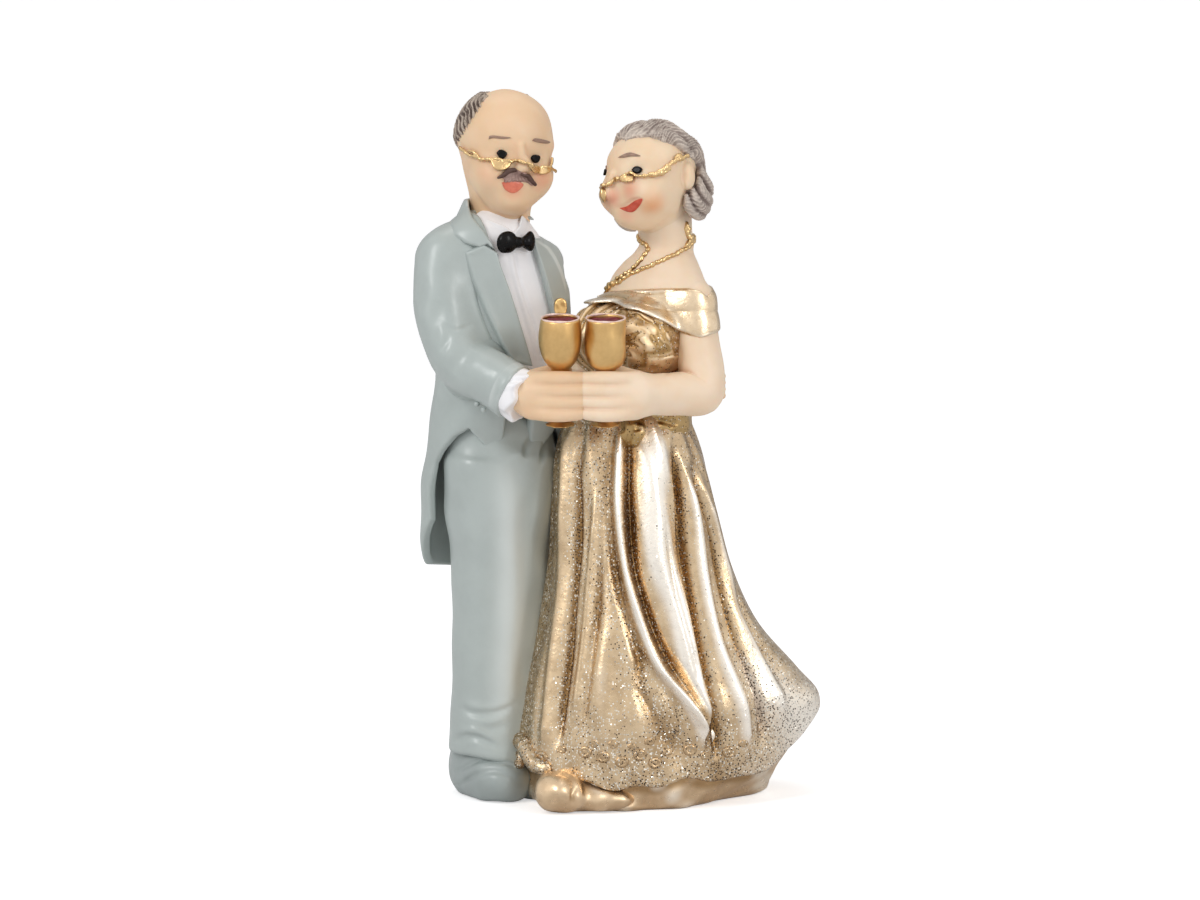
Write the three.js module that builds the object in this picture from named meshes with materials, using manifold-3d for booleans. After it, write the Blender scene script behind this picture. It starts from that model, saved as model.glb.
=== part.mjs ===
// Anniversary cake topper: an elderly couple in evening dress raise two goblets, cast in resin and painted.
// Millimetres, +Z up. The couple faces -Y, with the man on the -X side. The origin is on the floor,
// at the middle of the couple's footprint.

import * as THREE from "three";
import { mergeVertices } from "three/addons/utils/BufferGeometryUtils.js";
import Module from "manifold-3d";

// Clearances
const seam = 0.3; // left between two castings that meet
const overrun = 6; // how far a cutting shape runs past what it cuts
const weldReach = 1e-4; // corners nearer than this are one corner

// How dense the nets over rounded shapes are
const netShare = 0.5;
const dense = (count) => Math.max(Math.round(count * netShare), 4);

// Where the two figures stand, and how far each one turns from the front, in degrees
const manX = -17.2;
const manY = 2;
const manTurn = 26;
const womanX = 6;
const womanY = 1.5;
const womanTurn = -40;

// Man's shoes and trousers
const shoeWidth = 10;
const shoeLength = 18;
const shoeHeight = 13;
const shoeShift = 1.2; // both shoes lie this far to his left of the legs
const legSpacing = 6.4;
const legWidth = 9.4;
const legDepth = 10.6;
const trouserHem = 7;
const trouserLength = 45;
const hipWidth = 18;
const hipDepth = 13.6;
const hipHeight = 12;

// Man's tailcoat, shirt and tie
const coatWidth = 20.8;
const coatDepth = 15.6;
const coatLength = 56.7;
const tailDrop = 17.2; // how far the tails hang below the top of the legs
const lapelThickness = 1;
const lapelGap = 0.9; // how far the lapels' edge lies from the shirt opening
const shirtInset = 0.9;
const shirtDepth = 5;
const openingWidth = 8.4;
const openingDrop = 29;
const openingLean = 4.4; // the opening's foot lies this far towards his left
const collarThickness = 1;
const collarHeight = 4.6;
const coatCollarThickness = 1.3;
const bowWidth = 5.8;
const bowHeight = 3.5;
const bowDepth = 2.4;
const boutonniereWidth = 3;
const boutonniereRise = 11; // above the hand that she lays on his coat

// Man's neck and head
const manNeckWidth = 8.8;
const manNeckLength = 9;
const manHeadWidth = 14.6;
const manHeadDepth = 16.4;
const manHeadHeight = 18.8;
const manHeadTurn = 24;
const manHeadTilt = 4;
const manHeadRise = 8.3; // from the top of the coat to the middle of the head
const manHeadAside = 0.9; // it leans this far towards her
const manHeadForward = 2;
const fringeThickness = 0.7;

// Woman's skirt, petticoat, sash and shoe
const skirtHeight = 60;
const skirtReachLeft = 29.5; // from the skirt's middle to the tip of the train
const skirtReachRight = 17.4;
const skirtReachFront = 16.6;
const skirtReachBack = 17;
const skirtAside = 3.8; // the skirt's middle lies this far to his side of her
const skirtForward = 0.5;
const foldDepth = 1.5;
const foldCount = 16;
const hemLevel = 4.4;
const hemWave = 0.5;
const hemCurl = 2.5; // how much the hem is turned up beside his shoe
const trainTurn = 14; // the train runs to her left and this many degrees backwards
const trainLift = 10; // how much higher the hem lies at the tip of the train
const petticoatInset = 1.9;
const petticoatTuck = 9; // how far the petticoat reaches up inside the skirt
const sashWidth = 19.4;
const sashDepth = 17;
const sashHeight = 4;
const knotWidth = 5;
const knotHeight = 4.6;
const womanShoeLength = 10;
const womanShoeWidth = 8;
const womanShoeHeight = 8;
const womanShoeTurn = -17;

// Woman's bodice, shoulders and arms
const bodiceHeight = 19.6;
const bodiceWidth = 17.2;
const bodiceDepth = 14.4;
const bustWidth = 11;
const shoulderWidth = 16.6;
const shoulderDepth = 12.2;
const shoulderRise = 19; // from the foot of the chest to the top of the neck
const drapeWidth = 21.4;
const drapeDepth = 15.6;
const drapeHeight = 7;
const drapeThickness = 1.5;
const womanArmThickness = 7;
const necklaceThickness = 0.75;
const necklaceSides = 20;
const earringLength = 3;
const earringThickness = 1.1;

// Woman's head
const womanHeadWidth = 13.8;
const womanHeadDepth = 15.4;
const womanHeadHeight = 17;
const womanHeadTurn = -44;
const womanHeadTilt = -9;
const womanHeadRise = 18.6; // from the top of the bodice to the middle of the head
const womanHeadAside = 0.4; // it leans this far towards him
const womanHeadForward = 1.8;
const hairThickness = 1.1;
const hairWave = 0.35;

// Faces and eyeglasses
const eyeWidth = 1.3;
const browLength = 2.7;
const browThickness = 0.7;
const mouthWidth = 2.4;
const moustacheWidth = 5;
const moustacheThickness = 1;
const wireThickness = 0.56;
const lensWidth = 3.7;
const lensHeight = 1.7;
const lensThickness = 0.4;

// The toast: two goblets, and the hands around their stems
const toastRise = 5.3; // from the foot of the bodice to the middle of the fists
const manGobletX = -7.9;
const womanGobletX = -1.1;
const gobletY = -13.2;
const bowlWidth = 6.6;
const bowlHeight = 8;
const bowlWall = 0.7;
const wineDrop = 0.7; // the wine's surface lies this far below the rim
const stemWidth = 1.6;
const gobletFootWidth = 5;
const gobletFootHeight = 1.3;
const fistWidth = 10;
const fistHeight = 7.6;
const fistDepth = 6.6;
const cuffThickness = 1;
const cuffLength = 2.6;
const sleeveThickness = 8.4;
const handWidth = 5;
const handLength = 6.4;
const handThickness = 3;
const rightHandTurn = -34; // her hand, on his coat
const leftHandTurn = -29; // his hand, on her back

// Outlines, as shares of the sizes above. Each row of a body is
// [height, width, depth, shift to its left, shift backwards].
const legShares = [
  [0, 1.14, 1.12, 0, -0.04],
  [0.08, 1.1, 1.06, 0, -0.02],
  [0.3, 0.98, 0.94, 0, 0],
  [0.6, 1, 0.98, 0, 0],
  [0.85, 1.1, 1.1, 0, 0],
  [1, 1.08, 1.12, 0, 0],
];
// A shoe's toe, instep and heel, where [backwards, up] each lies and its [width, length, height]
const shoeShares = [
  { at: [-0.22, 0.24], size: [0.96, 0.56, 0.7] },
  { at: [0.04, 0.34], size: [1, 0.66, 0.96] },
  { at: [0.24, 0.34], size: [0.84, 0.48, 0.84] },
];
const hipShares = [
  [0, 0.92, 0.9, 0, 0],
  [0.4, 1, 1, 0, 0],
  [0.8, 0.96, 0.98, 0, 0],
  [1, 0.84, 0.84, 0, 0],
];
const coatShares = [
  [0, 0.96, 0.62, 0, 0.38],
  [0.1, 1.05, 0.74, 0, 0.34],
  [0.26, 1.1, 0.92, 0, 0.2],
  [0.4, 1.08, 0.96, 0, 0.07],
  [0.55, 1, 0.96, 0, 0],
  [0.72, 1, 1, 0, 0],
  [0.86, 0.98, 0.94, 0, 0],
  [0.93, 0.92, 0.82, 0, 0],
  [0.97, 0.7, 0.7, 0, 0],
  [1, 0.46, 0.58, 0, 0],
];
const neckShares = [
  [0, 1.04, 1.04, 0, 0],
  [0.5, 0.98, 0.98, 0, 0],
  [1, 1.02, 1.02, 0, 0],
];
const coatCollarShares = [
  [0, 1.3, 1.16, 0, 0],
  [0.5, 1.1, 1.06, 0, 0],
  [1, 0.92, 0.94, 0, 0],
];
// The shirt opening in front view: [sideways, down], as shares of its width and drop
const openingShares = [
  [-0.4, 0],
  [-0.42, 0.2],
  [-0.38, 0.5],
  [-0.2, 0.8],
  [0, 1],
  [0.18, 0.8],
  [0.36, 0.5],
  [0.42, 0.2],
  [0.4, 0],
];
// The lapel's outer edge, from the collar to the foot of the opening: [outwards, down]
const lapelShares = [
  [0.5, 0.06],
  [0.78, 0.22],
  [0.52, 0.25],
  [0.66, 0.34],
  [0.5, 0.62],
  [0.16, 0.98],
];
// What is cut away below the coat's front, in side view: [backwards, up], of the depth and the length
const cutawayShares = [
  [-1, 0.31],
  [-0.3, 0.31],
  [-0.16, 0.36],
  [-0.02, 0.41],
  [0.06, 0.38],
  [0.16, 0.24],
  [0.24, 0.06],
  [0.26, -0.2],
  [-1, -0.2],
];
// The dress, as [height, reach to her left, right, front, back]
const skirtShares = [
  [0, 0.82, 1.02, 1.0, 1.0],
  [0.14, 0.99, 1.0, 1.0, 1.0],
  [0.25, 1.04, 0.93, 1.0, 0.98],
  [0.33, 0.91, 0.88, 0.96, 0.93],
  [0.45, 0.7, 0.79, 0.9, 0.84],
  [0.6, 0.545, 0.71, 0.8, 0.71],
  [0.75, 0.47, 0.67, 0.72, 0.63],
  [0.88, 0.4, 0.64, 0.62, 0.55],
  [1, 0.31, 0.56, 0.5, 0.47],
];
const sashShares = [
  [0, 0.96, 0.96, 0, 0],
  [0.3, 1, 1, 0, 0],
  [0.7, 0.98, 0.98, 0, 0],
  [1, 0.9, 0.9, 0, 0],
];
const bodiceShares = [
  [0, 1.0, 1.02, -0.13, -0.12],
  [0.3, 0.98, 1.02, -0.06, -0.08],
  [0.65, 1.02, 1.06, 0, -0.03],
  [0.9, 1, 0.96, 0.03, 0],
  [1, 0.9, 0.82, 0.03, 0.01],
];
const chestShares = [
  [0, 0.84, 0.84, 0.02, 0],
  [0.22, 0.98, 0.98, 0.04, 0.02],
  [0.35, 0.96, 0.92, 0.05, 0.04],
  [0.47, 0.78, 0.78, 0.06, 0.08],
  [0.57, 0.56, 0.7, 0.08, 0.12],
  [0.68, 0.5, 0.68, 0.09, 0.14],
  [1, 0.5, 0.68, 0.04, 0.0],
];
// How high the necklace lies on the shoulders, and the part of a half turn at which it lies lowest
const necklaceShares = { middle: 0.53, swing: 0.2, lowest: 0.67 };
// Where the earring hangs beside the neck: its height on the shoulders, and its direction in radians
const earringShares = { height: 0.78, turn: 0.1 };
const gobletShares = [
  [0.42, 0],
  [0.66, 0.1],
  [0.92, 0.36],
  [1, 0.62],
  [0.94, 0.86],
  [0.86, 1],
];

// Heads are smooth unions of balls: where each lies and how large it is,
// as shares of half the head's width, depth and height.
const manHeadShares = [
  { at: [0, 0.08, 0.22], size: [1, 0.94, 0.79] },
  { at: [0, -0.14, -0.36], size: [0.82, 0.74, 0.62] },
  { at: [0.48, -0.44, -0.36], size: [0.34, 0.32, 0.26] },
  { at: [-0.48, -0.44, -0.36], size: [0.34, 0.32, 0.26] },
  { at: [0, -0.5, -0.7], size: [0.36, 0.3, 0.24] },
  { at: [0, -0.86, -0.22], size: [0.17, 0.24, 0.13] },
  { at: [0, -0.84, -0.06], size: [0.12, 0.12, 0.2] },
];
const womanHeadShares = [
  { at: [0, 0.08, 0.12], size: [1, 0.92, 0.76] },
  { at: [0, -0.16, -0.34], size: [0.88, 0.78, 0.62] },
  { at: [0.46, -0.5, -0.3], size: [0.4, 0.36, 0.3] },
  { at: [-0.46, -0.5, -0.3], size: [0.4, 0.36, 0.3] },
  { at: [0, -0.52, -0.68], size: [0.36, 0.3, 0.24] },
  { at: [0, -0.82, -0.2], size: [0.15, 0.18, 0.11] },
  { at: [0, -0.8, -0.04], size: [0.12, 0.12, 0.18] },
  { at: [1.0, 0.04, -0.06], size: [0.14, 0.2, 0.27] },
  { at: [-1.0, 0.04, -0.06], size: [0.14, 0.2, 0.27] },
];
const hairShares = [
  { at: [0, 0.14, 0.13], size: [1.02, 0.96, 0.77] },
  { at: [0, 0.52, -0.24], size: [0.9, 0.6, 0.7] },
];
// The man's hairline in side view, [backwards, up], his bald crown in front view, [sideways, up],
// and the woman's hairline in side view
const fringeShares = [
  [-2, 2],
  [-0.3, 2],
  [-0.36, 0.66],
  [-0.32, 0.4],
  [-0.06, 0.14],
  [0.3, 0.04],
  [0.42, -0.34],
  [2, -0.42],
  [2, -2],
  [-2, -2],
];
const crownShares = [
  [-0.96, 0.3],
  [-0.86, 0.44],
  [-0.68, 0.66],
  [-0.46, 0.86],
  [-0.26, 1.3],
  [0.26, 1.3],
  [0.46, 0.86],
  [0.68, 0.66],
  [0.86, 0.44],
  [0.96, 0.3],
  [0, 0.2],
];
const hairlineShares = [
  [-2, 0.66],
  [-0.66, 0.66],
  [-0.3, 0.3],
  [0.22, 0.2],
  [0.42, -0.2],
  [0.4, -0.76],
  [2, -0.9],
  [2, -2],
  [-2, -2],
];
const crownReachShare = 0.5; // how far back the bald crown reaches, of half the depth
const headMeltShare = 0.16; // how far the balls melt into each other, of half the width
// Where things lie on a face, as [sideways, up] from its middle
const manFaceShares = {
  eye: [0.36, -0.03],
  brow: [0.42, 0.26],
  mouth: [-0.06, -0.53],
  mouthHeight: 0.7,
  moustache: [-0.04, -0.36],
  lens: [0.42, -0.16],
  temple: [0.98, 0.08],
};
const womanFaceShares = {
  eye: [0.38, 0.1],
  brow: [0.36, 0.4],
  mouth: [0.16, -0.5],
  mouthHeight: 0.8,
  lens: [0.4, -0.1],
  temple: [1, 0.22],
};

const wasm = await Module();
wasm.setup();

// Materials of the paint
const paint = (color, roughness, metalness = 0) =>
  new THREE.MeshStandardMaterial({ color, roughness, metalness });
const greyCloth = paint(0xa9b3b0, 0.45);
const whiteCloth = paint(0xe9e6ea, 0.4);
const blackGloss = paint(0x151312, 0.15);
const skin = paint(0xf0d2ab, 0.5);
const greyHair = paint(0x9a8f8a, 0.55);
const lips = paint(0xd6765c, 0.4);
const goldLeaf = paint(0xc9a25f, 0.25, 1);
const goldGlitter = paint(0xcdb184, 0.35, 0.9);
const goldMatte = paint(0xc4a070, 0.45, 0.6);
const wineRed = paint(0x7d2233, 0.2);

// Solids and geometries

function weldedOf(geometry) {
  const bare = geometry.index ? geometry.toNonIndexed() : geometry.clone();
  const points = new THREE.BufferGeometry();
  points.setAttribute("position", bare.getAttribute("position"));
  return mergeVertices(points, weldReach);
}

function solidOf(geometry) {
  const merged = weldedOf(geometry);
  const corners = merged.index.array;
  const kept = [];
  for (let i = 0; i < corners.length; i += 3) {
    const [a, b, c] = [corners[i], corners[i + 1], corners[i + 2]];
    if (a !== b && b !== c && c !== a) kept.push(a, b, c);
  }
  const vertProperties = new Float32Array(merged.getAttribute("position").array);
  const triVerts = new Uint32Array(kept);
  return new wasm.Manifold(new wasm.Mesh({ numProp: 3, vertProperties, triVerts }));
}

function geometryOf(solid) {
  const mesh = solid.getMesh();
  const positions = new Float32Array(mesh.numVert * 3);
  for (let i = 0; i < mesh.numVert; i++) {
    positions.set(mesh.vertProperties.subarray(i * mesh.numProp, i * mesh.numProp + 3), i * 3);
  }
  const geometry = new THREE.BufferGeometry();
  geometry.setAttribute("position", new THREE.BufferAttribute(positions, 3));
  geometry.setIndex(new THREE.BufferAttribute(new Uint32Array(mesh.triVerts), 1));
  geometry.computeVertexNormals();
  return geometry;
}

// The same surface moved outwards along its normals.
function grown(geometry, by) {
  const merged = weldedOf(geometry);
  merged.computeVertexNormals();
  const position = merged.getAttribute("position");
  const normal = merged.getAttribute("normal");
  const point = new THREE.Vector3();
  const out = new THREE.Vector3();
  for (let i = 0; i < position.count; i++) {
    out.fromBufferAttribute(normal, i).multiplyScalar(by);
    point.fromBufferAttribute(position, i).add(out);
    position.setXYZ(i, point.x, point.y, point.z);
  }
  return merged;
}

const joined = (forms) => forms.map(solidOf).reduce((a, b) => a.add(b));
const roomFor = (forms, gap = seam) =>
  forms.map((form) => solidOf(grown(form, gap))).reduce((a, b) => a.add(b));
const cut = (solid, ...tools) => tools.reduce((a, b) => a.subtract(b), solid);

// The largest body of a solid: a cut can leave crumbs.
function mainBody(solid) {
  const bodies = solid.decompose();
  return bodies.reduce((a, b) => (b.volume() > a.volume() ? b : a));
}

// Basic forms

// Rows of shares read at a height between them, along smooth curves.
function readRows(rows, height) {
  const last = rows.length - 1;
  let i = 0;
  while (i < last - 1 && height > rows[i + 1][0]) i++;
  const [a, b] = [rows[i], rows[i + 1]];
  const [before, after] = [rows[Math.max(i - 1, 0)], rows[Math.min(i + 2, last)]];
  const span = b[0] - a[0];
  const t = THREE.MathUtils.clamp((height - a[0]) / span, 0, 1);
  return a.map((value, column) => {
    const slopeA = ((b[column] - before[column]) / (b[0] - before[0])) * span;
    const slopeB = ((after[column] - value) / (after[0] - a[0])) * span;
    return (
      value * (1 + 2 * t) * (1 - t) ** 2 +
      slopeA * t * (1 - t) ** 2 +
      b[column] * t * t * (3 - 2 * t) +
      slopeB * t * t * (t - 1)
    );
  });
}

// A closed body over rings of points, each a loop seen anticlockwise from the last ring's side.
function bodyOver(rings) {
  const count = rings[0].length;
  const centres = [rings[0], rings[rings.length - 1]].map((ring) =>
    ring.reduce((sum, p) => sum.add(p), new THREE.Vector3()).divideScalar(count),
  );
  const points = [...rings.flat(), ...centres];
  const index = [];
  for (let j = 0; j < rings.length - 1; j++) {
    for (let i = 0; i < count; i++) {
      const next = (i + 1) % count;
      const [a, b] = [j * count + i, j * count + next];
      const [c, d] = [a + count, b + count];
      index.push(a, b, d, a, d, c);
    }
  }
  const top = (rings.length - 1) * count;
  for (let i = 0; i < count; i++) {
    const next = (i + 1) % count;
    index.push(next, i, points.length - 2);
    index.push(top + i, top + next, points.length - 1);
  }
  const geometry = new THREE.BufferGeometry().setFromPoints(points);
  geometry.setIndex(index);
  return geometry;
}

// An upright body through oval sections.
function loft({ bottom, height, width, depth, shares, ...counts }) {
  const [rings, sides] = [dense(counts.rings), dense(counts.sides)];
  const made = [];
  for (let j = 0; j <= rings; j++) {
    const [at, w, d, left, back] = readRows(shares, j / rings);
    const ring = [];
    for (let i = 0; i < sides; i++) {
      const angle = (i / sides) * 2 * Math.PI;
      const x = left * width + (w * width * Math.cos(angle)) / 2;
      const y = back * depth + (d * depth * Math.sin(angle)) / 2;
      ring.push(new THREE.Vector3(x, y, bottom + at * height));
    }
    made.push(ring);
  }
  return bodyOver(made);
}

// A tube along points, with domed ends. Its thickness follows shares along its length.
function limb({ points, thickness, shares = [1, 1], dome = 1, ...counts }) {
  const [steps, sides] = [dense(counts.steps), dense(counts.sides)];
  const curve = new THREE.CatmullRomCurve3(points);
  const frames = curve.computeFrenetFrames(steps, false);
  const domeShares = [
    [0.86, 0.5],
    [0.44, 0.9],
  ];
  const rings = [];
  const addRing = (step, radius, forward) => {
    const centre = curve.getPointAt(step / steps);
    centre.addScaledVector(frames.tangents[step], forward);
    const ring = [];
    for (let i = 0; i < sides; i++) {
      const angle = (i / sides) * 2 * Math.PI;
      const point = centre.clone();
      point.addScaledVector(frames.normals[step], Math.cos(angle) * radius);
      point.addScaledVector(frames.binormals[step], Math.sin(angle) * radius);
      ring.push(point);
    }
    rings.push(ring);
  };
  const radiusAt = (t) => {
    const place = t * (shares.length - 1);
    const i = Math.min(Math.floor(place), shares.length - 2);
    return (thickness / 2) * THREE.MathUtils.lerp(shares[i], shares[i + 1], place - i);
  };
  const [first, last] = [radiusAt(0), radiusAt(1)];
  for (const [along, across] of [...domeShares].reverse().map(([a, b]) => [b, a])) {
    addRing(0, first * across, -first * along * dome);
  }
  for (let step = 0; step <= steps; step++) addRing(step, radiusAt(step / steps), 0);
  for (const [across, along] of domeShares) addRing(steps, last * across, last * along * dome);
  return bodyOver(rings);
}

// A ball with three sizes.
function ball(size, at = [0, 0, 0], sides = 14) {
  const geometry = new THREE.SphereGeometry(0.5, dense(sides), dense(sides * 0.66));
  geometry.rotateX(Math.PI / 2);
  return geometry.scale(...size).translate(...at);
}

// How far a point lies outside an ellipsoid, nearly.
function beyondBall(point, { at, size }) {
  const offset = point.clone().sub(at);
  const k0 = offset.clone().divide(size).length();
  const k1 = offset.clone().divide(size).divide(size).length();
  return k1 > 0 ? (k0 * (k0 - 1)) / k1 : -Math.min(size.x, size.y, size.z);
}

function meltedTogether(distances, melt) {
  return distances.reduce((a, b) => {
    const h = Math.max(melt - Math.abs(a - b), 0) / melt;
    return Math.min(a, b) - (h * h * melt) / 4;
  });
}

// A sphere's net drawn in onto the smooth union of balls around the origin.
function wrapped(balls, { reach, melt, sides = 28, swell = () => 0 }) {
  const geometry = new THREE.SphereGeometry(1, dense(sides), dense(sides * 0.75));
  geometry.rotateX(Math.PI / 2);
  const position = geometry.getAttribute("position");
  const way = new THREE.Vector3();
  for (let i = 0; i < position.count; i++) {
    way.fromBufferAttribute(position, i).normalize();
    const beyond = (r) => {
      const point = way.clone().multiplyScalar(r);
      return meltedTogether(balls.map((one) => beyondBall(point, one)), melt);
    };
    let [low, high] = [0, reach];
    for (let step = 0; step < 24; step++) {
      const middle = (low + high) / 2;
      if (beyond(middle) < 0) low = middle;
      else high = middle;
    }
    way.multiplyScalar(high + swell(way));
    position.setXYZ(i, way.x, way.y, way.z);
  }
  return geometry;
}

// A prism over an outline in the XZ plane, from one y to another.
function prism(outline, fromY, toY) {
  const shape = new THREE.Shape(outline.map(([x, z]) => new THREE.Vector2(x, z)));
  const geometry = new THREE.ExtrudeGeometry(shape, { depth: toY - fromY, bevelEnabled: false });
  return geometry.rotateX(Math.PI / 2).translate(0, toY, 0);
}

// Frames: nested groups that hold the figures and their heads

const { degToRad, lerp } = THREE.MathUtils;
const couple = new THREE.Group();

function frameIn(parent, position, turn = 0, tilt = 0) {
  const group = new THREE.Group();
  group.position.set(...position);
  group.rotation.set(0, degToRad(tilt), degToRad(turn), "YZX");
  parent.add(group);
  couple.updateMatrixWorld(true);
  return group;
}

const legTop = trouserHem + trouserLength;
const coatBottom = legTop - tailDrop;
const coatTop = coatBottom + coatLength;
const bodiceBottom = skirtHeight - sashHeight * 0.4;
const bodiceTop = bodiceBottom + bodiceHeight;
const chestBottom = bodiceTop - shoulderRise * 0.23;
const toastLevel = bodiceBottom + toastRise;
const manHeadLevel = coatTop + manHeadRise;
const womanHeadLevel = bodiceTop + womanHeadRise;

const man = frameIn(couple, [manX, manY, 0], manTurn);
const manHead = frameIn(
  couple,
  [manX + manHeadAside, manY - manHeadForward, manHeadLevel],
  manHeadTurn,
  manHeadTilt,
);
const woman = frameIn(couple, [womanX, womanY, 0], womanTurn);
const womanHead = frameIn(
  couple,
  [womanX - womanHeadAside, womanY - womanHeadForward, womanHeadLevel],
  womanHeadTurn,
  womanHeadTilt,
);
const manToast = frameIn(couple, [manGobletX, gobletY, toastLevel]);
const womanToast = frameIn(couple, [womanGobletX, gobletY, toastLevel]);

// Forms are made in a figure's own frame, and cut in the couple's frame.
const placed = (geometry, frame) => geometry.applyMatrix4(frame.matrixWorld);
const placedAll = (geometries, frame) => geometries.map((one) => placed(one, frame));
const pointIn = (frame, x, y, z) => new THREE.Vector3(x, y, z).applyMatrix4(frame.matrixWorld);

function addPiece(name, solid, frame, material) {
  const geometry = geometryOf(mainBody(solid));
  geometry.applyMatrix4(frame.matrixWorld.clone().invert());
  const mesh = new THREE.Mesh(geometry, material);
  mesh.name = name;
  frame.add(mesh);
}

// Goblets and wine

function gobletForm() {
  const [foot, stem, bowl] = [gobletFootWidth / 2, stemWidth / 2, bowlWidth / 2];
  const footLevel = -fistHeight / 2 - gobletFootHeight * 0.6;
  const bowlLevel = fistHeight / 2 + seam;
  const outside = gobletShares.map(([r, z]) => [r * bowl, bowlLevel + z * bowlHeight]);
  const rimRadius = outside[outside.length - 1][0];
  const rimLevel = bowlLevel + bowlHeight;
  const outline = [
    [0, footLevel],
    [foot, footLevel],
    [foot, footLevel + gobletFootHeight / 3],
    [stem, footLevel + gobletFootHeight],
    [stem, bowlLevel],
    ...outside,
    [rimRadius - bowlWall, rimLevel],
    [rimRadius - bowlWall, rimLevel - 2 * wineDrop - seam],
    [0, rimLevel - 2 * wineDrop - seam],
  ].map(([r, z]) => new THREE.Vector2(r, z));
  return new THREE.LatheGeometry(outline, dense(24)).rotateX(Math.PI / 2);
}

function wineForm() {
  const rimRadius = (gobletShares[gobletShares.length - 1][0] * bowlWidth) / 2;
  const surface = fistHeight / 2 + seam + bowlHeight - wineDrop;
  const disc = new THREE.CylinderGeometry(
    rimRadius - bowlWall - seam,
    rimRadius - bowlWall - seam,
    wineDrop,
    dense(24),
  );
  return disc.rotateX(Math.PI / 2).translate(0, 0, surface - wineDrop / 2);
}

// A fist round a stem: the palm comes from the wrist side, and four fingers lie over the front.
function fistForms(wristSide) {
  const fingerPitch = fistHeight / 4;
  const palm = ball([fistWidth * 0.8, fistDepth, fistHeight], [wristSide * fistWidth * 0.2, 0, 0], 16);
  const heel = ball(
    [fistWidth * 0.62, fistDepth * 0.9, fistHeight * 0.84],
    [wristSide * fistWidth * 0.42, fistDepth * 0.04, -fistHeight * 0.02],
    14,
  );
  const fingers = [-1.5, -0.5, 0.5, 1.5].map((place) =>
    ball(
      [fistWidth * (0.68 - 0.05 * Math.abs(place)), fistDepth * 0.66, fingerPitch * 1.12],
      [-wristSide * fistWidth * 0.06, -fistDepth * 0.26, place * fingerPitch],
      12,
    ),
  );
  const thumb = ball(
    [fistWidth * 0.56, fistDepth * 0.3, fingerPitch * 1.1],
    [wristSide * fistWidth * 0.02, fistDepth * 0.3, fistHeight * 0.4],
    10,
  );
  return [palm, heel, ...fingers, thumb];
}

const manGoblet = placed(gobletForm(), manToast);
const womanGoblet = placed(gobletForm(), womanToast);
const manFist = placedAll(fistForms(-1), manToast);
const womanFist = placedAll(fistForms(1), womanToast);
const goblets = [manGoblet, womanGoblet];
const womanHand = cut(joined(womanFist), roomFor(goblets));
const manHand = cut(joined(manFist), roomFor(goblets), roomFor(womanFist));
addPiece("man_goblet", solidOf(manGoblet), manToast, goldLeaf);
addPiece("man_wine", solidOf(placed(wineForm(), manToast)), manToast, wineRed);
addPiece("woman_goblet", solidOf(womanGoblet), womanToast, goldLeaf);
addPiece("woman_wine", solidOf(placed(wineForm(), womanToast)), womanToast, wineRed);
addPiece("man_right_hand", manHand, manToast, skin);
addPiece("woman_left_hand", womanHand, womanToast, skin);

// Heads

const sized = (shares, width, depth, height) =>
  shares.map(({ at, size }) => {
    const half = new THREE.Vector3(width, depth, height).multiplyScalar(0.5);
    return {
      at: new THREE.Vector3(...at).multiply(half),
      size: new THREE.Vector3(...size).multiply(half),
    };
  });

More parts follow.
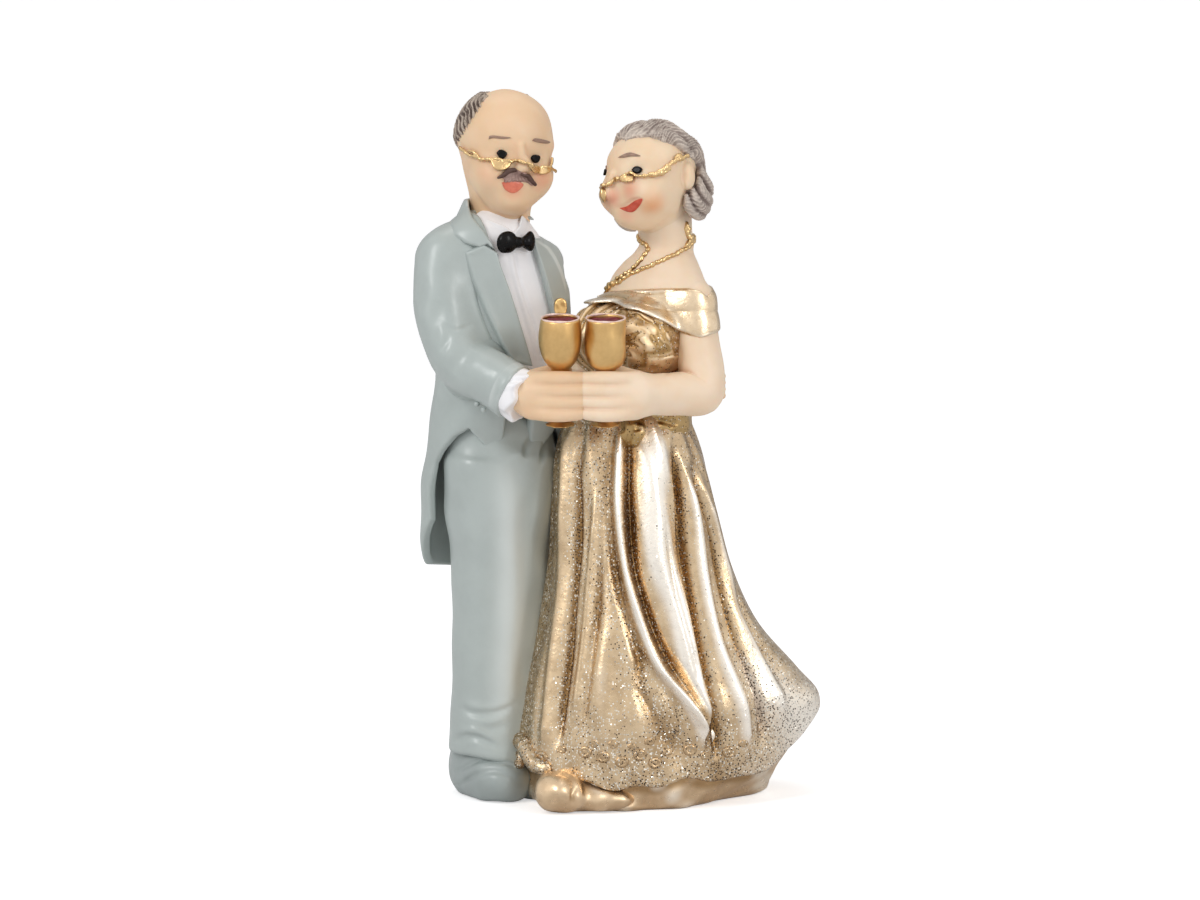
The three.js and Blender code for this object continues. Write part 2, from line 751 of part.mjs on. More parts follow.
// A head's skin, its hair and what is on the face. Every piece is placed on the skin's own surface.
function headPieces({ width, depth, height, shares, faceShares, hair, frame, names, neckForms }) {
  const melt = (headMeltShare * width) / 2;
  const reach = Math.max(width, depth, height);
  const balls = sized(shares, width, depth, height);
  const face = placed(wrapped(balls, { reach, melt, sides: 32 }), frame);
  const faceSolid = solidOf(face);
  const faceRoom = roomFor([face]);

  // The point of the face at a share of the width and the height, and how far it lies off the skin.
  const onFace = (sideShare, upShare, lift = 0) => {
    const [x, z] = [(sideShare * width) / 2, (upShare * height) / 2];
    let [near, far] = [0, depth];
    for (let step = 0; step < 24; step++) {
      const y = (near + far) / 2;
      const point = new THREE.Vector3(x, -y, z);
      const beyond = meltedTogether(balls.map((one) => beyondBall(point, one)), melt);
      if (beyond < 0) near = y;
      else far = y;
    }
    return new THREE.Vector3(x, -near - lift, z);
  };
  const bead = (size, share, side = 1) => {
    const at = onFace(share[0] * side, share[1], -size * 0.16);
    return placed(ball([size, size, size], at.toArray(), 12), frame);
  };
  const eyes = [-1, 1].map((side) => bead(eyeWidth, faceShares.eye, side));
  const mouthAt = onFace(...faceShares.mouth, -mouthWidth * 0.1);
  const mouthSize = [mouthWidth, mouthWidth * 0.6, mouthWidth * faceShares.mouthHeight];
  const mouth = placed(ball(mouthSize, mouthAt.toArray(), 14), frame);
  const brows = [-1, 1].map((side) => {
    const [x, z] = faceShares.brow;
    const half = browLength / width;
    const points = [-1, 0, 1].map((end) =>
      onFace(side * (x + end * half), z + (end === 0 ? 0.03 : 0), browThickness * 0.35),
    );
    return placed(limb({ points, thickness: browThickness, steps: 5, sides: 8 }), frame);
  });
  const wireLift = wireThickness / 2 + seam * 1.5;
  const noseRest = onFace(0, faceShares.lens[1], wireLift).y + lensThickness;
  const spectacles = [-1, 1].flatMap((side) => {
    const [lensX, lensZ] = faceShares.lens;
    const middle = onFace(side * lensX, lensZ, wireLift + lensThickness);
    middle.y = Math.min(middle.y, noseRest);
    const half = lensWidth / 2;
    const top = middle.z + lensHeight / 2;
    const corner = (end) => new THREE.Vector3(middle.x + end * half, middle.y, top);
    const [inner, outer] = side < 0 ? [corner(1), corner(-1)] : [corner(-1), corner(1)];
    const hinge = onFace(side * 0.8, lensZ + 0.06, wireLift);
    hinge.x = Math.sign(side) * Math.max(Math.abs(hinge.x), (width / 2) * 0.86);
    const [templeX, templeZ] = faceShares.temple;
    const earAside = (templeX * width) / 2 + wireLift;
    const ear = new THREE.Vector3(side * earAside, -depth * 0.04, (templeZ * height) / 2);
    const beside = hinge.clone().lerp(ear, 0.5).setX(side * (width / 2 + wireLift));
    const outline = new THREE.Shape();
    outline.moveTo(-half, lensHeight / 2);
    outline.absarc(0, lensHeight / 2, half, Math.PI, 2 * Math.PI, false);
    const moon = new THREE.ExtrudeGeometry(outline, {
      depth: lensThickness,
      bevelEnabled: false,
      curveSegments: 10,
    });
    moon.scale(1, lensHeight / half, 1).rotateX(Math.PI / 2);
    moon.translate(middle.x, middle.y + lensThickness / 2, middle.z);
    const wire = (points, steps) => limb({ points, thickness: wireThickness, steps, sides: 9, dome: 0.3 });
    const over = onFace(0, lensZ + 0.16, wireLift);
    over.y = Math.min(over.y, inner.y - lensThickness);
    return [
      moon,
      wire([inner, outer], 2),
      wire([inner, over], 2),
      wire([outer, hinge, beside, ear], 9),
    ];
  });
  const glasses = placedAll(spectacles, frame);

  const hairBalls = hair.shares.length ? sized(hair.shares, width, depth, height) : balls;
  const swell = (way) => hair.thickness + hair.wave(way);
  const cap = placed(wrapped(hairBalls, { reach: reach * 1.4, melt, sides: 34, swell }), frame);
  const [eyeRoom, mouthRoom] = [roomFor(eyes), roomFor([mouth])];
  const bareHead = neckForms.reduce((a, form) => a.add(solidOf(form)), faceSolid);
  addPiece(names.head, cut(bareHead, eyeRoom, mouthRoom), frame, skin);
  const hairRoom = roomFor([face, ...neckForms]);
  addPiece(names.hair, cut(solidOf(cap), hairRoom, ...hair.cuts), frame, greyHair);
  eyes.forEach((eye, i) => addPiece(names.eyes[i], solidOf(eye), frame, blackGloss));
  brows.forEach((brow, i) => addPiece(names.brows[i], cut(solidOf(brow), faceRoom), frame, greyHair));
  addPiece(names.mouth, solidOf(mouth), frame, lips);
  addPiece(names.glasses, cut(joined(glasses), roomFor([face], seam * 0.8)), frame, goldLeaf);
  return { face, faceRoom, onFace, mouthRoom, hair: cap };
}

const headNames = (who) => ({
  head: `${who}_head`,
  hair: `${who}_hair`,
  glasses: `${who}_eyeglasses`,
  mouth: `${who}_mouth`,
  eyes: [`${who}_right_eye`, `${who}_left_eye`],
  brows: [`${who}_right_eyebrow`, `${who}_left_eyebrow`],
});

// What is left off the hair: everything in front of the hairline and below the nape, and a bald crown.
// The hairline is in side view, [backwards, up], and the crown in front view, [sideways, up].
function hairlineCut(shares, width, depth, height, frame) {
  const outline = shares.map(([back, up]) => [(back * depth) / 2, (up * height) / 2]);
  return solidOf(placed(prism(outline, -width * 2, width * 2).rotateZ(Math.PI / 2), frame));
}

function crownCut(shares, width, depth, height, frame) {
  const outline = shares.map(([aside, up]) => [(aside * width) / 2, (up * height) / 2]);
  return solidOf(placed(prism(outline, -depth, (depth / 2) * crownReachShare), frame));
}

const neck = placed(
  loft({
    bottom: coatTop - manNeckLength * 0.72,
    height: manNeckLength,
    width: manNeckWidth,
    depth: manNeckWidth,
    shares: neckShares,
    rings: 4,
    sides: 18,
  }),
  man,
);
const manHeadSize = [manHeadWidth, manHeadDepth, manHeadHeight];
const manFace = headPieces({
  width: manHeadWidth,
  depth: manHeadDepth,
  height: manHeadHeight,
  shares: manHeadShares,
  faceShares: manFaceShares,
  hair: {
    shares: [],
    thickness: fringeThickness,
    wave: () => 0,
    cuts: [
      hairlineCut(fringeShares, ...manHeadSize, manHead),
      crownCut(crownShares, ...manHeadSize, manHead),
    ],
  },
  frame: manHead,
  names: headNames("man"),
  neckForms: [neck],
});
const womanFace = headPieces({
  width: womanHeadWidth,
  depth: womanHeadDepth,
  height: womanHeadHeight,
  shares: womanHeadShares,
  faceShares: womanFaceShares,
  hair: {
    shares: hairShares,
    thickness: hairThickness,
    wave: (way) => hairWave * Math.sin(7 * way.z - 5 * way.y + 2 * Math.sin(3 * way.x)),
    cuts: [hairlineCut(hairlineShares, womanHeadWidth, womanHeadDepth, womanHeadHeight, womanHead)],
  },
  frame: womanHead,
  names: headNames("woman"),
  neckForms: [],
});

const [moustacheSide, moustacheUp] = manFaceShares.moustache;
const moustacheAt = (end) =>
  manFace.onFace(
    moustacheSide + (end * moustacheWidth) / manHeadWidth,
    moustacheUp - 0.07 * end * end,
    moustacheThickness * 0.1,
  );
const moustache = placed(
  limb({
    points: [-1, -0.5, 0, 0.5, 1].map(moustacheAt),
    thickness: moustacheThickness,
    shares: [0.5, 1.1, 1.3, 1.1, 0.5],
    steps: 8,
    sides: 8,
  }),
  manHead,
);
addPiece("man_moustache", cut(solidOf(moustache), manFace.faceRoom, manFace.mouthRoom), manHead, greyHair);

// Skirt, petticoat and shoe

const skirtCentre = [womanX - skirtAside, womanY - skirtForward];
const trainWay = degToRad(trainTurn);

// How far the dress reaches from its middle, at a height share and an angle, and its folds.
function skirtReach(at, angle) {
  const [, left, right, front, back] = readRows(skirtShares, at);
  const away = angle - trainWay;
  const along = Math.cos(away) > 0 ? left * skirtReachLeft : right * skirtReachRight;
  const across = Math.sin(away) < 0 ? front * skirtReachFront : back * skirtReachBack;
  return 1 / Math.hypot(Math.cos(away) / along, Math.sin(away) / across);
}

function foldAt(at, angle) {
  const bent = angle + 0.16 * Math.sin(2 * angle + 1) + 0.08 * Math.sin(5 * angle + 2);
  const fold = Math.abs(Math.sin((foldCount / 2) * bent + 1.2 * at)) ** 0.7 - 0.65;
  return fold * foldDepth * (1.15 - at);
}

// The hem's level round the skirt: highest at the tip of the train.
function hemAt(angle) {
  const aside = Math.atan2(Math.sin(angle - trainWay), Math.cos(angle - trainWay)) / 0.4;
  const curl = Math.cos(angle - Math.PI * 1.14) > 0.9 ? hemCurl : 0;
  return hemLevel + trainLift * Math.exp(-aside * aside) + hemWave * Math.sin(5 * angle) + curl;
}

function skirtForm() {
  const [sides, levels] = [60, 9];
  const rings = [];
  for (let j = 0; j <= levels; j++) {
    const ring = [];
    for (let i = 0; i < sides; i++) {
      const angle = (i / sides) * 2 * Math.PI;
      const z = lerp(hemAt(angle), skirtHeight, (j / levels) ** 0.9);
      const reach = skirtReach(z / skirtHeight, angle) + foldAt(z / skirtHeight, angle);
      const x = skirtCentre[0] + reach * Math.cos(angle);
      const y = skirtCentre[1] + reach * Math.sin(angle);
      ring.push(new THREE.Vector3(x, y, z));
    }
    rings.push(ring);
  }
  return bodyOver(rings);
}

function petticoatForm() {
  const [sides, levels] = [40, 3];
  const rings = [];
  for (let j = 0; j <= levels; j++) {
    const ring = [];
    for (let i = 0; i < sides; i++) {
      const angle = (i / sides) * 2 * Math.PI;
      const top = hemAt(angle) + petticoatTuck;
      const z = (j / levels) * top;
      const under = Math.min(z / hemAt(angle), 1);
      const towards = Math.exp(-(((Math.cos(angle - trainWay) - 1) / 0.45) ** 2));
      const rim = 1 - (0.06 + 0.22 * towards) * (1 - under);
      const level = Math.max(z, hemAt(angle)) / skirtHeight;
      const reach = (skirtReach(level, angle) - petticoatInset) * rim;
      const x = skirtCentre[0] + reach * Math.cos(angle);
      const y = skirtCentre[1] + reach * Math.sin(angle);
      ring.push(new THREE.Vector3(x, y, z));
    }
    rings.push(ring);
  }
  return bodyOver(rings);
}

const floorCut = solidOf(
  new THREE.BoxGeometry(skirtReachLeft * 5, skirtReachLeft * 5, overrun * 2).translate(0, 0, -overrun),
);
const skirt = skirtForm();
const petticoat = petticoatForm();
const womanShoeAt = [
  skirtCentre[0] - skirtReachRight * 0.55,
  skirtCentre[1] - skirtReachFront * 0.84,
  womanShoeHeight * 0.4,
];
const womanShoe = ball([womanShoeWidth, womanShoeLength, womanShoeHeight], [0, 0, 0], 18)
  .rotateZ(degToRad(womanShoeTurn))
  .translate(...womanShoeAt);

// Bodice, shoulders and the woman's arms

const bust = [-1, 1].map((side) =>
  ball(
    [bustWidth, bustWidth, bustWidth],
    [side * bustWidth * 0.35, -bodiceDepth * 0.46, bodiceBottom + bodiceHeight * 0.66],
    18,
  ),
);
const bodiceForms = placedAll(
  [
    loft({
      bottom: bodiceBottom,
      height: bodiceHeight,
      width: bodiceWidth,
      depth: bodiceDepth,
      shares: bodiceShares,
      rings: 8,
      sides: 28,
    }),
    ...bust,
  ],
  woman,
);
const chest = placed(
  loft({
    bottom: chestBottom,
    height: shoulderRise,
    width: shoulderWidth,
    depth: shoulderDepth,
    shares: chestShares,
    rings: 9,
    sides: 24,
  }),
  woman,
);
const sashForms = placedAll(
  [
    loft({
      bottom: skirtHeight - sashHeight / 2,
      height: sashHeight,
      width: sashWidth,
      depth: sashDepth,
      shares: sashShares,
      rings: 4,
      sides: 28,
    }).translate(-bodiceWidth * 0.14, -bodiceDepth * 0.13, 0),
    ball(
      [knotWidth, knotWidth * 0.7, knotHeight],
      [sashWidth * 0.16, -sashDepth * 0.56, skirtHeight - sashHeight * 0.3],
      14,
    ),
  ],
  woman,
);
const armThickness = womanArmThickness;
const armTop = bodiceTop - armThickness * 0.1;
const leftShoulder = pointIn(woman, shoulderWidth * 0.5, -shoulderDepth * 0.02, armTop);
const leftElbow = pointIn(woman, shoulderWidth * 0.66, -shoulderDepth * 0.1, toastLevel);
const wristY = gobletY + fistDepth * 0.1;
const leftWrist = new THREE.Vector3(womanGobletX + fistWidth * 0.54, wristY, toastLevel);
const leftArm = limb({
  points: [
    leftShoulder,
    leftShoulder.clone().lerp(leftElbow, 0.5),
    leftElbow,
    leftElbow.clone().lerp(leftWrist, 0.42).setZ(toastLevel - armThickness * 0.03),
    leftWrist,
  ],
  thickness: armThickness,
  shares: [1.04, 1, 0.98, 0.94, 0.84],
  steps: 16,
  sides: 16,
});
const rightShoulder = pointIn(woman, -shoulderWidth * 0.46, 0, bodiceTop - armThickness * 0.5);
const rightHandLevel = toastLevel + handThickness * 0.5;
const rightHandAt = pointIn(man, coatWidth * 0.5, -coatDepth * 0.34, rightHandLevel);
const elbowBend = new THREE.Vector3(0.09, 0.14, -0.28).multiplyScalar(armThickness);
const rightElbow = rightShoulder.clone().lerp(rightHandAt, 0.5).add(elbowBend);
const rightArm = limb({
  points: [rightShoulder, rightElbow, rightHandAt.clone().lerp(rightElbow, 0.2)],
  thickness: armThickness,
  shares: [0.9, 0.86, 0.7],
  steps: 8,
  sides: 12,
});
const rightHand = ball([handWidth, handLength * 0.8, handThickness], [0, 0, 0], 12)
  .rotateZ(degToRad(rightHandTurn))
  .translate(rightHandAt.x, rightHandAt.y, rightHandAt.z);

// The off-shoulder drape: a flat ring round the bust and both upper arms.
function drapeForm() {
  const [around, across] = [30, 6];
  const rings = [];
  for (let j = 0; j < around; j++) {
    const angle = (j / around) * 2 * Math.PI;
    const sideways = Math.abs(Math.cos(angle));
    const halfHeight = (drapeHeight / 2) * (0.36 + 0.64 * sideways ** 1.5);
    const level = bodiceTop - drapeHeight * (0.2 + 0.2 * sideways);
    const centre = new THREE.Vector3(
      (drapeWidth / 2) * Math.cos(angle),
      (drapeDepth / 2) * Math.sin(angle),
      level,
    );
    const out = new THREE.Vector3(Math.cos(angle), Math.sin(angle), 0);
    const ring = [];
    for (let i = 0; i < across; i++) {
      const turn = (i / across) * 2 * Math.PI;
      const lean = Math.sin(turn) * 0.12 * halfHeight; // its upper edge lies closer to her
      const point = centre.clone();
      point.addScaledVector(out, (Math.cos(turn) * drapeThickness) / 2 - lean);
      point.z += Math.sin(turn) * halfHeight;
      ring.push(point);
    }
    rings.push(ring);
  }
  return loopOver(rings);
}

// A closed loop over rings, the last joined to the first.
function loopOver(rings) {
  const count = rings[0].length;
  const index = [];
  for (let j = 0; j < rings.length; j++) {
    const after = (j + 1) % rings.length;
    for (let i = 0; i < count; i++) {
      const next = (i + 1) % count;
      const [a, b] = [j * count + i, j * count + next];
      const [c, d] = [after * count + i, after * count + next];
      index.push(a, d, b, a, c, d);
    }
  }
  const geometry = new THREE.BufferGeometry().setFromPoints(rings.flat());
  geometry.setIndex(index);
  return geometry;
}

const drape = placed(drapeForm(), woman);
const arms = [leftArm, rightArm];
const skirtRoom = roomFor([skirt]);
const bodiceRoom = roomFor(bodiceForms);
addPiece("woman_shoe", cut(solidOf(womanShoe), floorCut), couple, goldMatte);
addPiece("woman_petticoat", cut(solidOf(petticoat), roomFor([womanShoe])), couple, goldMatte);
addPiece(
  "woman_skirt",
  cut(solidOf(skirt), roomFor([petticoat, womanShoe]), roomFor(sashForms)),
  couple,
  goldGlitter,
);
addPiece(
  "woman_sash",
  cut(joined(sashForms), bodiceRoom, roomFor([manGoblet, womanGoblet, ...manFist, ...womanFist])),
  woman,
  goldMatte,
);
addPiece(
  "woman_bodice",
  cut(joined(bodiceForms), roomFor([...arms, ...womanFist, rightHand]), roomFor([chest])),
  woman,
  goldGlitter,
);
addPiece(
  "woman_shoulders",
  cut(solidOf(chest), womanFace.faceRoom, roomFor([womanFace.hair])),
  woman,
  skin,
);

addPiece("woman_drape", cut(solidOf(drape), bodiceRoom, roomFor([...arms, chest])), woman, goldLeaf);
addPiece("woman_left_arm", cut(solidOf(leftArm), roomFor(womanFist), roomFor([chest])), woman, skin);
addPiece("woman_right_arm", cut(solidOf(rightArm), roomFor([chest, rightHand])), woman, skin);
addPiece("woman_right_hand", solidOf(rightHand), woman, skin);

// The man's shoes and trousers

function shoeForm({ at, size }, shift) {
  const [width, length, height] = size;
  const [back, up] = at;
  const form = ball(
    [shoeWidth * width, shoeLength * length, shoeHeight * height],
    [shift, shoeLength * back, shoeHeight * up],
    16,
  );
  return placed(form, man);
}

const shoeForms = [-1, 1].map((side) =>
  shoeShares.map((one) => shoeForm(one, (side * legSpacing) / 2 + shoeShift)),
);
const legForms = [-1, 1].map((side) =>
  placed(
    loft({
      bottom: trouserHem,
      height: trouserLength,
      width: legWidth,
      depth: legDepth,
      shares: legShares,
      rings: 10,
      sides: 20,
    }).translate((side * legSpacing) / 2, 0, 0),
    man,
  ),
);
const hips = placed(
  loft({
    bottom: legTop - hipHeight * 0.4,
    height: hipHeight,
    width: hipWidth,
    depth: hipDepth,
    shares: hipShares,
    rings: 5,
    sides: 24,
  }),
  man,
);
const trouserForms = [...legForms, hips];

// The man's coat, shirt and collar

const openingTop = coatTop + overrun / 2;
const openingOutline = (margin) =>
  openingShares.map(([side, down], i) => {
    const edge = Math.sign(i - (openingShares.length - 1) / 2) * margin;
    return [
      side * openingWidth + edge + openingLean * down,
      openingTop - down * (openingDrop + overrun / 2) - (side === 0 ? margin * 2 : 0),
    ];
  });
const frontReach = -coatDepth;
const opening = (margin, depth) =>
  solidOf(placed(prism(openingOutline(margin), frontReach, -shirtDepth + depth), man));

const torso = placed(
  loft({
    bottom: coatBottom,
    height: coatLength,
    width: coatWidth,
    depth: coatDepth,
    shares: coatShares,
    rings: 18,
    sides: 30,
  }),
  man,
);
const cutaway = solidOf(
  placed(
    prism(
      cutawayShares.map(([back, up]) => [back * coatDepth, coatBottom + up * coatLength]),
      -coatWidth,
      coatWidth,
    ).rotateZ(Math.PI / 2),
    man,
  ),
);
const vent = solidOf(
  placed(
    prism(
      [
        [-seam * 3, coatBottom - overrun],
        [seam * 3, coatBottom - overrun],
        [0, coatBottom + coatLength * 0.3],
      ],
      0,
      coatDepth * 1.2,
    ),
    man,
  ),
);
const collarWidth = manNeckWidth + 2 * (collarThickness + seam);
const collar = placed(
  loft({
    bottom: coatTop - collarHeight * 0.6,
    height: collarHeight,
    width: collarWidth,
    depth: collarWidth,
    shares: neckShares,
    rings: 3,
    sides: 24,
  }),
  man,
);
const coatCollarWidth = collarWidth + 2 * (coatCollarThickness + seam);
const coatCollar = placed(
  loft({
    bottom: coatTop - collarHeight * 0.9,
    height: collarHeight * 1.05,
    width: coatCollarWidth,
    depth: coatCollarWidth,
    shares: coatCollarShares,
    rings: 3,
    sides: 24,
  }),
  man,
);
const bowAt = [-bowWidth * 0.07, -coatDepth * 0.44, coatTop - collarHeight * 1.12];
const bowForms = placedAll(
  [
    ball([bowWidth * 0.52, bowDepth, bowHeight], [-bowWidth * 0.27, 0, 0], 14),
    ball([bowWidth * 0.52, bowDepth, bowHeight], [bowWidth * 0.27, 0, 0], 14),
    ball([bowWidth * 0.24, bowDepth, bowHeight * 0.5], [0, 0, 0], 10),
  ].map((one) => one.translate(...bowAt)),
  man,
);

// Lapels lie on the coat beside the opening.
function lapelOutline(side) {
  const middle = (openingShares.length - 1) / 2;
  const inner = openingOutline(lapelGap - openingWidth * 0.08).filter((_, i) =>
    side < 0 ? i <= middle : i >= middle,
  );
  const outer = lapelShares.map(([out, down]) => [
    side * openingWidth * (0.42 + out) * (1 - 0.3 * down) + openingLean * down,
    coatTop - down * openingDrop,
  ]);
  return side < 0 ? [...inner, ...outer.reverse()] : [...outer, ...inner].reverse();
}

// Sleeves, cuffs and the man's left hand

const sleeveTop = coatTop - sleeveThickness * 0.86;
const rightArmTop = pointIn(man, -coatWidth * 0.47, -coatDepth * 0.02, sleeveTop);
const rightWrist = new THREE.Vector3(manGobletX - fistWidth * 0.62, wristY, toastLevel);
const elbowLevel = toastLevel + sleeveThickness * 0.54;
const rightElbowMan = pointIn(man, -coatWidth * 0.44, -coatDepth * 0.4, elbowLevel);
const sleeveEnd = rightWrist.clone().lerp(rightElbowMan, 0.12);
const sleeveBow = new THREE.Vector3(-sleeveThickness * 0.19, 0, 0);
const rightSleeve = limb({
  points: [
    rightArmTop,
    rightArmTop.clone().lerp(rightElbowMan, 0.5).add(sleeveBow),
    rightElbowMan,
    rightElbowMan.clone().lerp(sleeveEnd, 0.5),
    sleeveEnd,
  ],
  thickness: sleeveThickness,
  shares: [1.02, 1, 1, 1, 1.12],
  dome: 0.5,
  steps: 16,
  sides: 18,
});
const cuffWay = rightWrist.clone().sub(rightElbowMan).normalize();
const rightCuff = limb({
  points: [sleeveEnd, sleeveEnd.clone().addScaledVector(cuffWay, cuffLength)],
  thickness: sleeveThickness,
  dome: 0.1,
  steps: 3,
  sides: 18,
});
const handLevel = bodiceBottom + bodiceHeight * 0.26;
const leftHandAt = pointIn(woman, bodiceWidth * 0.16, bodiceDepth * 0.56, handLevel);
const leftArmTop = pointIn(man, coatWidth * 0.36, coatDepth * 0.1, coatTop - sleeveThickness * 1.02);
const leftSleeveEnd = leftHandAt
  .clone()
  .add(new THREE.Vector3(-handLength * 0.9, handThickness * 0.9, 0));
const leftElbowMan = leftArmTop.clone().lerp(leftSleeveEnd, 0.3);
leftElbowMan.setY(leftSleeveEnd.y).setZ(toastLevel + sleeveThickness * 0.6);
const leftSleeve = limb({
  points: [
    leftArmTop,
    leftArmTop.clone().add(new THREE.Vector3(0, coatDepth * 0.3, -sleeveThickness)),
    leftElbowMan,
    leftSleeveEnd,
  ],
  thickness: sleeveThickness,
  shares: [0.94, 0.96, 0.9],
  steps: 12,
  sides: 16,
});
const leftWay = leftHandAt.clone().sub(leftSleeveEnd).normalize();
const leftCuff = limb({
  points: [leftSleeveEnd, leftSleeveEnd.clone().addScaledVector(leftWay, cuffLength)],
  thickness: sleeveThickness * 0.9 - cuffThickness,
  dome: 0.1,
  steps: 3,
  sides: 16,
});
const leftHand = ball([handLength, handThickness, handWidth], [0, 0, 0], 14)
  .rotateZ(degToRad(leftHandTurn))
  .translate(leftHandAt.x + handLength * 0.08, leftHandAt.y, leftHandAt.z);

const womanBodyRoom = [skirtRoom, roomFor([petticoat]), bodiceRoom, roomFor(sashForms)];
const fistRoom = roomFor([...manFist, ...womanFist]);
const shirtTools = [roomFor([neck]), roomFor([collar]), roomFor(bowForms)];
addPiece(
  "man_right_shoe",
  cut(joined(shoeForms[0]), floorCut, roomFor(legForms), ...womanBodyRoom),
  man,
  greyCloth,
);
addPiece(
  "man_left_shoe",
  cut(joined(shoeForms[1]), floorCut, roomFor(legForms), roomFor(shoeForms[0]), ...womanBodyRoom),
  man,
  greyCloth,
);
addPiece("man_trousers", cut(joined(trouserForms), skirtRoom), man, greyCloth);
addPiece("man_bow_tie", joined(bowForms), man, blackGloss);
addPiece(
  "man_collar",
  cut(solidOf(collar), roomFor([neck]), manFace.faceRoom, roomFor(bowForms)),
  man,
  whiteCloth,
);
const shirtForm = placed(
  loft({
    bottom: coatBottom,
    height: coatLength - shirtInset,
    width: coatWidth - 2 * shirtInset,
    depth: coatDepth - 2 * shirtInset,
    shares: coatShares,
    rings: 18,
    sides: 30,
  }),
  man,
);
addPiece(
  "man_shirt_front",
  cut(solidOf(shirtForm).intersect(opening(-seam, -seam)), roomFor(trouserForms), ...shirtTools),
  man,
  whiteCloth,
);
const coat = cut(
  solidOf(torso),
  opening(0, 0),
  cutaway,
  vent,
  roomFor(trouserForms),
  roomFor([neck]),
  roomFor([coatCollar]),
  roomFor(bowForms),
  ...womanBodyRoom,
  roomFor([rightHand, rightArm, ...manFist]),
);
addPiece("man_tailcoat", coat, man, greyCloth);
addPiece(
  "man_coat_collar",
  cut(solidOf(coatCollar), roomFor([collar, neck]), manFace.faceRoom, opening(seam, seam), roomFor(bowForms)),
  man,
  greyCloth,
);
for (const [name, side] of [
  ["man_right_lapel", -1],
  ["man_left_lapel", 1],
]) {
  const slab = solidOf(placed(prism(lapelOutline(side), frontReach, -coatDepth * 0.1), man));
  const raised = solidOf(grown(torso, lapelThickness));
  const tools = [roomFor([torso]), opening(0, 0), roomFor([coatCollar]), roomFor(bowForms), ...womanBodyRoom];
  const armTools = [roomFor([rightSleeve, leftSleeve, rightArm, rightHand]), fistRoom];
  addPiece(name, cut(raised.intersect(slab), ...tools, ...armTools), man, greyCloth);
}
addPiece(
  "man_right_sleeve",
  cut(solidOf(rightSleeve), roomFor([torso]), roomFor([rightCuff]), fistRoom),
  man,
  greyCloth,
);
addPiece("man_right_cuff", cut(solidOf(rightCuff), fistRoom, roomFor(goblets)), man, whiteCloth);
addPiece(
  "man_left_sleeve",
  cut(solidOf(leftSleeve), roomFor([torso, leftCuff, leftHand, rightArm, drape]), ...womanBodyRoom),
  man,
  greyCloth,
);
addPiece("man_left_cuff", cut(solidOf(leftCuff), roomFor([leftHand]), ...womanBodyRoom), man, whiteCloth);
addPiece("man_left_hand", cut(solidOf(leftHand), ...womanBodyRoom), man, skin);

// Jewellery

const boutonniere = placed(
  ball(
    [boutonniereWidth, boutonniereWidth * 0.5, boutonniereWidth * 1.1],
    [coatWidth * 0.42, -coatDepth * 0.34, rightHandLevel + boutonniereRise],
    12,
  ),
  man,
);
const lapelRoom = roomFor([torso], lapelThickness + seam);
addPiece("man_boutonniere", cut(solidOf(boutonniere), lapelRoom), man, goldLeaf);

// The necklace lies round the neck and shoulders, lowest at the front of her right side.
const necklacePoints = Array.from({ length: necklaceSides }, (_, i) => {
  const angle = (i / necklaceSides) * 2 * Math.PI;
  const swing = Math.cos(angle + necklaceShares.lowest * Math.PI);
  const height = necklaceShares.middle - necklaceShares.swing * swing;
  const [at, w, d, left, back] = readRows(chestShares, height);
  return new THREE.Vector3(
    left * shoulderWidth + (w * shoulderWidth * Math.cos(angle)) / 2,
    back * shoulderDepth + (d * shoulderDepth * Math.sin(angle)) / 2,
    chestBottom + at * shoulderRise,
  );
});
const necklaceCurve = new THREE.CatmullRomCurve3(necklacePoints, true);
const necklace = placed(
  new THREE.TubeGeometry(necklaceCurve, necklaceSides * 2, necklaceThickness, dense(10), true),
  woman,
);
addPiece("woman_necklace", cut(solidOf(necklace), roomFor([chest])), woman, goldLeaf);
const [, neckWide, neckDeep, neckLeft, neckBack] = readRows(chestShares, earringShares.height);
const earringTop = pointIn(
  woman,
  neckLeft * shoulderWidth + (neckWide * shoulderWidth * Math.cos(earringShares.turn)) / 2,
  neckBack * shoulderDepth + (neckDeep * shoulderDepth * Math.sin(earringShares.turn)) / 2,
  chestBottom + earringShares.height * shoulderRise,
);
const earringWay = new THREE.Vector3(-earringThickness * 0.4, -earringThickness, -earringLength);
const earringFoot = earringTop.clone().add(earringWay);
const earring = limb({
  points: [earringTop, earringFoot],
  thickness: earringThickness,
  shares: [0.7, 1.2],
  steps: 4,
  sides: 10,
});
addPiece(
  "woman_earring",
  cut(solidOf(earring), roomFor([chest, necklace, womanFace.face, womanFace.hair])),
  womanHead,
  goldLeaf,
);

couple.updateMatrixWorld(true);
const footprint = new THREE.Box3().setFromObject(couple, true);
const middle = footprint.getCenter(new THREE.Vector3());
couple.position.set(-middle.x, -middle.y, 0);
couple.updateMatrixWorld(true);

export default couple;
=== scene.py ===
"""Anniversary cake topper: the visual model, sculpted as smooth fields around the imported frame.

The sculpture is worked out in millimetres in the couple's own frame, +Z up, with the couple facing -Y.
A field is a function that gives the distance from many points to a surface, negative inside.
"""

import math

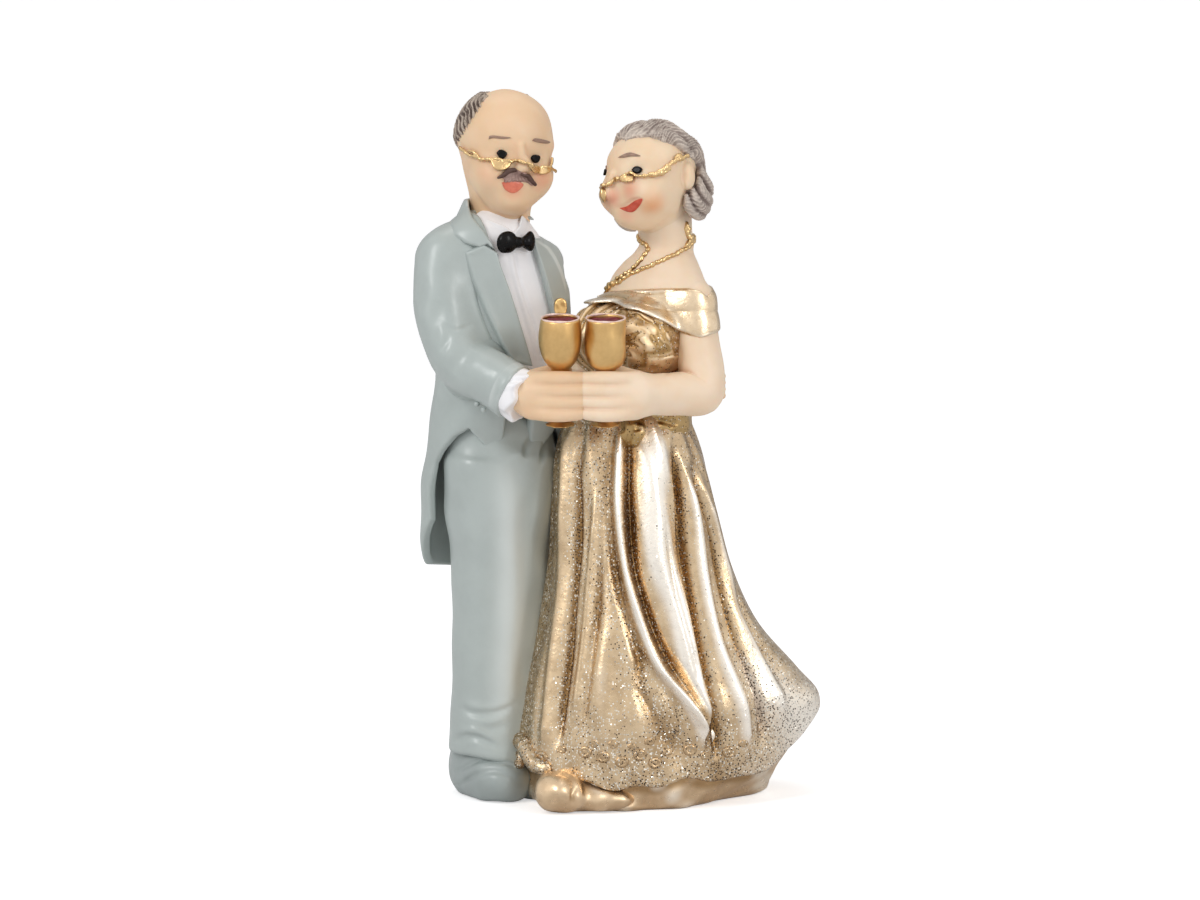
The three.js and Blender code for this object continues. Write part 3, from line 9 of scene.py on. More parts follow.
import bpy
import numpy as np
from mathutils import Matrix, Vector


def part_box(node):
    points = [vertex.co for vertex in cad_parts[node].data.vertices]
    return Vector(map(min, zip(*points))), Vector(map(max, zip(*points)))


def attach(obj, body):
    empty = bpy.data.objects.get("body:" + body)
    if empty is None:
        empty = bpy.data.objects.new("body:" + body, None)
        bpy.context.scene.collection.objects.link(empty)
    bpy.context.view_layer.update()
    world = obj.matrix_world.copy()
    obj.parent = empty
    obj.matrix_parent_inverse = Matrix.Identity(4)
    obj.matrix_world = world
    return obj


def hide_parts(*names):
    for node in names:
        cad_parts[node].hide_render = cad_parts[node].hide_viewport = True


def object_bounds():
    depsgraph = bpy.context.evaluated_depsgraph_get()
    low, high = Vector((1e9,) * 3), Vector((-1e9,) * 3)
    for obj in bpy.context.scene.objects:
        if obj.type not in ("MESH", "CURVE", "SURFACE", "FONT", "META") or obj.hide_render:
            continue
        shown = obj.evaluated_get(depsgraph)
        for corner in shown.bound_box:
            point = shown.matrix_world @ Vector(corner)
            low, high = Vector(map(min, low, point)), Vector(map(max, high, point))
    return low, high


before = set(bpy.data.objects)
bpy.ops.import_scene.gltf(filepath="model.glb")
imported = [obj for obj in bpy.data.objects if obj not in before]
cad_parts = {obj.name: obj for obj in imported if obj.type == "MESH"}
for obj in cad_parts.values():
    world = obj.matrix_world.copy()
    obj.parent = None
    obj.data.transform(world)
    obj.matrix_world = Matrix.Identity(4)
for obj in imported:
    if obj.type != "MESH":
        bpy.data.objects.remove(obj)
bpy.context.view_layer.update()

# The photograph's camera, in the couple's frame, and the size of the photograph in pixels
PHOTO_WIDTH = 1200
PHOTO_HEIGHT = 900
FOCAL_PIXELS = 4550
SENSOR = 36
ELEVATION = math.radians(6)
CAMERA_DISTANCE = 700
AIM = np.array([-1.92, 0, 53.98])
FORWARD = np.array([0, math.cos(ELEVATION), -math.sin(ELEVATION)])
UPWARD = np.array([0, math.sin(ELEVATION), math.cos(ELEVATION)])
EYE = AIM - FORWARD * CAMERA_DISTANCE
PIXELS_PER_MM = FOCAL_PIXELS / CAMERA_DISTANCE

# A line of sight is searched this many millimetres before and behind the aim, in so many steps
SIGHT_REACH = 35.0
SIGHT_STEPS = 90
# Each step is a share of the distance to the surface, which is first held between two limits
SIGHT_STRIDE = 0.6
SIGHT_LEAST = -1.0
SIGHT_MOST = 1.5

COARSENESS = 1.0
SMALLEST = 0.09
RIM_PITCH = 0.1
WIRE_PITCH = 0.11
SMALL = 0.12
WINE_PITCH = 0.13
HAIR_PITCH = 0.15
FINE = 0.16
HEAD_PITCH = 0.17
MEDIUM = 0.26

# The clay's grid is made of blocks so many cells wide, worked out so many at a time
BLOCK = 10
BATCH = 60
# What a field counts as far from its surface, in millimetres
FAR = 9.0
# A block may hold the surface within its half diagonal, with a share and some millimetres to spare
SPARE_SHARE = 1.3
SPARE = 0.7
# Hollows are looked for this far above a surface, and edges this far below it, in millimetres
HOLLOW_REACHES = (0.5, 1.0, 2.0)
EDGE_REACH = 0.35

# Where the figures, their heads and the goblets are, and how they turn, in degrees
MAN_AT = (-17.2, 2, 0)
MAN_TURN = 26
WOMAN_AT = (6, 1.5, 0)
WOMAN_TURN = -40
MAN_HEAD_AT = (-16.3, 0, 99.8)
MAN_HEAD_TURN = 24
MAN_HEAD_TILT = 4
WOMAN_HEAD_AT = (5.6, -0.3, 96.6)
WOMAN_HEAD_TURN = -44
WOMAN_HEAD_TILT = -9
MAN_GOBLET = (-7.9, -13.2)
WOMAN_GOBLET = (-1.1, -13.2)
TOAST_LEVEL = 63.7

# The couple's frame lies this far from the row's frame, which is in metres
goblet_low, goblet_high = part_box("man_goblet")
SHIFT = np.array(
    [
        (goblet_low.x + goblet_high.x) * 500 - MAN_GOBLET[0],
        (goblet_low.y + goblet_high.y) * 500 - MAN_GOBLET[1],
        0,
    ]
)

# Frames and paths


class Place:
    """A frame with a turn about Z, then a tilt about Y."""

    def __init__(self, at, turn, tilt=0):
        a, b = math.radians(turn), math.radians(tilt)
        about_z = np.array([[math.cos(a), -math.sin(a), 0], [math.sin(a), math.cos(a), 0], [0, 0, 1]])
        about_y = np.array([[math.cos(b), 0, math.sin(b)], [0, 1, 0], [-math.sin(b), 0, math.cos(b)]])
        self.axes = about_y @ about_z
        self.at = np.array(at, float)

    def local(self, p):
        return (p - self.at) @ self.axes

    def out(self, q):
        return np.atleast_2d(q) @ self.axes.T + self.at


MAN = Place(MAN_AT, MAN_TURN)
WOMAN = Place(WOMAN_AT, WOMAN_TURN)
MAN_HEAD = Place(MAN_HEAD_AT, MAN_HEAD_TURN, MAN_HEAD_TILT)
WOMAN_HEAD = Place(WOMAN_HEAD_AT, WOMAN_HEAD_TURN, WOMAN_HEAD_TILT)


def smoothed(rows, steps=8):
    """A smooth curve through the rows of a table, with steps between each two."""
    rows = np.array(rows, float)
    if len(rows) < 3:
        t = np.linspace(0, 1, steps + 1)[:, None]
        return rows[0] * (1 - t) + rows[1] * t
    padded = np.vstack([2 * rows[0] - rows[1], rows, 2 * rows[-1] - rows[-2]])
    parts = []
    for i in range(len(rows) - 1):
        a, b, c, d = padded[i : i + 4]
        t = np.linspace(0, 1, steps, endpoint=False)[:, None]
        parts.append(
            0.5 * (2 * b + (c - a) * t + (2 * a - 5 * b + 4 * c - d) * t**2 + (3 * b - a - 3 * c + d) * t**3)
        )
    return np.vstack([*parts, rows[-1:]])


# Fields


def melt(a, b, k):
    """Two bodies joined, with a soft fillet of size k between them."""
    h = np.maximum(k - np.abs(a - b), 0) / k
    return np.minimum(a, b) - h * h * k / 4


def melted(parts, k):
    """Many bodies joined, one after the other."""
    f, *others = parts
    for part in others:
        f = melt(f, part, k)
    return f


def both(a, b, k=0.3):
    """What two bodies share, with edges rounded by k."""
    return -melt(-a, -b, k)


def without(a, b, k=0.3):
    """The first body with the second cut off."""
    return -melt(-a, b, k)


def layer(body, rise, depth, k):
    """What lies over a body, from a depth inside it up to a rise above it."""
    return both(body - rise, -body - depth, k)


def length(v):
    return np.sqrt(np.einsum("ij,ij->i", v, v))


def unit(v):
    return v / np.linalg.norm(v)


def oval(p, at, size):
    q = (p - np.asarray(at)) / np.asarray(size)
    k0 = length(q)
    k1 = length(q / np.asarray(size))
    return k0 * (k0 - 1) / np.maximum(k1, 1e-6)


def nearest(p, path):
    """The distance to a path and how far along it the nearest point is, from 0 to 1."""
    path = np.asarray(path, float)
    best = np.full(len(p), 1e9)
    along = np.zeros(len(p))
    count = len(path) - 1
    for i in range(count):
        ab = path[i + 1] - path[i]
        h = np.clip(((p - path[i]) @ ab) / max(ab @ ab, 1e-9), 0, 1)
        d = length(p - path[i] - h[:, None] * ab)
        closer = d < best
        best = np.where(closer, d, best)
        along = np.where(closer, (i + h) / count, along)
    return best, along


def rod(p, path, radii):
    """A tube through points, its radius following a row of values."""
    d, along = nearest(p, path)
    return d - np.interp(along, np.linspace(0, 1, len(radii)), radii)


def groove(p, path, width, depth, taper=True):
    """How deep a soft groove along a path is at each point. Added to a field, it cuts in."""
    path = np.asarray(path, float)
    reach = 2.6 * width
    close = np.all((p > path.min(0) - reach) & (p < path.max(0) + reach), axis=1)
    depths = np.zeros(len(p))
    if close.any():
        d, along = nearest(p[close], path)
        ends = np.sin(np.pi * np.clip(along, 0.02, 0.98)) ** 0.5 if taper else 1
        depths[close] = depth * ends * np.exp(-((d / width) ** 2))
    return depths


class Loft:
    """An upright body through oval sections: rows of height, half width, half depth, centre x, centre y."""

    def __init__(self, rows, round_ends=1.0):
        table = smoothed(rows, 24)
        order = np.argsort(table[:, 0], kind="stable")
        self.table = table[order]
        self.round_ends = round_ends

    def sizes(self, z):
        return [np.interp(z, self.table[:, 0], self.table[:, i]) for i in range(1, 5)]

    def side(self, p):
        half_x, half_y, x, y = self.sizes(p[:, 2])
        q = np.stack([(p[:, 0] - x) / half_x, (p[:, 1] - y) / half_y], 1)
        k0 = length(q)
        k1 = length(q / np.stack([half_x, half_y], 1))
        return k0 * (k0 - 1) / np.maximum(k1, 1e-6)

    def __call__(self, p):
        ends = np.maximum(p[:, 2] - self.table[-1, 0], self.table[0, 0] - p[:, 2])
        return both(self.side(p), ends, self.round_ends)


def wrapped(angle):
    """An angle in radians, brought between -pi and pi."""
    return np.arctan2(np.sin(angle), np.cos(angle))


def outline_distance(u, v, outline):
    """The distance in a plane to a closed outline, negative inside it."""
    outline = np.asarray(outline, float)
    best = np.full(len(u), 1e9)
    inside = np.zeros(len(u), bool)
    for a, b in zip(outline, np.roll(outline, -1, 0)):
        e = b - a
        h = np.clip(((u - a[0]) * e[0] + (v - a[1]) * e[1]) / max(e @ e, 1e-9), 0, 1)
        best = np.minimum(best, np.hypot(u - a[0] - h * e[0], v - a[1] - h * e[1]))
        crosses = (a[1] > v) != (b[1] > v)
        rise = np.where(crosses, b[1] - a[1], 1)
        inside ^= crosses & (u < a[0] + (v - a[1]) * e[0] / rise)
    return np.where(inside, -best, best)


def unevenness(p, wave, size):
    """The slight unevenness of a hand-finished cast."""
    a, b, c = (p * (2 * np.pi / wave)).T
    broad = np.sin(a + 1.3 * np.sin(0.7 * b + 1)) * np.sin(0.9 * b + 1.7 * np.sin(0.6 * c))
    return size * (broad + 0.6 * np.sin(1.1 * c + a * 0.7))


# Clay: from a field to a mesh


def clay(field, low, high, pitch):
    """The net over the surface where a field is zero, as points and quads."""
    low = np.asarray(low, float) - 2 * pitch
    counts = np.ceil((np.asarray(high, float) + 2 * pitch - low) / (pitch * BLOCK)).astype(int)
    points, quads = net_over(sampled(field, low, counts, pitch))
    points = low + points * pitch
    for _ in range(2):
        f = field(points)
        slope = gradient(field, points, pitch * 0.4)
        step = f / np.maximum(np.einsum("ij,ij->i", slope, slope), 0.25)
        points -= np.clip(step, -0.4 * pitch, 0.4 * pitch)[:, None] * slope
    return points, quads


def sampled(field, low, counts, pitch):
    """A field's values on a grid. Only the blocks that its surface may pass are worked out."""
    values = np.full(counts * BLOCK + 1, FAR, np.float32)
    cells = np.stack(np.meshgrid(*[np.arange(n) for n in counts], indexing="ij"), -1).reshape(-1, 3)
    distance = field(low + (cells + 0.5) * BLOCK * pitch)
    reach = BLOCK * pitch * 0.5 * math.sqrt(3) * SPARE_SHARE + SPARE
    for cell in cells[distance < -reach]:
        i, j, k = cell * BLOCK
        values[i : i + BLOCK + 1, j : j + BLOCK + 1, k : k + BLOCK + 1] = -FAR
    close = cells[np.abs(distance) <= reach]
    steps = np.stack(np.meshgrid(*[np.arange(BLOCK + 1)] * 3, indexing="ij"), -1).reshape(-1, 3)
    for start in range(0, len(close), BATCH):
        part = close[start : start + BATCH]
        index = (part[:, None, :] * BLOCK + steps[None]).reshape(-1, 3)
        found = field(low + index * pitch).astype(np.float32)
        values[index[:, 0], index[:, 1], index[:, 2]] = found
    return values


def gradient(field, p, reach):
    slopes = []
    for axis in np.eye(3):
        slopes.append((field(p + axis * reach) - field(p - axis * reach)) / (2 * reach))
    return np.stack(slopes, 1)


def net_over(values):
    """One point in each cell that the surface passes, and a quad over each grid edge that it crosses."""
    shape = np.array(values.shape)
    cell_shape = shape - 1
    total = np.zeros((int(np.prod(cell_shape)), 3), np.float32)
    hits = np.zeros(int(np.prod(cell_shape)), np.int32)
    edges = []
    for axis in range(3):
        first = [slice(None)] * 3
        second = [slice(None)] * 3
        first[axis] = slice(0, -1)
        second[axis] = slice(1, None)
        a, b = values[tuple(first)], values[tuple(second)]
        at = np.argwhere((a < 0) != (b < 0))
        va, vb = a[tuple(at.T)], b[tuple(at.T)]
        point = at.astype(np.float32)
        point[:, axis] += va / (va - vb)
        u, v = [(axis + 1) % 3, (axis + 2) % 3]
        inner = (at[:, u] > 0) & (at[:, v] > 0) & (at[:, u] < cell_shape[u]) & (at[:, v] < cell_shape[v])
        at, point, va = at[inner], point[inner], va[inner]
        corners = []
        for du, dv in ((-1, -1), (0, -1), (0, 0), (-1, 0)):
            cell = at.copy()
            cell[:, u] += du
            cell[:, v] += dv
            flat = np.ravel_multi_index(cell.T, cell_shape)
            for i in range(3):
                total[:, i] += np.bincount(flat, point[:, i], len(total)).astype(np.float32)
            hits += np.bincount(flat, minlength=len(hits)).astype(np.int32)
            corners.append(flat)
        quad = np.stack(corners, 1)
        quad[va > 0] = quad[va > 0][:, ::-1]
        edges.append(quad)
    quads = np.vstack(edges)
    used = np.flatnonzero(hits)
    number = np.zeros(len(hits), np.int64)
    number[used] = np.arange(len(used))
    return total[used] / hits[used][:, None], number[quads]


def corner_normals(points, quads):
    a, b, c, d = [points[quads[:, i]] for i in range(4)]
    face = np.cross(c - a, d - b)
    normals = np.zeros_like(points)
    for i in range(4):
        for k in range(3):
            normals[:, k] += np.bincount(quads[:, i], face[:, k], len(points))
    return normals / np.maximum(length(normals), 1e-12)[:, None]


def new_object(name, data):
    thing = bpy.data.objects.new(name, data)
    bpy.context.scene.collection.objects.link(thing)
    return thing


def add_marks(mesh, marks):
    """Named values on a mesh's points, which its paint reads."""
    for mark, values in marks.items():
        layer = mesh.attributes.new(mark, "FLOAT", "POINT")
        layer.data.foreach_set("value", np.asarray(values, np.float32))


def mesh_object(name, points, quads, marks):
    """An object from points in millimetres and quads, with marks on its points."""
    mesh = bpy.data.meshes.new(name)
    mesh.vertices.add(len(points))
    mesh.vertices.foreach_set("co", ((points + SHIFT) / 1000).astype(np.float32).ravel())
    mesh.loops.add(quads.size)
    mesh.loops.foreach_set("vertex_index", quads.astype(np.int32).ravel())
    mesh.polygons.add(len(quads))
    mesh.polygons.foreach_set("loop_start", np.arange(0, quads.size, 4, dtype=np.int32))
    mesh.polygons.foreach_set("use_smooth", np.ones(len(quads), bool))
    add_marks(mesh, marks)
    mesh.update(calc_edges=True)
    mesh.validate()
    return new_object(name, mesh)


def sculpt(name, field, low, high, pitch, paint, nodes, marks=None):
    """A piece from a field. Its marks say how hollow and how sharp the surface is at each point, which the
    paints turn into painted shade and painted highlight.
    """
    points, quads = clay(field, low, high, pitch * COARSENESS)
    normals = corner_normals(points, quads)
    hollow = np.zeros(len(points))
    for reach in HOLLOW_REACHES:
        hollow += np.clip((reach - field(points + normals * reach)) / reach, 0, 1) / len(HOLLOW_REACHES)
    edge = np.clip((EDGE_REACH + field(points - normals * EDGE_REACH)) / EDGE_REACH, 0, 1)
    found = {"hollow": hollow, "edge": edge}
    if marks:
        found.update(marks(points))
    finish_piece(mesh_object(name, points, quads, found), paint, nodes)


def finish_piece(piece, paint, nodes):
    """Gives a piece its material and its place on the body, and hides the solids it stands for."""
    material, slot = paint
    piece.data.materials.append(material)
    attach(piece, "root")
    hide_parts(*nodes)


def box_round(points, margin):
    """The low and the high corner of a box round points."""
    return points.min(0) - margin, points.max(0) + margin


# From the photograph's pixels to the sculpture


def seen(field, pixels):
    """The points of a surface that the camera sees at pixels, or that the line of sight passes nearest."""
    pixels = np.atleast_2d(np.asarray(pixels, float))
    way = FORWARD * FOCAL_PIXELS + np.outer(PHOTO_HEIGHT / 2 - pixels[:, 1], UPWARD)
    way[:, 0] += pixels[:, 0] - PHOTO_WIDTH / 2
    way /= length(way)[:, None]
    along = np.full(len(pixels), CAMERA_DISTANCE - SIGHT_REACH)
    best = np.full(len(pixels), 1e9)
    best_along = along.copy()
    for _ in range(SIGHT_STEPS):
        f = field(EYE + way * along[:, None])
        closer = np.abs(f) < best
        best = np.where(closer, np.abs(f), best)
        best_along = np.where(closer, along, best_along)
        along = along + np.clip(f, SIGHT_LEAST, SIGHT_MOST) * SIGHT_STRIDE
        along = np.minimum(along, CAMERA_DISTANCE + SIGHT_REACH)
    return EYE + way * best_along[:, None]


def line_on(field, pixels, steps=5):
    """A smooth line over a surface, through pixels."""
    return smoothed(seen(field, pixels), steps)


def lines_on(field, table):
    """The lines over a surface of a table of pixels, width and depth."""
    return [(line_on(field, pixels), width, depth) for pixels, width, depth in table]


def grooved(f, p, lines):
    """A field with a groove cut in along each line."""
    for line, width, depth in lines:
        f = f + groove(p, line, width, depth)
    return f


def in_view(p, outline):
    """The distance in millimetres to an outline of pixels, as the camera sees it."""
    away = p - EYE
    share = FOCAL_PIXELS / (away @ FORWARD)
    u = PHOTO_WIDTH / 2 + away[:, 0] * share
    v = PHOTO_HEIGHT / 2 - (away @ UPWARD) * share
    return outline_distance(u, v, outline) / PIXELS_PER_MM


# Materials


class Nodes:
    """A material's nodes, made and joined in few words."""

    def __init__(self, name):
        self.material = bpy.data.materials.new(name)
        self.material.use_nodes = True
        self.tree = self.material.node_tree
        self.tree.nodes.clear()
        self.out = self.tree.nodes.new("ShaderNodeOutputMaterial")
        self.shader = self.tree.nodes.new("ShaderNodeBsdfPrincipled")
        self.tree.links.new(self.shader.outputs[0], self.out.inputs["Surface"])
        self.place = self.tree.nodes.new("ShaderNodeTexCoord").outputs["Object"]

    def link(self, source, target):
        self.tree.links.new(source, target)

    def fill(self, socket, value):
        if isinstance(value, bpy.types.NodeSocket):
            self.tree.links.new(value, socket)
        else:
            socket.default_value = value

    def math(self, operation, *values):
        node = self.tree.nodes.new("ShaderNodeMath")
        node.operation = operation
        for socket, value in zip(node.inputs, values):
            self.fill(socket, value)
        return node.outputs[0]

    def vector(self, operation, *values):
        node = self.tree.nodes.new("ShaderNodeVectorMath")
        node.operation = operation
        for socket, value in zip(node.inputs, values):
            self.fill(socket, value)
        return node

    def ramp(self, value, low, high, out_low=0.0, out_high=1.0):
        """A soft step from one value to another."""
        node = self.tree.nodes.new("ShaderNodeMapRange")
        node.interpolation_type = "SMOOTHSTEP"
        for socket, given in zip(node.inputs, (value, low, high, out_low, out_high)):
            self.fill(socket, given)
        return node.outputs[0]

    def mix(self, share, a, b):
        node = self.tree.nodes.new("ShaderNodeMix")
        node.data_type = "RGBA"
        self.fill(node.inputs[0], share)
        for socket, colour in ((node.inputs[6], a), (node.inputs[7], b)):
            self.fill(socket, (*colour, 1) if isinstance(colour, tuple) else colour)
        return node.outputs[2]

    def noise(self, size, detail=3.0, rough=0.5, stretch=None):
        """Soft noise from 0 to 1 whose features are size millimetres wide."""
        node = self.tree.nodes.new("ShaderNodeTexNoise")
        node.inputs["Scale"].default_value = 1000 / size
        node.inputs["Detail"].default_value = detail
        node.inputs["Roughness"].default_value = rough
        source = self.place
        if stretch:
            mapping = self.tree.nodes.new("ShaderNodeMapping")
            mapping.inputs["Scale"].default_value = stretch
            self.link(source, mapping.inputs["Vector"])
            source = mapping.outputs[0]
        self.link(source, node.inputs["Vector"])
        return node.outputs["Fac"]

    def mark(self, name):
        node = self.tree.nodes.new("ShaderNodeAttribute")
        node.attribute_name = name
        return node.outputs["Fac"]

    def near(self, point, low, high):
        """1 within low millimetres of a point of the couple's frame, and 0 beyond high."""
        there = tuple((np.asarray(point) + SHIFT) / 1000)
        distance = self.vector("DISTANCE", self.place, there).outputs["Value"]
        return self.ramp(distance, low / 1000, high / 1000, 1.0, 0.0)

    def bump(self, height, depth):
        """Relief of some depth in millimetres."""
        node = self.tree.nodes.new("ShaderNodeBump")
        node.inputs["Strength"].default_value = 1
        node.inputs["Distance"].default_value = depth / 1000
        self.fill(node.inputs["Height"], height)
        return node.outputs[0]

    def set(self, **values):
        """Fills the shader's sockets, whose names are written with _ for a space."""
        for key, value in values.items():
            name = key.replace("_", " ")
            if isinstance(value, tuple) and len(value) == 3 and "Radius" not in name:
                value = (*value, 1)
            self.fill(self.shader.inputs[name], value)
        return self.material


def srgb(r, g, b):
    """A colour given as it looks on screen, from 0 to 255."""
    return tuple(c / 255 / 12.92 if c <= 10 else ((c / 255 + 0.055) / 1.055) ** 2.4 for c in (r, g, b))


def lowered(colour, red, green, blue):
    """A colour whose red, green and blue are shares of what they were."""
    return (colour[0] * red, colour[1] * green, colour[2] * blue)


def cloth_paint(name, light, dark, roughness=0.36):
    """Satin paint over smooth resin: slightly mottled, with painted shade in its hollows, its sharp edges
    lighter as wear and as a painted highlight, and painted highlights where marked.
    """
    n = Nodes(name)
    mottled = n.mix(n.ramp(n.noise(5, 4, 0.6), 0.35, 0.7), light, lowered(light, 0.94, 0.94, 0.94))
    # Painted shade: darker in the hollows.
    shaded = n.mix(n.ramp(n.mark("hollow"), 0.12, 0.75, 0.0, 0.75), mottled, dark)
    # Sharp edges lighter, as wear and as a painted highlight; then a painted highlight where a band is
    # marked for one.
    wear_and_highlight = n.mix(n.ramp(n.mark("edge"), 0.3, 0.9, 0.0, 0.35), shaded, srgb(232, 236, 234))
    wear_and_highlight = n.mix(n.ramp(n.mark("pale"), 0.0, 1.0, 0.0, 0.55), wear_and_highlight, srgb(226, 231, 228))
    grain = n.noise(0.5, 3, 0.6)
    rough = n.ramp(n.noise(1.6, 3, 0.6), 0.3, 0.7, roughness - 0.05, roughness + 0.09)
    return n.set(
        Base_Color=wear_and_highlight,
        Roughness=rough,
        Coat_Weight=0.18,
        Coat_Roughness=0.22,
        Normal=n.bump(grain, 0.012),
    )


def skin_paint(name, base, blushes=()):
    """Waxy flesh-toned resin, with blush brushed on."""
    n = Nodes(name)
    tone = n.mix(n.ramp(n.noise(6, 3, 0.5), 0.35, 0.65), base, lowered(base, 0.97, 0.93, 0.88))
    # Painted shade: darker, warmer skin in the hollows.
    tone = n.mix(n.ramp(n.mark("hollow"), 0.1, 0.7, 0.0, 0.6), tone, lowered(base, 0.72, 0.5, 0.36))
    for point, reach, strength, colour in blushes:
        share = n.math("MULTIPLY", n.near(point, 0, reach), strength)
        tone = n.mix(share, tone, colour)
    return n.set(
        Base_Color=tone,
        Roughness=n.ramp(n.noise(1.2, 3, 0.6), 0.3, 0.7, 0.42, 0.54),
        Subsurface_Weight=0.22,
        Subsurface_Radius=(1.0, 0.45, 0.25),
        Subsurface_Scale=0.0016,
        Specular_IOR_Level=0.4,
        Normal=n.bump(n.noise(0.4, 3, 0.6), 0.008),
    )


def hair_paint(name, light, dark, strength=1.0):
    n = Nodes(name)
    strands = n.noise(0.6, 3, 0.55, stretch=(1.0, 1.0, 2.2))
    tone = n.mix(n.ramp(strands, 0.3, 0.7), light, lowered(light, 0.72, 0.72, 0.72))
    # Painted shade: darker in the hollows between locks and strands.
    tone = n.mix(n.ramp(n.mark("hollow"), 0.12, 0.5, 0.0, strength), tone, dark)
    return n.set(Base_Color=tone, Roughness=0.5, Specular_IOR_Level=0.35, Normal=n.bump(strands, 0.03))


def gloss_paint(name, light, dark, roughness, coat, metallic=0.0, shine=0.5):
    """Enamel: slightly cloudy in colour, with the faint waves of a brushed coat."""
    n = Nodes(name)
    clouds = n.noise(0.8, 3, 0.6)
    return n.set(
        Base_Color=n.mix(n.ramp(clouds, 0.3, 0.7), light, dark),
        Roughness=n.ramp(n.noise(0.5, 3, 0.6), 0.3, 0.7, roughness, roughness + 0.1),
        Coat_Weight=coat,
        Specular_IOR_Level=shine,
        Metallic=metallic,
        Normal=n.bump(clouds, 0.015),
    )


PALE_FLAKE = (1.0, 0.96, 0.86)
DARK_FLAKE = (0.05, 0.025, 0.01)
HIS_FLESH = (0.86, 0.62, 0.41)
HER_FLESH = (0.90, 0.70, 0.50)


def glittered(n, glitter, tone, metallic, rough, normal):
    """A paint's colour, metal, roughness and normal with flakes strewn over it, each tilted its own way."""
    size, share, tilt = glitter
    cells = n.tree.nodes.new("ShaderNodeTexVoronoi")
    cells.inputs["Scale"].default_value = 1000 / size
    cells.inputs["Randomness"].default_value = 1
    n.link(n.place, cells.inputs["Vector"])
    parts = n.tree.nodes.new("ShaderNodeSeparateColor")
    n.link(cells.outputs["Color"], parts.inputs[0])
    chosen = n.math("LESS_THAN", parts.outputs[0], n.math("MULTIPLY", n.mark("glitter"), share))
    flake = n.math("MULTIPLY", chosen, n.math("LESS_THAN", cells.outputs["Distance"], 0.42))
    away = n.vector("SUBTRACT", cells.outputs["Color"], (0.5, 0.5, 0.5))
    scaled = n.vector("SCALE", away.outputs[0])
    n.fill(scaled.inputs["Scale"], n.math("MULTIPLY", flake, tilt))
    tilted = n.vector("ADD", normal, scaled.outputs[0])
    dark = n.math("LESS_THAN", parts.outputs[1], n.mark("fleck"))
    tone = n.mix(flake, tone, n.mix(dark, PALE_FLAKE, DARK_FLAKE))
    rough = n.math("MAXIMUM", n.math("SUBTRACT", rough, n.math("MULTIPLY", flake, 0.25)), 0.12)
    metallic = n.math("SUBTRACT", metallic, n.math("MULTIPLY", flake, 0.75))
    return tone, metallic, rough, n.vector("NORMALIZE", tilted.outputs[0]).outputs[0]


def gold_paint(
    name, bright, deep, roughness, rough_more=0.12, brushed=0.03, metallic=1.0, glitter=None, wear_and_highlight=None
):
    """Metallic paint, with painted shade deepening the hollows and a painted highlight making the edges
    paler.

    Glitter is (flake size, share of flakes, tilt), with sizes in mm.
    """
    n = Nodes(name)
    cloudy = n.ramp(n.noise(2.4, 4, 0.6), 0.3, 0.72)
    tone = n.mix(cloudy, bright, tuple(a * 0.65 + b * 0.35 for a, b in zip(bright, deep)))
    if glitter:
        # Deeper where dark flakes are marked; on the gown that mark is raised in the fold valleys, partly as
        # painted shade.
        tone = n.mix(n.ramp(n.mark("fleck"), 0.3, 1.0, 0.0, 0.7), tone, deep)
    # Painted shade: deeper in the hollows.
    tone = n.mix(n.ramp(n.mark("hollow"), 0.08, 0.55, 0.0, 0.92), tone, deep)
    # Painted highlight: paler on edges and ridges.
    if wear_and_highlight:
        tone = n.mix(n.ramp(n.mark("edge"), 0.1, 0.9, 0.0, 0.85), tone, wear_and_highlight)
    rough = n.ramp(n.noise(0.9, 4, 0.6), 0.3, 0.7, roughness, roughness + rough_more)
    normal = n.bump(n.noise(0.55, 4, 0.65), brushed)
    if glitter:
        tone, metallic, rough, normal = glittered(n, glitter, tone, metallic, rough, normal)
    return n.set(Base_Color=tone, Metallic=metallic, Roughness=rough, Normal=normal)


# Each paint is a material and the slot of the pieces that wear it. A cloth or hair paint's second colour is
# its painted shade in the hollows; a gold paint's second colour is its deeper, cloudy tone and its painted
# shade.
# The coat's grey satin made darker for the shoes: painted shade.
SHADED_SHOE_GREY = (cloth_paint("shaded_shoe_paint", srgb(163, 172, 170), srgb(104, 114, 112)), "grey_satin")
GREY = (cloth_paint("grey_satin_paint", srgb(179, 188, 185), srgb(120, 132, 128)), "grey_satin")
WHITE = (cloth_paint("white_satin_paint", srgb(252, 251, 253), srgb(216, 212, 218), 0.34), "white_satin")
BLACK = (
    gloss_paint("black_enamel", (0.003, 0.003, 0.003), (0.006, 0.005, 0.005), 0.2, 0.0, shine=0.13),
    "black_gloss",
)
LIPS = (gloss_paint("coral_paint", srgb(226, 124, 96), srgb(212, 104, 78), 0.32, 0.2), "lips")
WINE = (gloss_paint("wine_paint", srgb(122, 26, 46), srgb(84, 6, 26), 0.4, 0.0, shine=0.25), "wine")
BROW = (hair_paint("brow_paint", srgb(166, 136, 118), srgb(140, 110, 94), 0.5), "grey_hair")
MOUSTACHE = (hair_paint("moustache_paint", srgb(182, 150, 140), srgb(120, 88, 80), 0.6), "grey_hair")
DARK_HAIR = (hair_paint("dark_hair_paint", srgb(92, 66, 58), srgb(50, 32, 28)), "grey_hair")
RED_LIPS = (gloss_paint("red_lip_paint", srgb(212, 92, 68), srgb(192, 66, 46), 0.3, 0.2), "lips")
MAN_HAIR = (hair_paint("man_hair_paint", srgb(198, 182, 166), srgb(98, 80, 72), 0.9), "grey_hair")
WOMAN_HAIR = (hair_paint("woman_hair_paint", srgb(232, 218, 204), srgb(122, 104, 98), 0.85), "grey_hair")
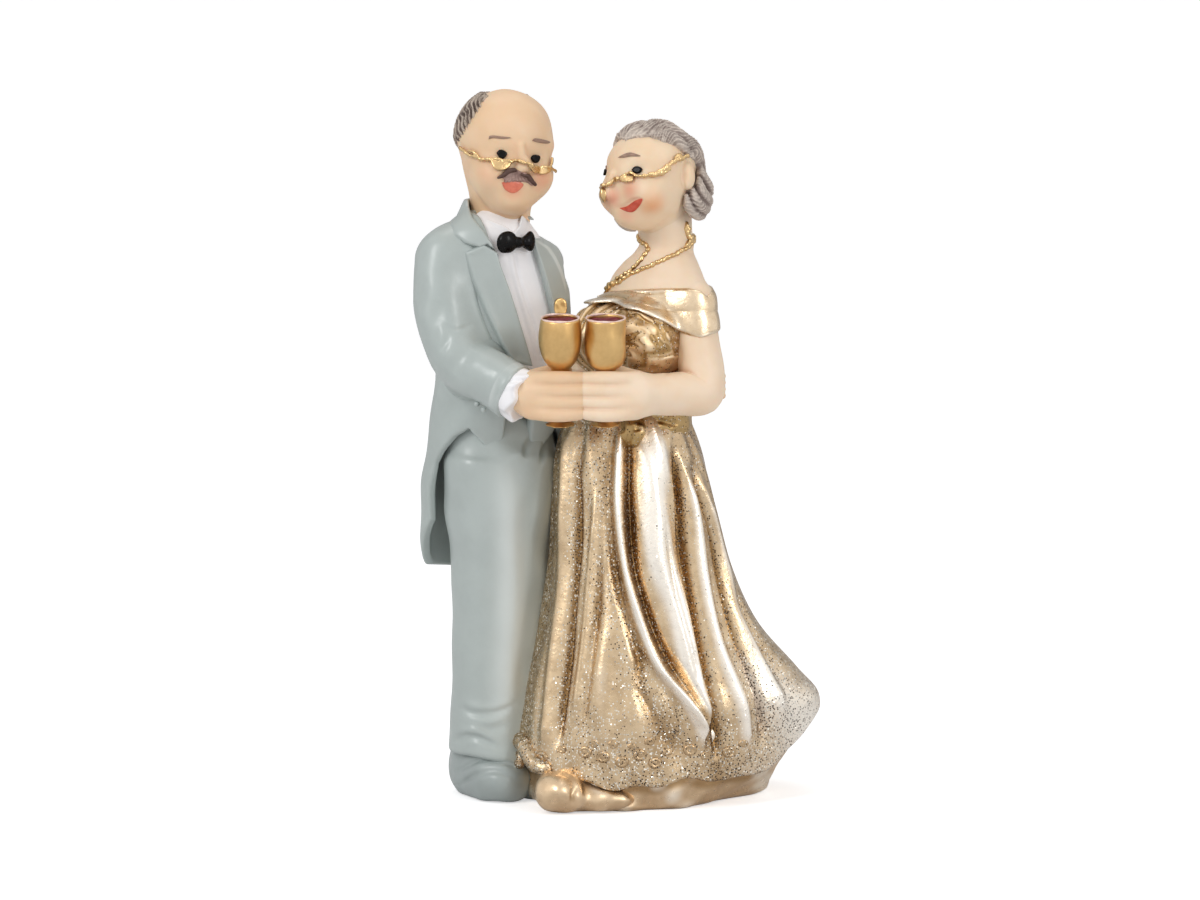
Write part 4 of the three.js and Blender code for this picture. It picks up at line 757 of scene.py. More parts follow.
# A gold paint's third colour, where given, is its painted highlight on edges and ridges.
GOLD_LEAF = (
    gold_paint("gold_leaf_paint", (0.75, 0.53, 0.27), (0.30, 0.16, 0.05), 0.22, 0.14, 0.05),
    "gold_leaf",
)
CUP_GOLD = (
    gold_paint("cup_gold_paint", (0.74, 0.49, 0.21), (0.46, 0.26, 0.09), 0.28, 0.14, 0.025),
    "gold_leaf",
)
# A pinkish white painted highlight, laid as a thin ring on each goblet's rim.
RIM_HIGHLIGHT = (
    gloss_paint("rim_highlight_paint", srgb(246, 222, 212), srgb(232, 198, 184), 0.3, 0.2, 0.15),
    "gold_leaf",
)
BODICE_GOLD = (
    gold_paint(
        "bodice_gold_paint", (0.80, 0.61, 0.39), (0.40, 0.25, 0.1), 0.42, 0.14, 0.05,
        glitter=(0.24, 0.4, 1.2), wear_and_highlight=(0.93, 0.8, 0.6),
    ),
    "gold_glitter",
)
DRAPE_GOLD = (
    gold_paint(
        "drape_gold_paint", (0.80, 0.64, 0.45), (0.40, 0.25, 0.11), 0.24, 0.12, 0.05, wear_and_highlight=(0.96, 0.9, 0.8)
    ),
    "gold_leaf",
)
PEARL_GOLD = (
    gold_paint(
        "pearl_gold_paint", (0.74, 0.56, 0.37), (0.40, 0.25, 0.12), 0.26, 0.12, 0.02, 0.85,
        wear_and_highlight=(0.94, 0.86, 0.74),
    ),
    "gold_matte",
)
SASH_GOLD = (
    gold_paint(
        "sash_gold_paint", (0.62, 0.43, 0.2), (0.26, 0.15, 0.05), 0.24, 0.14, 0.08,
        glitter=(0.27, 0.6, 1.4), wear_and_highlight=(0.9, 0.74, 0.48),
    ),
    "gold_matte",
)
GLITTER_GOLD = (
    gold_paint(
        "glitter_gold_paint", (0.69, 0.53, 0.345), (0.27, 0.15, 0.055), 0.22, 0.14, 0.06,
        glitter=(0.29, 0.95, 1.5), wear_and_highlight=(1.0, 0.95, 0.87),
    ),
    "gold_glitter",
)
HIS_HANDS = (skin_paint("hand_paint", HIS_FLESH), "skin")
HER_ARMS = (skin_paint("her_arm_paint", (0.93, 0.745, 0.565)), "skin")

# Bodies that several pieces share


def body_of(rows, bottom, height, width, depth, x=0, y=0):
    """An upright body from rows of shares: height, width, depth, shift to its left and shift backwards."""
    table = []
    for up, wide, deep, left, back in rows:
        middle = (x + left * width, y + back * depth)
        table.append((bottom + up * height, wide * width / 2, deep * depth / 2, *middle))
    return Loft(table)


def degrees_round(loft, q):
    """How far round a body each point is, in degrees from its front towards its left."""
    half_x, half_y, x, y = loft.sizes(q[:, 2])
    return np.degrees(np.arctan2((q[:, 0] - x) / half_x, -(q[:, 1] - y) / half_y))


COAT_BOTTOM = 34.8
COAT_LENGTH = 56.7
COAT_TOP = COAT_BOTTOM + COAT_LENGTH
COAT_WIDTH = 20.8
COAT_DEPTH = 15.6
COAT_SHARES = [
    [0, 0.96, 0.62, 0, 0.38],
    [0.1, 1.05, 0.74, 0, 0.34],
    [0.26, 1.1, 0.92, 0, 0.2],
    [0.4, 1.08, 0.96, 0, 0.07],
    [0.55, 1, 0.96, 0, 0],
    [0.72, 1, 1, 0, 0],
    [0.86, 0.98, 0.94, 0, 0],
    [0.93, 0.92, 0.82, 0, 0],
    [0.97, 0.7, 0.7, 0, 0],
    [1, 0.46, 0.58, 0, 0],
]
TORSO = body_of(COAT_SHARES, COAT_BOTTOM, COAT_LENGTH, COAT_WIDTH, COAT_DEPTH)
LEG_SHARES = [
    [0, 1.14, 1.12, 0, -0.04],
    [0.08, 1.1, 1.06, 0, -0.02],
    [0.3, 0.98, 0.94, 0, 0],
    [0.6, 1, 0.98, 0, 0],
    [0.85, 1.1, 1.1, 0, 0],
    [1, 1.08, 1.12, 0, 0],
]
HIP_SHARES = [
    [0, 0.5, 0.5, 0, 0],
    [0.25, 0.86, 0.86, 0, 0],
    [0.6, 1, 1, 0, 0],
    [0.85, 0.98, 0.98, 0, 0],
    [1, 0.84, 0.84, 0, 0],
]
TROUSER_HEM = 7
TROUSER_LENGTH = 45
LEG_ASIDE = 3.2
LEG_WIDTH = 9.4
LEG_DEPTH = 10.6
LEGS = [
    body_of(LEG_SHARES, TROUSER_HEM, TROUSER_LENGTH, LEG_WIDTH, LEG_DEPTH, aside)
    for aside in (-LEG_ASIDE, LEG_ASIDE)
]
HIPS = body_of(HIP_SHARES, 38, 21.2, 17.5, 11.9)

SKIRT_AT = np.array([2.2, 1.0])
SKIRT_HEIGHT = 60
SKIRT_REACHES = (29.5, 17.4, 16.6, 17)
TRAIN = math.radians(14)
SKIRT_SHARES = [
    [0, 0.82, 1.02, 1.0, 1.0],
    [0.14, 0.99, 1.0, 1.0, 1.0],
    [0.25, 1.04, 0.93, 1.0, 0.98],
    [0.33, 0.91, 0.88, 0.96, 0.93],
    [0.45, 0.7, 0.79, 0.9, 0.84],
    [0.6, 0.545, 0.71, 0.8, 0.71],
    [0.75, 0.47, 0.67, 0.72, 0.63],
    [0.88, 0.4, 0.64, 0.62, 0.55],
    [1, 0.31, 0.56, 0.5, 0.47],
]
SKIRT_TABLE = smoothed(SKIRT_SHARES, 12)


def skirt_reach(z, angle):
    """How far the smooth gown reaches from its middle, before its folds."""
    at = np.clip(z / SKIRT_HEIGHT, 0, 1)
    left, right, front, back = [
        np.interp(at, SKIRT_TABLE[:, 0], SKIRT_TABLE[:, i + 1]) * SKIRT_REACHES[i] for i in range(4)
    ]
    away = angle - TRAIN
    along = np.where(np.cos(away) > 0, left, right)
    across = np.where(np.sin(away) < 0, front, back)
    return 1 / np.hypot(np.cos(away) / along, np.sin(away) / across)


def gown(p):
    x, y = p[:, 0] - SKIRT_AT[0], p[:, 1] - SKIRT_AT[1]
    return (np.hypot(x, y) - skirt_reach(p[:, 2], np.arctan2(y, x))) * 0.8


SHOULDER_DROP = 3.6


def sloped(q):
    """The man's own points, raised where his left shoulder lies lower than his right one."""
    raised = q.copy()
    raised[:, 2] += SHOULDER_DROP * np.clip((q[:, 0] - 0.8) / 4, 0, 1) * np.clip((q[:, 2] - 79) / 7, 0, 1)
    return raised


def torso(p):
    return TORSO.side(sloped(MAN.local(p)))


# The man's trousers and shoes

CREASES = [
    ([(462, 708), (474, 713), (488, 714), (500, 711), (512, 704)], 0.6, 0.42),
    ([(452, 741), (462, 737), (474, 737), (486, 741), (496, 747)], 0.55, 0.55),
    ([(480, 727), (492, 729), (504, 724)], 0.8, 0.3),
    ([(535, 432), (528, 445), (524, 458)], 0.6, 0.35),
    ([(548, 436), (542, 452), (540, 466)], 0.6, 0.3),
]
SOFT_BAND = [(500, 455), (510, 520), (511, 600), (507, 680), (500, 730)]


def bare_trousers(p):
    q = MAN.local(p)
    legs = melt(LEGS[0](q), LEGS[1](q), 7)
    return melt(legs, HIPS(q), 3)


trouser_creases = lines_on(bare_trousers, CREASES)
soft_band = line_on(bare_trousers, SOFT_BAND)


def trousers(p):
    f = bare_trousers(p) + unevenness(p, 11, 0.12)
    for line, width, depth in trouser_creases:
        f = f + groove(p, line, width, depth) - groove(p, line + (0, 0, 0.9), 0.7, depth * 0.45)
    return f - groove(p, soft_band, 1.8, 0.7)


# A painted highlight along the soft band down the trousers' front.
sculpt(
    "trousers", trousers, (-30, -8, 5), (-4, 13, 61), MEDIUM, GREY, ["man_trousers"],
    marks=lambda points: {"pale": groove(points, soft_band, 2.6, 1.0)},
)

SHOE_ASIDE = 1.2
SHOE_WIDTH = 10
SHOE_LENGTH = 18
SHOE_HEIGHT = 13
# Each rounded part of a shoe: how far back and up its middle is, and its size, as shares of the shoe's
SHOE_PARTS = [
    ((-0.22, 0.24), (0.96, 0.56, 0.7)),
    ((0.04, 0.34), (1, 0.66, 0.96)),
    ((0.24, 0.34), (0.84, 0.48, 0.84)),
]
SHOE_CREASES = [
    ([(456, 772), (470, 764), (486, 759), (504, 762), (520, 770)], 0.45, 0.4),
    ([(460, 784), (476, 775), (494, 771), (512, 777)], 0.45, 0.4),
    ([(468, 752), (486, 750), (504, 756), (518, 764)], 0.45, 0.4),
]


def bare_shoe(side):
    def field(p):
        q = MAN.local(p)
        parts = []
        for (back, up), (wide, long, high) in SHOE_PARTS:
            at = (side * LEG_ASIDE + SHOE_ASIDE, back * SHOE_LENGTH, up * SHOE_HEIGHT)
            size = (wide * SHOE_WIDTH / 2, long * SHOE_LENGTH / 2, high * SHOE_HEIGHT / 2)
            parts.append(oval(q, at, size))
        return both(melted(parts, 3), -p[:, 2], 0.8)

    return field


def shoe(side, creases):
    bare = bare_shoe(side)
    lines = lines_on(bare, creases)
    return lambda p: grooved(bare(p) + unevenness(p, 7, 0.1), p, lines)


right_shoe = shoe(-1, SHOE_CREASES)
left_shoe = shoe(1, [])
sculpt("right_shoe", right_shoe, (-30, -10, 0), (-8, 12, 14), MEDIUM, SHADED_SHOE_GREY, ["man_right_shoe"])
sculpt("left_shoe", left_shoe, (-24, -8, 0), (-2, 15, 14), MEDIUM, SHADED_SHOE_GREY, ["man_left_shoe"])

# The gown

# Folds that the photograph shows: pixels from top to bottom, width and height in millimetres
GOWN_FOLDS = [
    ([(567, 445), (565, 500), (560, 600), (553, 667), (545, 735)], 1.3, 1.0),
    ([(577, 470), (578, 533), (573, 600), (567, 667), (560, 725)], 0.75, -1.0),
    ([(594, 520), (590, 580), (584, 640), (577, 700)], 0.6, 0.6),
    ([(601, 520), (598, 600), (592, 660), (584, 715)], 0.7, -0.4),
    ([(611, 450), (611, 500), (614, 560), (625, 613), (640, 660)], 0.9, -0.7),
    ([(619, 440), (618, 500), (624, 560), (638, 613), (654, 660), (678, 693), (702, 728)], 1.0, 1.6),
    ([(629, 450), (630, 510), (634, 567), (648, 613), (664, 650), (684, 683), (708, 728)], 0.75, -1.35),
    ([(655, 440), (652, 500), (658, 550), (672, 600), (688, 655), (703, 715)], 2.3, 1.6),
    ([(664, 540), (672, 590), (684, 640), (692, 670)], 0.5, -0.45),
    ([(677, 465), (683, 533), (690, 587), (697, 633), (710, 690), (718, 735)], 0.85, -1.5),
    ([(688, 485), (698, 550), (706, 600), (718, 647), (734, 690), (744, 740)], 1.2, 1.2),
    ([(699, 490), (712, 533), (721, 580), (733, 627), (748, 667), (764, 722)], 0.75, -1.3),
    ([(705, 500), (722, 560), (736, 610), (757, 655), (778, 700)], 1.2, 1.0),
    ([(735, 600), (752, 632), (768, 660)], 1.6, -0.6),
    ([(640, 690), (655, 715), (668, 745)], 1.6, -0.5),
    ([(600, 660), (602, 700), (606, 745)], 2.2, 0.5),
]
HEM_LEVEL = 4.4
# How high the hem rises at the train's tip, and how far round, in radians
TRAIN_LIFT = 10
TRAIN_SPREAD = 0.4
BACK_FOLDS = 15
# The photograph shows the skirt this far round either side, and then it fades out, in radians
FRONT_REACH = 1.62
FRONT_FADE = 0.3


def hem_level(angle):
    """The hem round the skirt: highest at the tip of the train, with a curl beside his shoe."""
    aside = wrapped(angle - TRAIN) / TRAIN_SPREAD
    curl = np.clip((np.cos(angle - math.pi * 1.14) - 0.86) / 0.1, 0, 1)
    waves = 0.5 * np.sin(5 * angle) + 0.35 * np.sin(13 * angle + 2)
    return HEM_LEVEL + TRAIN_LIFT * np.exp(-aside * aside) + 2.3 * curl + waves


def gown_angle(points):
    return np.arctan2(points[:, 1] - SKIRT_AT[1], points[:, 0] - SKIRT_AT[0])


def fold_table(pixels, width, height):
    points = seen(gown, pixels)
    line = smoothed(np.column_stack([points[:, 2], gown_angle(points)]), 6)
    line = line[np.argsort(line[:, 0])]
    return line[:, 0], line[:, 1], width, height


gown_folds = [fold_table(*row) for row in GOWN_FOLDS]


def seen_from_front(angle):
    """1 where the photograph shows the skirt, and 0 at its back."""
    return np.clip((FRONT_REACH - np.abs(wrapped(angle + math.pi / 2))) / FRONT_FADE, 0, 1)


def fold_height(z, angle):
    reach = skirt_reach(z, angle)
    total = np.zeros_like(z)
    for levels, angles, width, height in gown_folds:
        away = np.interp(z, levels, angles)
        offset = wrapped(angle - away) * reach
        ends = np.clip((z - levels[0] + 4) / 5, 0, 1) * np.clip((levels[-1] + 5 - z) / 7, 0, 1)
        total += height * ends * np.exp(-((offset / width) ** 2))
    bent = angle + 0.16 * np.sin(2 * angle + 1) + 0.08 * np.sin(5 * angle + 2) + 0.002 * z
    back = 1.5 * (np.abs(np.sin(BACK_FOLDS / 2 * bent)) ** 0.8 - 0.6) * (1.15 - z / SKIRT_HEIGHT)
    total += back * (1 - seen_from_front(angle))
    ripples = 0.1 * np.sin(23 * angle + 0.22 * z + 2 * np.sin(0.13 * z))
    return total + (ripples + 0.12 * np.sin(9 * angle - 0.31 * z))


def grid_faces(rows, columns):
    """The quads of a net whose columns close into rings."""
    row, column = np.meshgrid(np.arange(rows - 1), np.arange(columns), indexing="ij")
    a = row * columns + column
    b = row * columns + (column + 1) % columns
    return np.stack([a, b, b + columns, a + columns], -1).reshape(-1, 4)


def ring_at(z, angle, reach):
    """The points of one ring of the skirt, at its height and distances from the skirt's middle."""
    return np.column_stack([SKIRT_AT[0] + reach * np.cos(angle), SKIRT_AT[1] + reach * np.sin(angle), z])


def ring_object(name, rings, marks, paint, nodes):
    """A closed piece over rings of points, the first ring lowest, with a point in the middle of each end."""
    count = rings[0].shape[0]
    points = np.vstack([*rings, rings[0].mean(0)[None], rings[-1].mean(0)[None]])
    column = np.arange(count)
    following = (column + 1) % count
    first, last = np.full(count, len(points) - 2), np.full(count, len(points) - 1)
    top = (len(rings) - 1) * count
    polygons = grid_faces(len(rings), count).tolist()
    polygons += np.stack([following, column, first], 1).tolist()
    polygons += np.stack([top + column, top + following, last], 1).tolist()
    mesh = bpy.data.meshes.new(name)
    mesh.from_pydata(((points + SHIFT) / 1000).tolist(), [], polygons)
    for polygon in mesh.polygons:
        polygon.use_smooth = True
    add_marks(mesh, {mark: np.concatenate([values, [0, 0]]) for mark, values in marks.items()})
    mesh.update()
    finish_piece(new_object(name, mesh), paint, nodes)


def gown_marks(z, angle, folds):
    """How hollow and glittering the gown is at one height, its painted shade and painted highlight, and its
    share of dark flakes.
    """
    # How much painted highlight each side takes: little on the left, towards the man, and full on the rest.
    lit = np.clip((np.degrees(angle + math.pi) % 360 - 52) / 30, 0.22, 1)
    low = np.clip((24 - z) / 20, 0, 1)
    patches = np.sin(4 * angle + 0.11 * z) * np.sin(0.2 * z + 3 * angle)
    from_tip = wrapped(angle - TRAIN + 0.4) / TRAIN_SPREAD
    near_tip = np.exp(-(from_tip**2)) * np.clip((34 - z) / 12, 0, 1)
    towards_train = np.clip(0.5 + 0.5 * np.sin(angle + 1.2), 0, 1)
    # More dark flakes, and so a deeper tone, in the fold valleys: partly painted shade.
    dark = 0.16 + 0.34 * towards_train - 0.42 * folds + 0.2 * patches + 0.14 * low - 0.15 * near_tip
    # Painted highlight on the crests of the folds.
    wear_and_highlight = np.clip((folds - 0.25) / 1.1, 0, 1) * lit
    # Painted shade in the fold valleys, and a painted highlight near the train's tip.
    return {
        "hollow": np.clip(0.12 - folds * 0.55 - 0.2 * near_tip, 0, 1),
        "edge": np.clip(wear_and_highlight + near_tip * (0.5 + 0.4 * patches), 0, 1),
        "glitter": np.clip(0.4 + 0.42 * low - 0.6 * folds + 0.2 * patches + 0.3 * near_tip, 0.05, 1),
        "fleck": np.clip(dark, 0.08, 0.85),
    }


# The rolled edge of the hem, from inside it: how far outwards and how far above the hem each ring lies
HEM_ROLL = [(-2.6, 3.0), (-2.0, 1.4), (-1.6, 0.5), (-1.0, 0.05), (-0.5, -0.1), (-0.15, 0.05)]
ABOVE_HEM = 0.25


def ring_angles(sides):
    return np.arange(sides) / sides * 2 * math.pi


def gown_rings(sides, levels):
    angle = ring_angles(sides)
    hem = hem_level(angle)
    heights = [(hem + rise, outwards) for outwards, rise in HEM_ROLL]
    for j in range(1, levels + 1):
        heights.append((hem + ABOVE_HEM + (SKIRT_HEIGHT - hem - ABOVE_HEM) * (j / levels), 0.0))
    rings = []
    marks = []
    for z, outwards in heights:
        folds = fold_height(z, angle)
        rings.append(ring_at(z, angle, skirt_reach(z, angle) + folds + outwards))
        marks.append(gown_marks(z, angle, folds))
    return rings, {name: np.concatenate([row[name] for row in marks]) for name in marks[0]}


# How many points lie round a ring and how many rings there are, at full fineness
GOWN_NET = (760, 330)
PETTICOAT_NET = (480, 90)
# The petticoat's roll goes up this far behind the hem
PETTICOAT_OVERLAP = 8


def net_size(net):
    return [int(count * (1 / COARSENESS)) for count in net]


rings, marks = gown_rings(*net_size(GOWN_NET))
ring_object("skirt", rings, marks, GLITTER_GOLD, ["woman_skirt"])


def petticoat_rings(sides, levels):
    """The smooth roll below the hem."""
    angle = ring_angles(sides)
    hem = hem_level(angle)
    towards = np.exp(-(((np.cos(angle - TRAIN) - 1) / 0.45) ** 2))
    rings = []
    folds = []
    tops = []
    for j in range(levels + 1):
        z = j / levels * (hem + PETTICOAT_OVERLAP)
        under = np.clip(z / hem, 0, 1)
        rim = 1 - (0.05 + 0.22 * towards) * (1 - under) ** 1.3
        waves = 0.45 * np.sin(7 * angle + 1 + 0.5 * z) + 0.3 * np.sin(11 * angle + 0.9 * z)
        waves += 0.16 * np.sin(19 * angle - 1.4 * z)
        foot = -0.9 * np.clip(1 - z / 0.8, 0, 1) ** 2
        reach = (skirt_reach(np.maximum(z, hem), angle) - 1.5) * rim + waves * 0.7 + foot
        rings.append(ring_at(z, angle, reach))
        folds.append(np.clip(waves * 1.1, 0, 1))
        tops.append(np.clip(1 - (hem - z) / 2.2, 0, 1))
    tops = np.concatenate(tops)
    # Painted shade near the top, where the roll goes under the hem, and a painted highlight on the crests of
    # its waves.
    marks = {"hollow": tops * 0.8, "edge": np.concatenate(folds), "glitter": tops * 0.2, "fleck": tops * 0.3}
    return rings, marks


rings, marks = petticoat_rings(*net_size(PETTICOAT_NET))
ring_object("petticoat", rings, marks, PEARL_GOLD, ["woman_petticoat"])

# The ornament above the hem, and the curl at the hem's end, in pixels

ROSETTES = [
    (518, 752), (541, 757), (585, 752), (603, 757), (622, 762), (640, 755), (655, 763), (690, 750),
    (729, 752),
]
SCROLLS = [
    (562, 750), (594, 744), (632, 748), (668, 752), (706, 756), (744, 744), (650, 742), (613, 745),
]
CURL = [(509, 741), (516, 738.5), (524, 744), (530, 755), (536, 764), (546, 768)]
CURL_INNER = [(509, 741), (506.5, 749), (510, 758), (518, 764), (521, 757), (516, 751)]


def folded_gown(p):
    angle = gown_angle(p)
    return gown(p) - 0.8 * fold_height(p[:, 2], angle)


def ring_on_gown(pixel, radius, turns, fade):
    """A small loop or spiral that lies on the gown round a pixel. Each starts at an angle of its own."""
    a = np.linspace(0, 2 * math.pi * turns, int(9 * turns) + 1) + pixel[0]
    r = radius * (1 - fade * np.linspace(0, 1, len(a)))
    return seen(folded_gown, np.column_stack([pixel[0] + r * np.cos(a), pixel[1] + 0.8 * r * np.sin(a)]))


# Where each kind of ring lies, its radius in pixels, its turns, how much it narrows, and how thick it is
ORNAMENT = [
    (ROSETTES, 5.0, 1.0, 0.0, (0.32, 0.32)),
    (ROSETTES, 1.6, 1.0, 0.3, (0.3, 0.3)),
    (SCROLLS, 4.6, 1.6, 0.8, (0.2, 0.24)),
]
ornament_paths = []
ornament_radii = []
for pixels, radius, turns, fade, thickness in ORNAMENT:
    ornament_paths += [ring_on_gown(pixel, radius, turns, fade) for pixel in pixels]
    ornament_radii += [thickness] * len(pixels)


def strand_field(paths, radii, spread):
    """The distance to many thin rods. Each rod is worked out only near itself."""
    boxes = [(path.min(0) - spread, path.max(0) + spread) for path in paths]

    def field(p):
        best = np.full(len(p), spread * 0.9)
        for path, radius, (low, high) in zip(paths, radii, boxes):
            close = np.all((p > low) & (p < high), axis=1)
            if close.any():
                best[close] = np.minimum(best[close], rod(p[close], path, radius))
        return best

    return field


def glittering(amount, dark):
    """Even marks for a small trim: its glitter, its share of dark flakes, a faint painted shade all over and
    almost no painted highlight.
    """
    even = {"glitter": amount, "fleck": dark, "edge": 0.15, "hollow": 0.2}
    return lambda points: {name: np.full(len(points), value) for name, value in even.items()}


ornament = strand_field(ornament_paths, ornament_radii, 1.0)
sculpt(
    "hem_rosettes", ornament, *box_round(np.vstack(ornament_paths), 0.6), SMALL, GLITTER_GOLD,
    ["woman_skirt"], marks=glittering(0.5, 0.6),
)
curl_line = seen(folded_gown, CURL)
curl_inner = seen(folded_gown, CURL_INNER) + (0, -0.6, 0)


def curl(p):
    f = rod(p, smoothed(curl_line, 4), (0.9, 1.3, 1.5, 1.2))
    return melt(f, rod(p, smoothed(curl_inner, 4), (0.8, 0.9, 0.8, 0.55)), 0.25) + unevenness(p, 3, 0.08)


sculpt(
    "hem_curl", curl, *box_round(np.vstack([curl_line, curl_inner]), 2), FINE, GLITTER_GOLD, ["woman_skirt"],
    marks=glittering(0.8, 0.4),
)
WOMAN_SHOE = Place((SKIRT_AT[0] - 9.57, SKIRT_AT[1] - 13.94, 3.2), -17)


def toe(p):
    """The toe of her shoe under the hem, wrapped in cloth."""
    q = WOMAN_SHOE.local(p)
    f = melt(oval(q, (-0.4, -0.6, 0), (4.0, 4.4, 3.3)), oval(q, (5.2, 2.4, -1.2), (5.2, 3.6, 2.1)), 3.2)
    wrinkle = [(3.0, -2.6, 1.6), (2.2, -3.4, 0.2), (2.6, -3.6, -1.4)]
    f = f + groove(q, wrinkle, 0.5, 0.4) + unevenness(p, 5, 0.16)
    return both(f, -p[:, 2], 0.6)


sculpt("toe", toe, (-13, -19, 0), (9, -5, 8), MEDIUM, PEARL_GOLD, ["woman_shoe"])

# The man's arms

RIGHT_SHOULDER = MAN.out((-COAT_WIDTH * 0.46, -COAT_DEPTH * 0.02, 83.6))[0]
RIGHT_ELBOW = MAN.out((-COAT_WIDTH * 0.45, -COAT_DEPTH * 0.36, 68.6))[0]
WRIST_Y = -12.54
RIGHT_WRIST = np.array([MAN_GOBLET[0] - 6.2, WRIST_Y, TOAST_LEVEL])
SLEEVE_END = RIGHT_WRIST + 0.1 * (RIGHT_ELBOW - RIGHT_WRIST)
upper_middle = (RIGHT_SHOULDER + RIGHT_ELBOW) / 2 + (-1.5, 0, 0)
fore_middle = (RIGHT_ELBOW + SLEEVE_END) / 2
RIGHT_SLEEVE = smoothed([RIGHT_SHOULDER, upper_middle, RIGHT_ELBOW, fore_middle, SLEEVE_END], 6)
SLEEVE_WAY = unit(SLEEVE_END - RIGHT_SLEEVE[-4])
SLEEVE_HOLLOW = 3.75
SLEEVE_CREASES = [
    ([(441, 322), (449, 329), (458, 331), (470, 326)], 0.5, 0.35),
    ([(449, 329), (447, 340), (440, 352)], 0.6, 0.3),
    ([(440, 300), (436, 320), (434, 345)], 1.2, 0.35),
    ([(474, 350), (462, 360), (452, 374)], 1.4, 0.3),
    ([(498, 372), (490, 385), (485, 400)], 1.0, 0.25),
]


def bare_right_sleeve(p):
    d, along = nearest(p, RIGHT_SLEEVE)
    radius = np.interp(along, (0, 0.25, 0.5, 0.75, 1), (4.5, 4.3, 4.3, 4.1, 4.35))
    return both(d - radius, (p - SLEEVE_END) @ SLEEVE_WAY - 0.4, 0.5)


sleeve_creases = lines_on(bare_right_sleeve, SLEEVE_CREASES)


def right_sleeve(p):
    f = grooved(bare_right_sleeve(p) + unevenness(p, 9, 0.1), p, sleeve_creases)
    deep = (p - SLEEVE_END) @ SLEEVE_WAY + 1.2
    inside = both(nearest(p, RIGHT_SLEEVE)[0] - SLEEVE_HOLLOW, -deep, 0.2)
    f = without(f, inside, 0.3)
    shoulder = torso(p) + 0.1
    return np.minimum(f, both(melt(f, shoulder, 3.2), bare_right_sleeve(p) - 1.6, 0.6))


sculpt("right_sleeve", right_sleeve, (-36, -20, 55), (-9, 12, 93), MEDIUM, GREY, ["man_right_sleeve"])

LEFT_HAND_AT = WOMAN.out((2.75, 8.06, 63.5))[0]
LEFT_SHOULDER = MAN.out((COAT_WIDTH * 0.34, COAT_DEPTH * 0.1, 82.2))[0]
LEFT_SLEEVE_END = LEFT_HAND_AT + (-5.76, 2.7, 0)
left_elbow = LEFT_SHOULDER + 0.3 * (LEFT_SLEEVE_END - LEFT_SHOULDER)
left_elbow = np.array([left_elbow[0], LEFT_SLEEVE_END[1], 68.7])
LEFT_SLEEVE = smoothed([LEFT_SHOULDER, LEFT_SHOULDER + (0, 4.68, -8.4), left_elbow, LEFT_SLEEVE_END], 7)
LEFT_CUFF_WAY = unit(LEFT_HAND_AT - LEFT_SLEEVE_END)


def left_sleeve(p):
    return rod(p, LEFT_SLEEVE, (3.95, 4.0, 4.0, 4.1)) + unevenness(p, 8, 0.1)


sculpt("left_sleeve", left_sleeve, (-17, 1, 55), (15, 19, 90), MEDIUM, GREY, ["man_left_sleeve"])


def left_cuff(p):
    d, _ = nearest(p, [LEFT_SLEEVE_END - LEFT_CUFF_WAY, LEFT_SLEEVE_END + LEFT_CUFF_WAY * 4.4])
    return both(d - 3.4, (p - LEFT_SLEEVE_END) @ LEFT_CUFF_WAY - 4.6, 0.4) + unevenness(p, 4, 0.08)


sculpt("left_cuff", left_cuff, (1, 1, 57), (17, 16, 71), MEDIUM, WHITE, ["man_left_cuff"])


def left_hand(p):
    q = Place(LEFT_HAND_AT, -29).local(p) - (0, 0.8, 0)
    f = oval(q, (0.6, 0, 0), (3.0, 1.5, 2.5))
    for i in range(4):
        level = 1.65 - 1.1 * i
        path = [(0.6, 0.2, level * 0.85), (2.4, 0, level), (4.0, -0.4, level * 0.92)]
        f = melt(f, rod(q, path, (0.72, 0.68, 0.55)), 0.5)
    return melt(f, rod(q, [(-0.6, 0.2, 2.0), (0.8, 0, 3.1), (2.0, -0.5, 3.6)], (0.8, 0.7, 0.55)), 0.6)


sculpt("left_hand", left_hand, (7, -3, 57), (21, 14, 71), FINE, HIS_HANDS, ["man_left_hand"])

# The tailcoat, its shirt, lapels and collar

# Pixels along the coat's hem, from the front edge to the tail on his right
HEM = [
    (512, 357), (508, 400), (504, 438), (497, 460), (488, 451), (479, 441), (468, 429), (454, 436),
    (441, 450),
]
TAIL_EDGE = [(433, 464), (429, 490), (430, 520)]
OPENING = [(478, 214), (494, 257), (505, 290), (516, 325), (527, 362), (536, 392), (548, 380)]
OPENING_LEFT = [(556, 328), (549, 300), (541, 270), (531, 240), (524, 215)]
RIGHT_LAPEL = [(481, 244), (461, 252), (470, 279), (485, 314), (500, 345), (511, 362), (531, 366)]
RIGHT_LAPEL_INNER = [(519, 325), (508, 290), (499, 266), (495, 252)]
LEFT_LAPEL = [(531, 238), (540, 238), (551, 250), (560, 270), (566, 290), (571, 312), (562, 350), (553, 345)]
LEFT_LAPEL_INNER = [(555, 322), (548, 296), (540, 268), (534, 250)]
COLLAR_LEAF = [
    (470, 200), (456, 207), (440, 223), (446, 234), (462, 243), (477, 247), (485, 244), (500, 254),
]
COLLAR_LEAF_INNER = [(490, 236), (480, 216)]
COAT_THICKNESS = 1.25
LINING_TOP = 61


def flat_outline(*tables):
    """Pixels on his chest, as an outline in the plane of his own X and Z."""
    pixels = [pixel for table in tables for pixel in table]
    points = MAN.local(seen(torso, pixels))
    return points[:, [0, 2]]


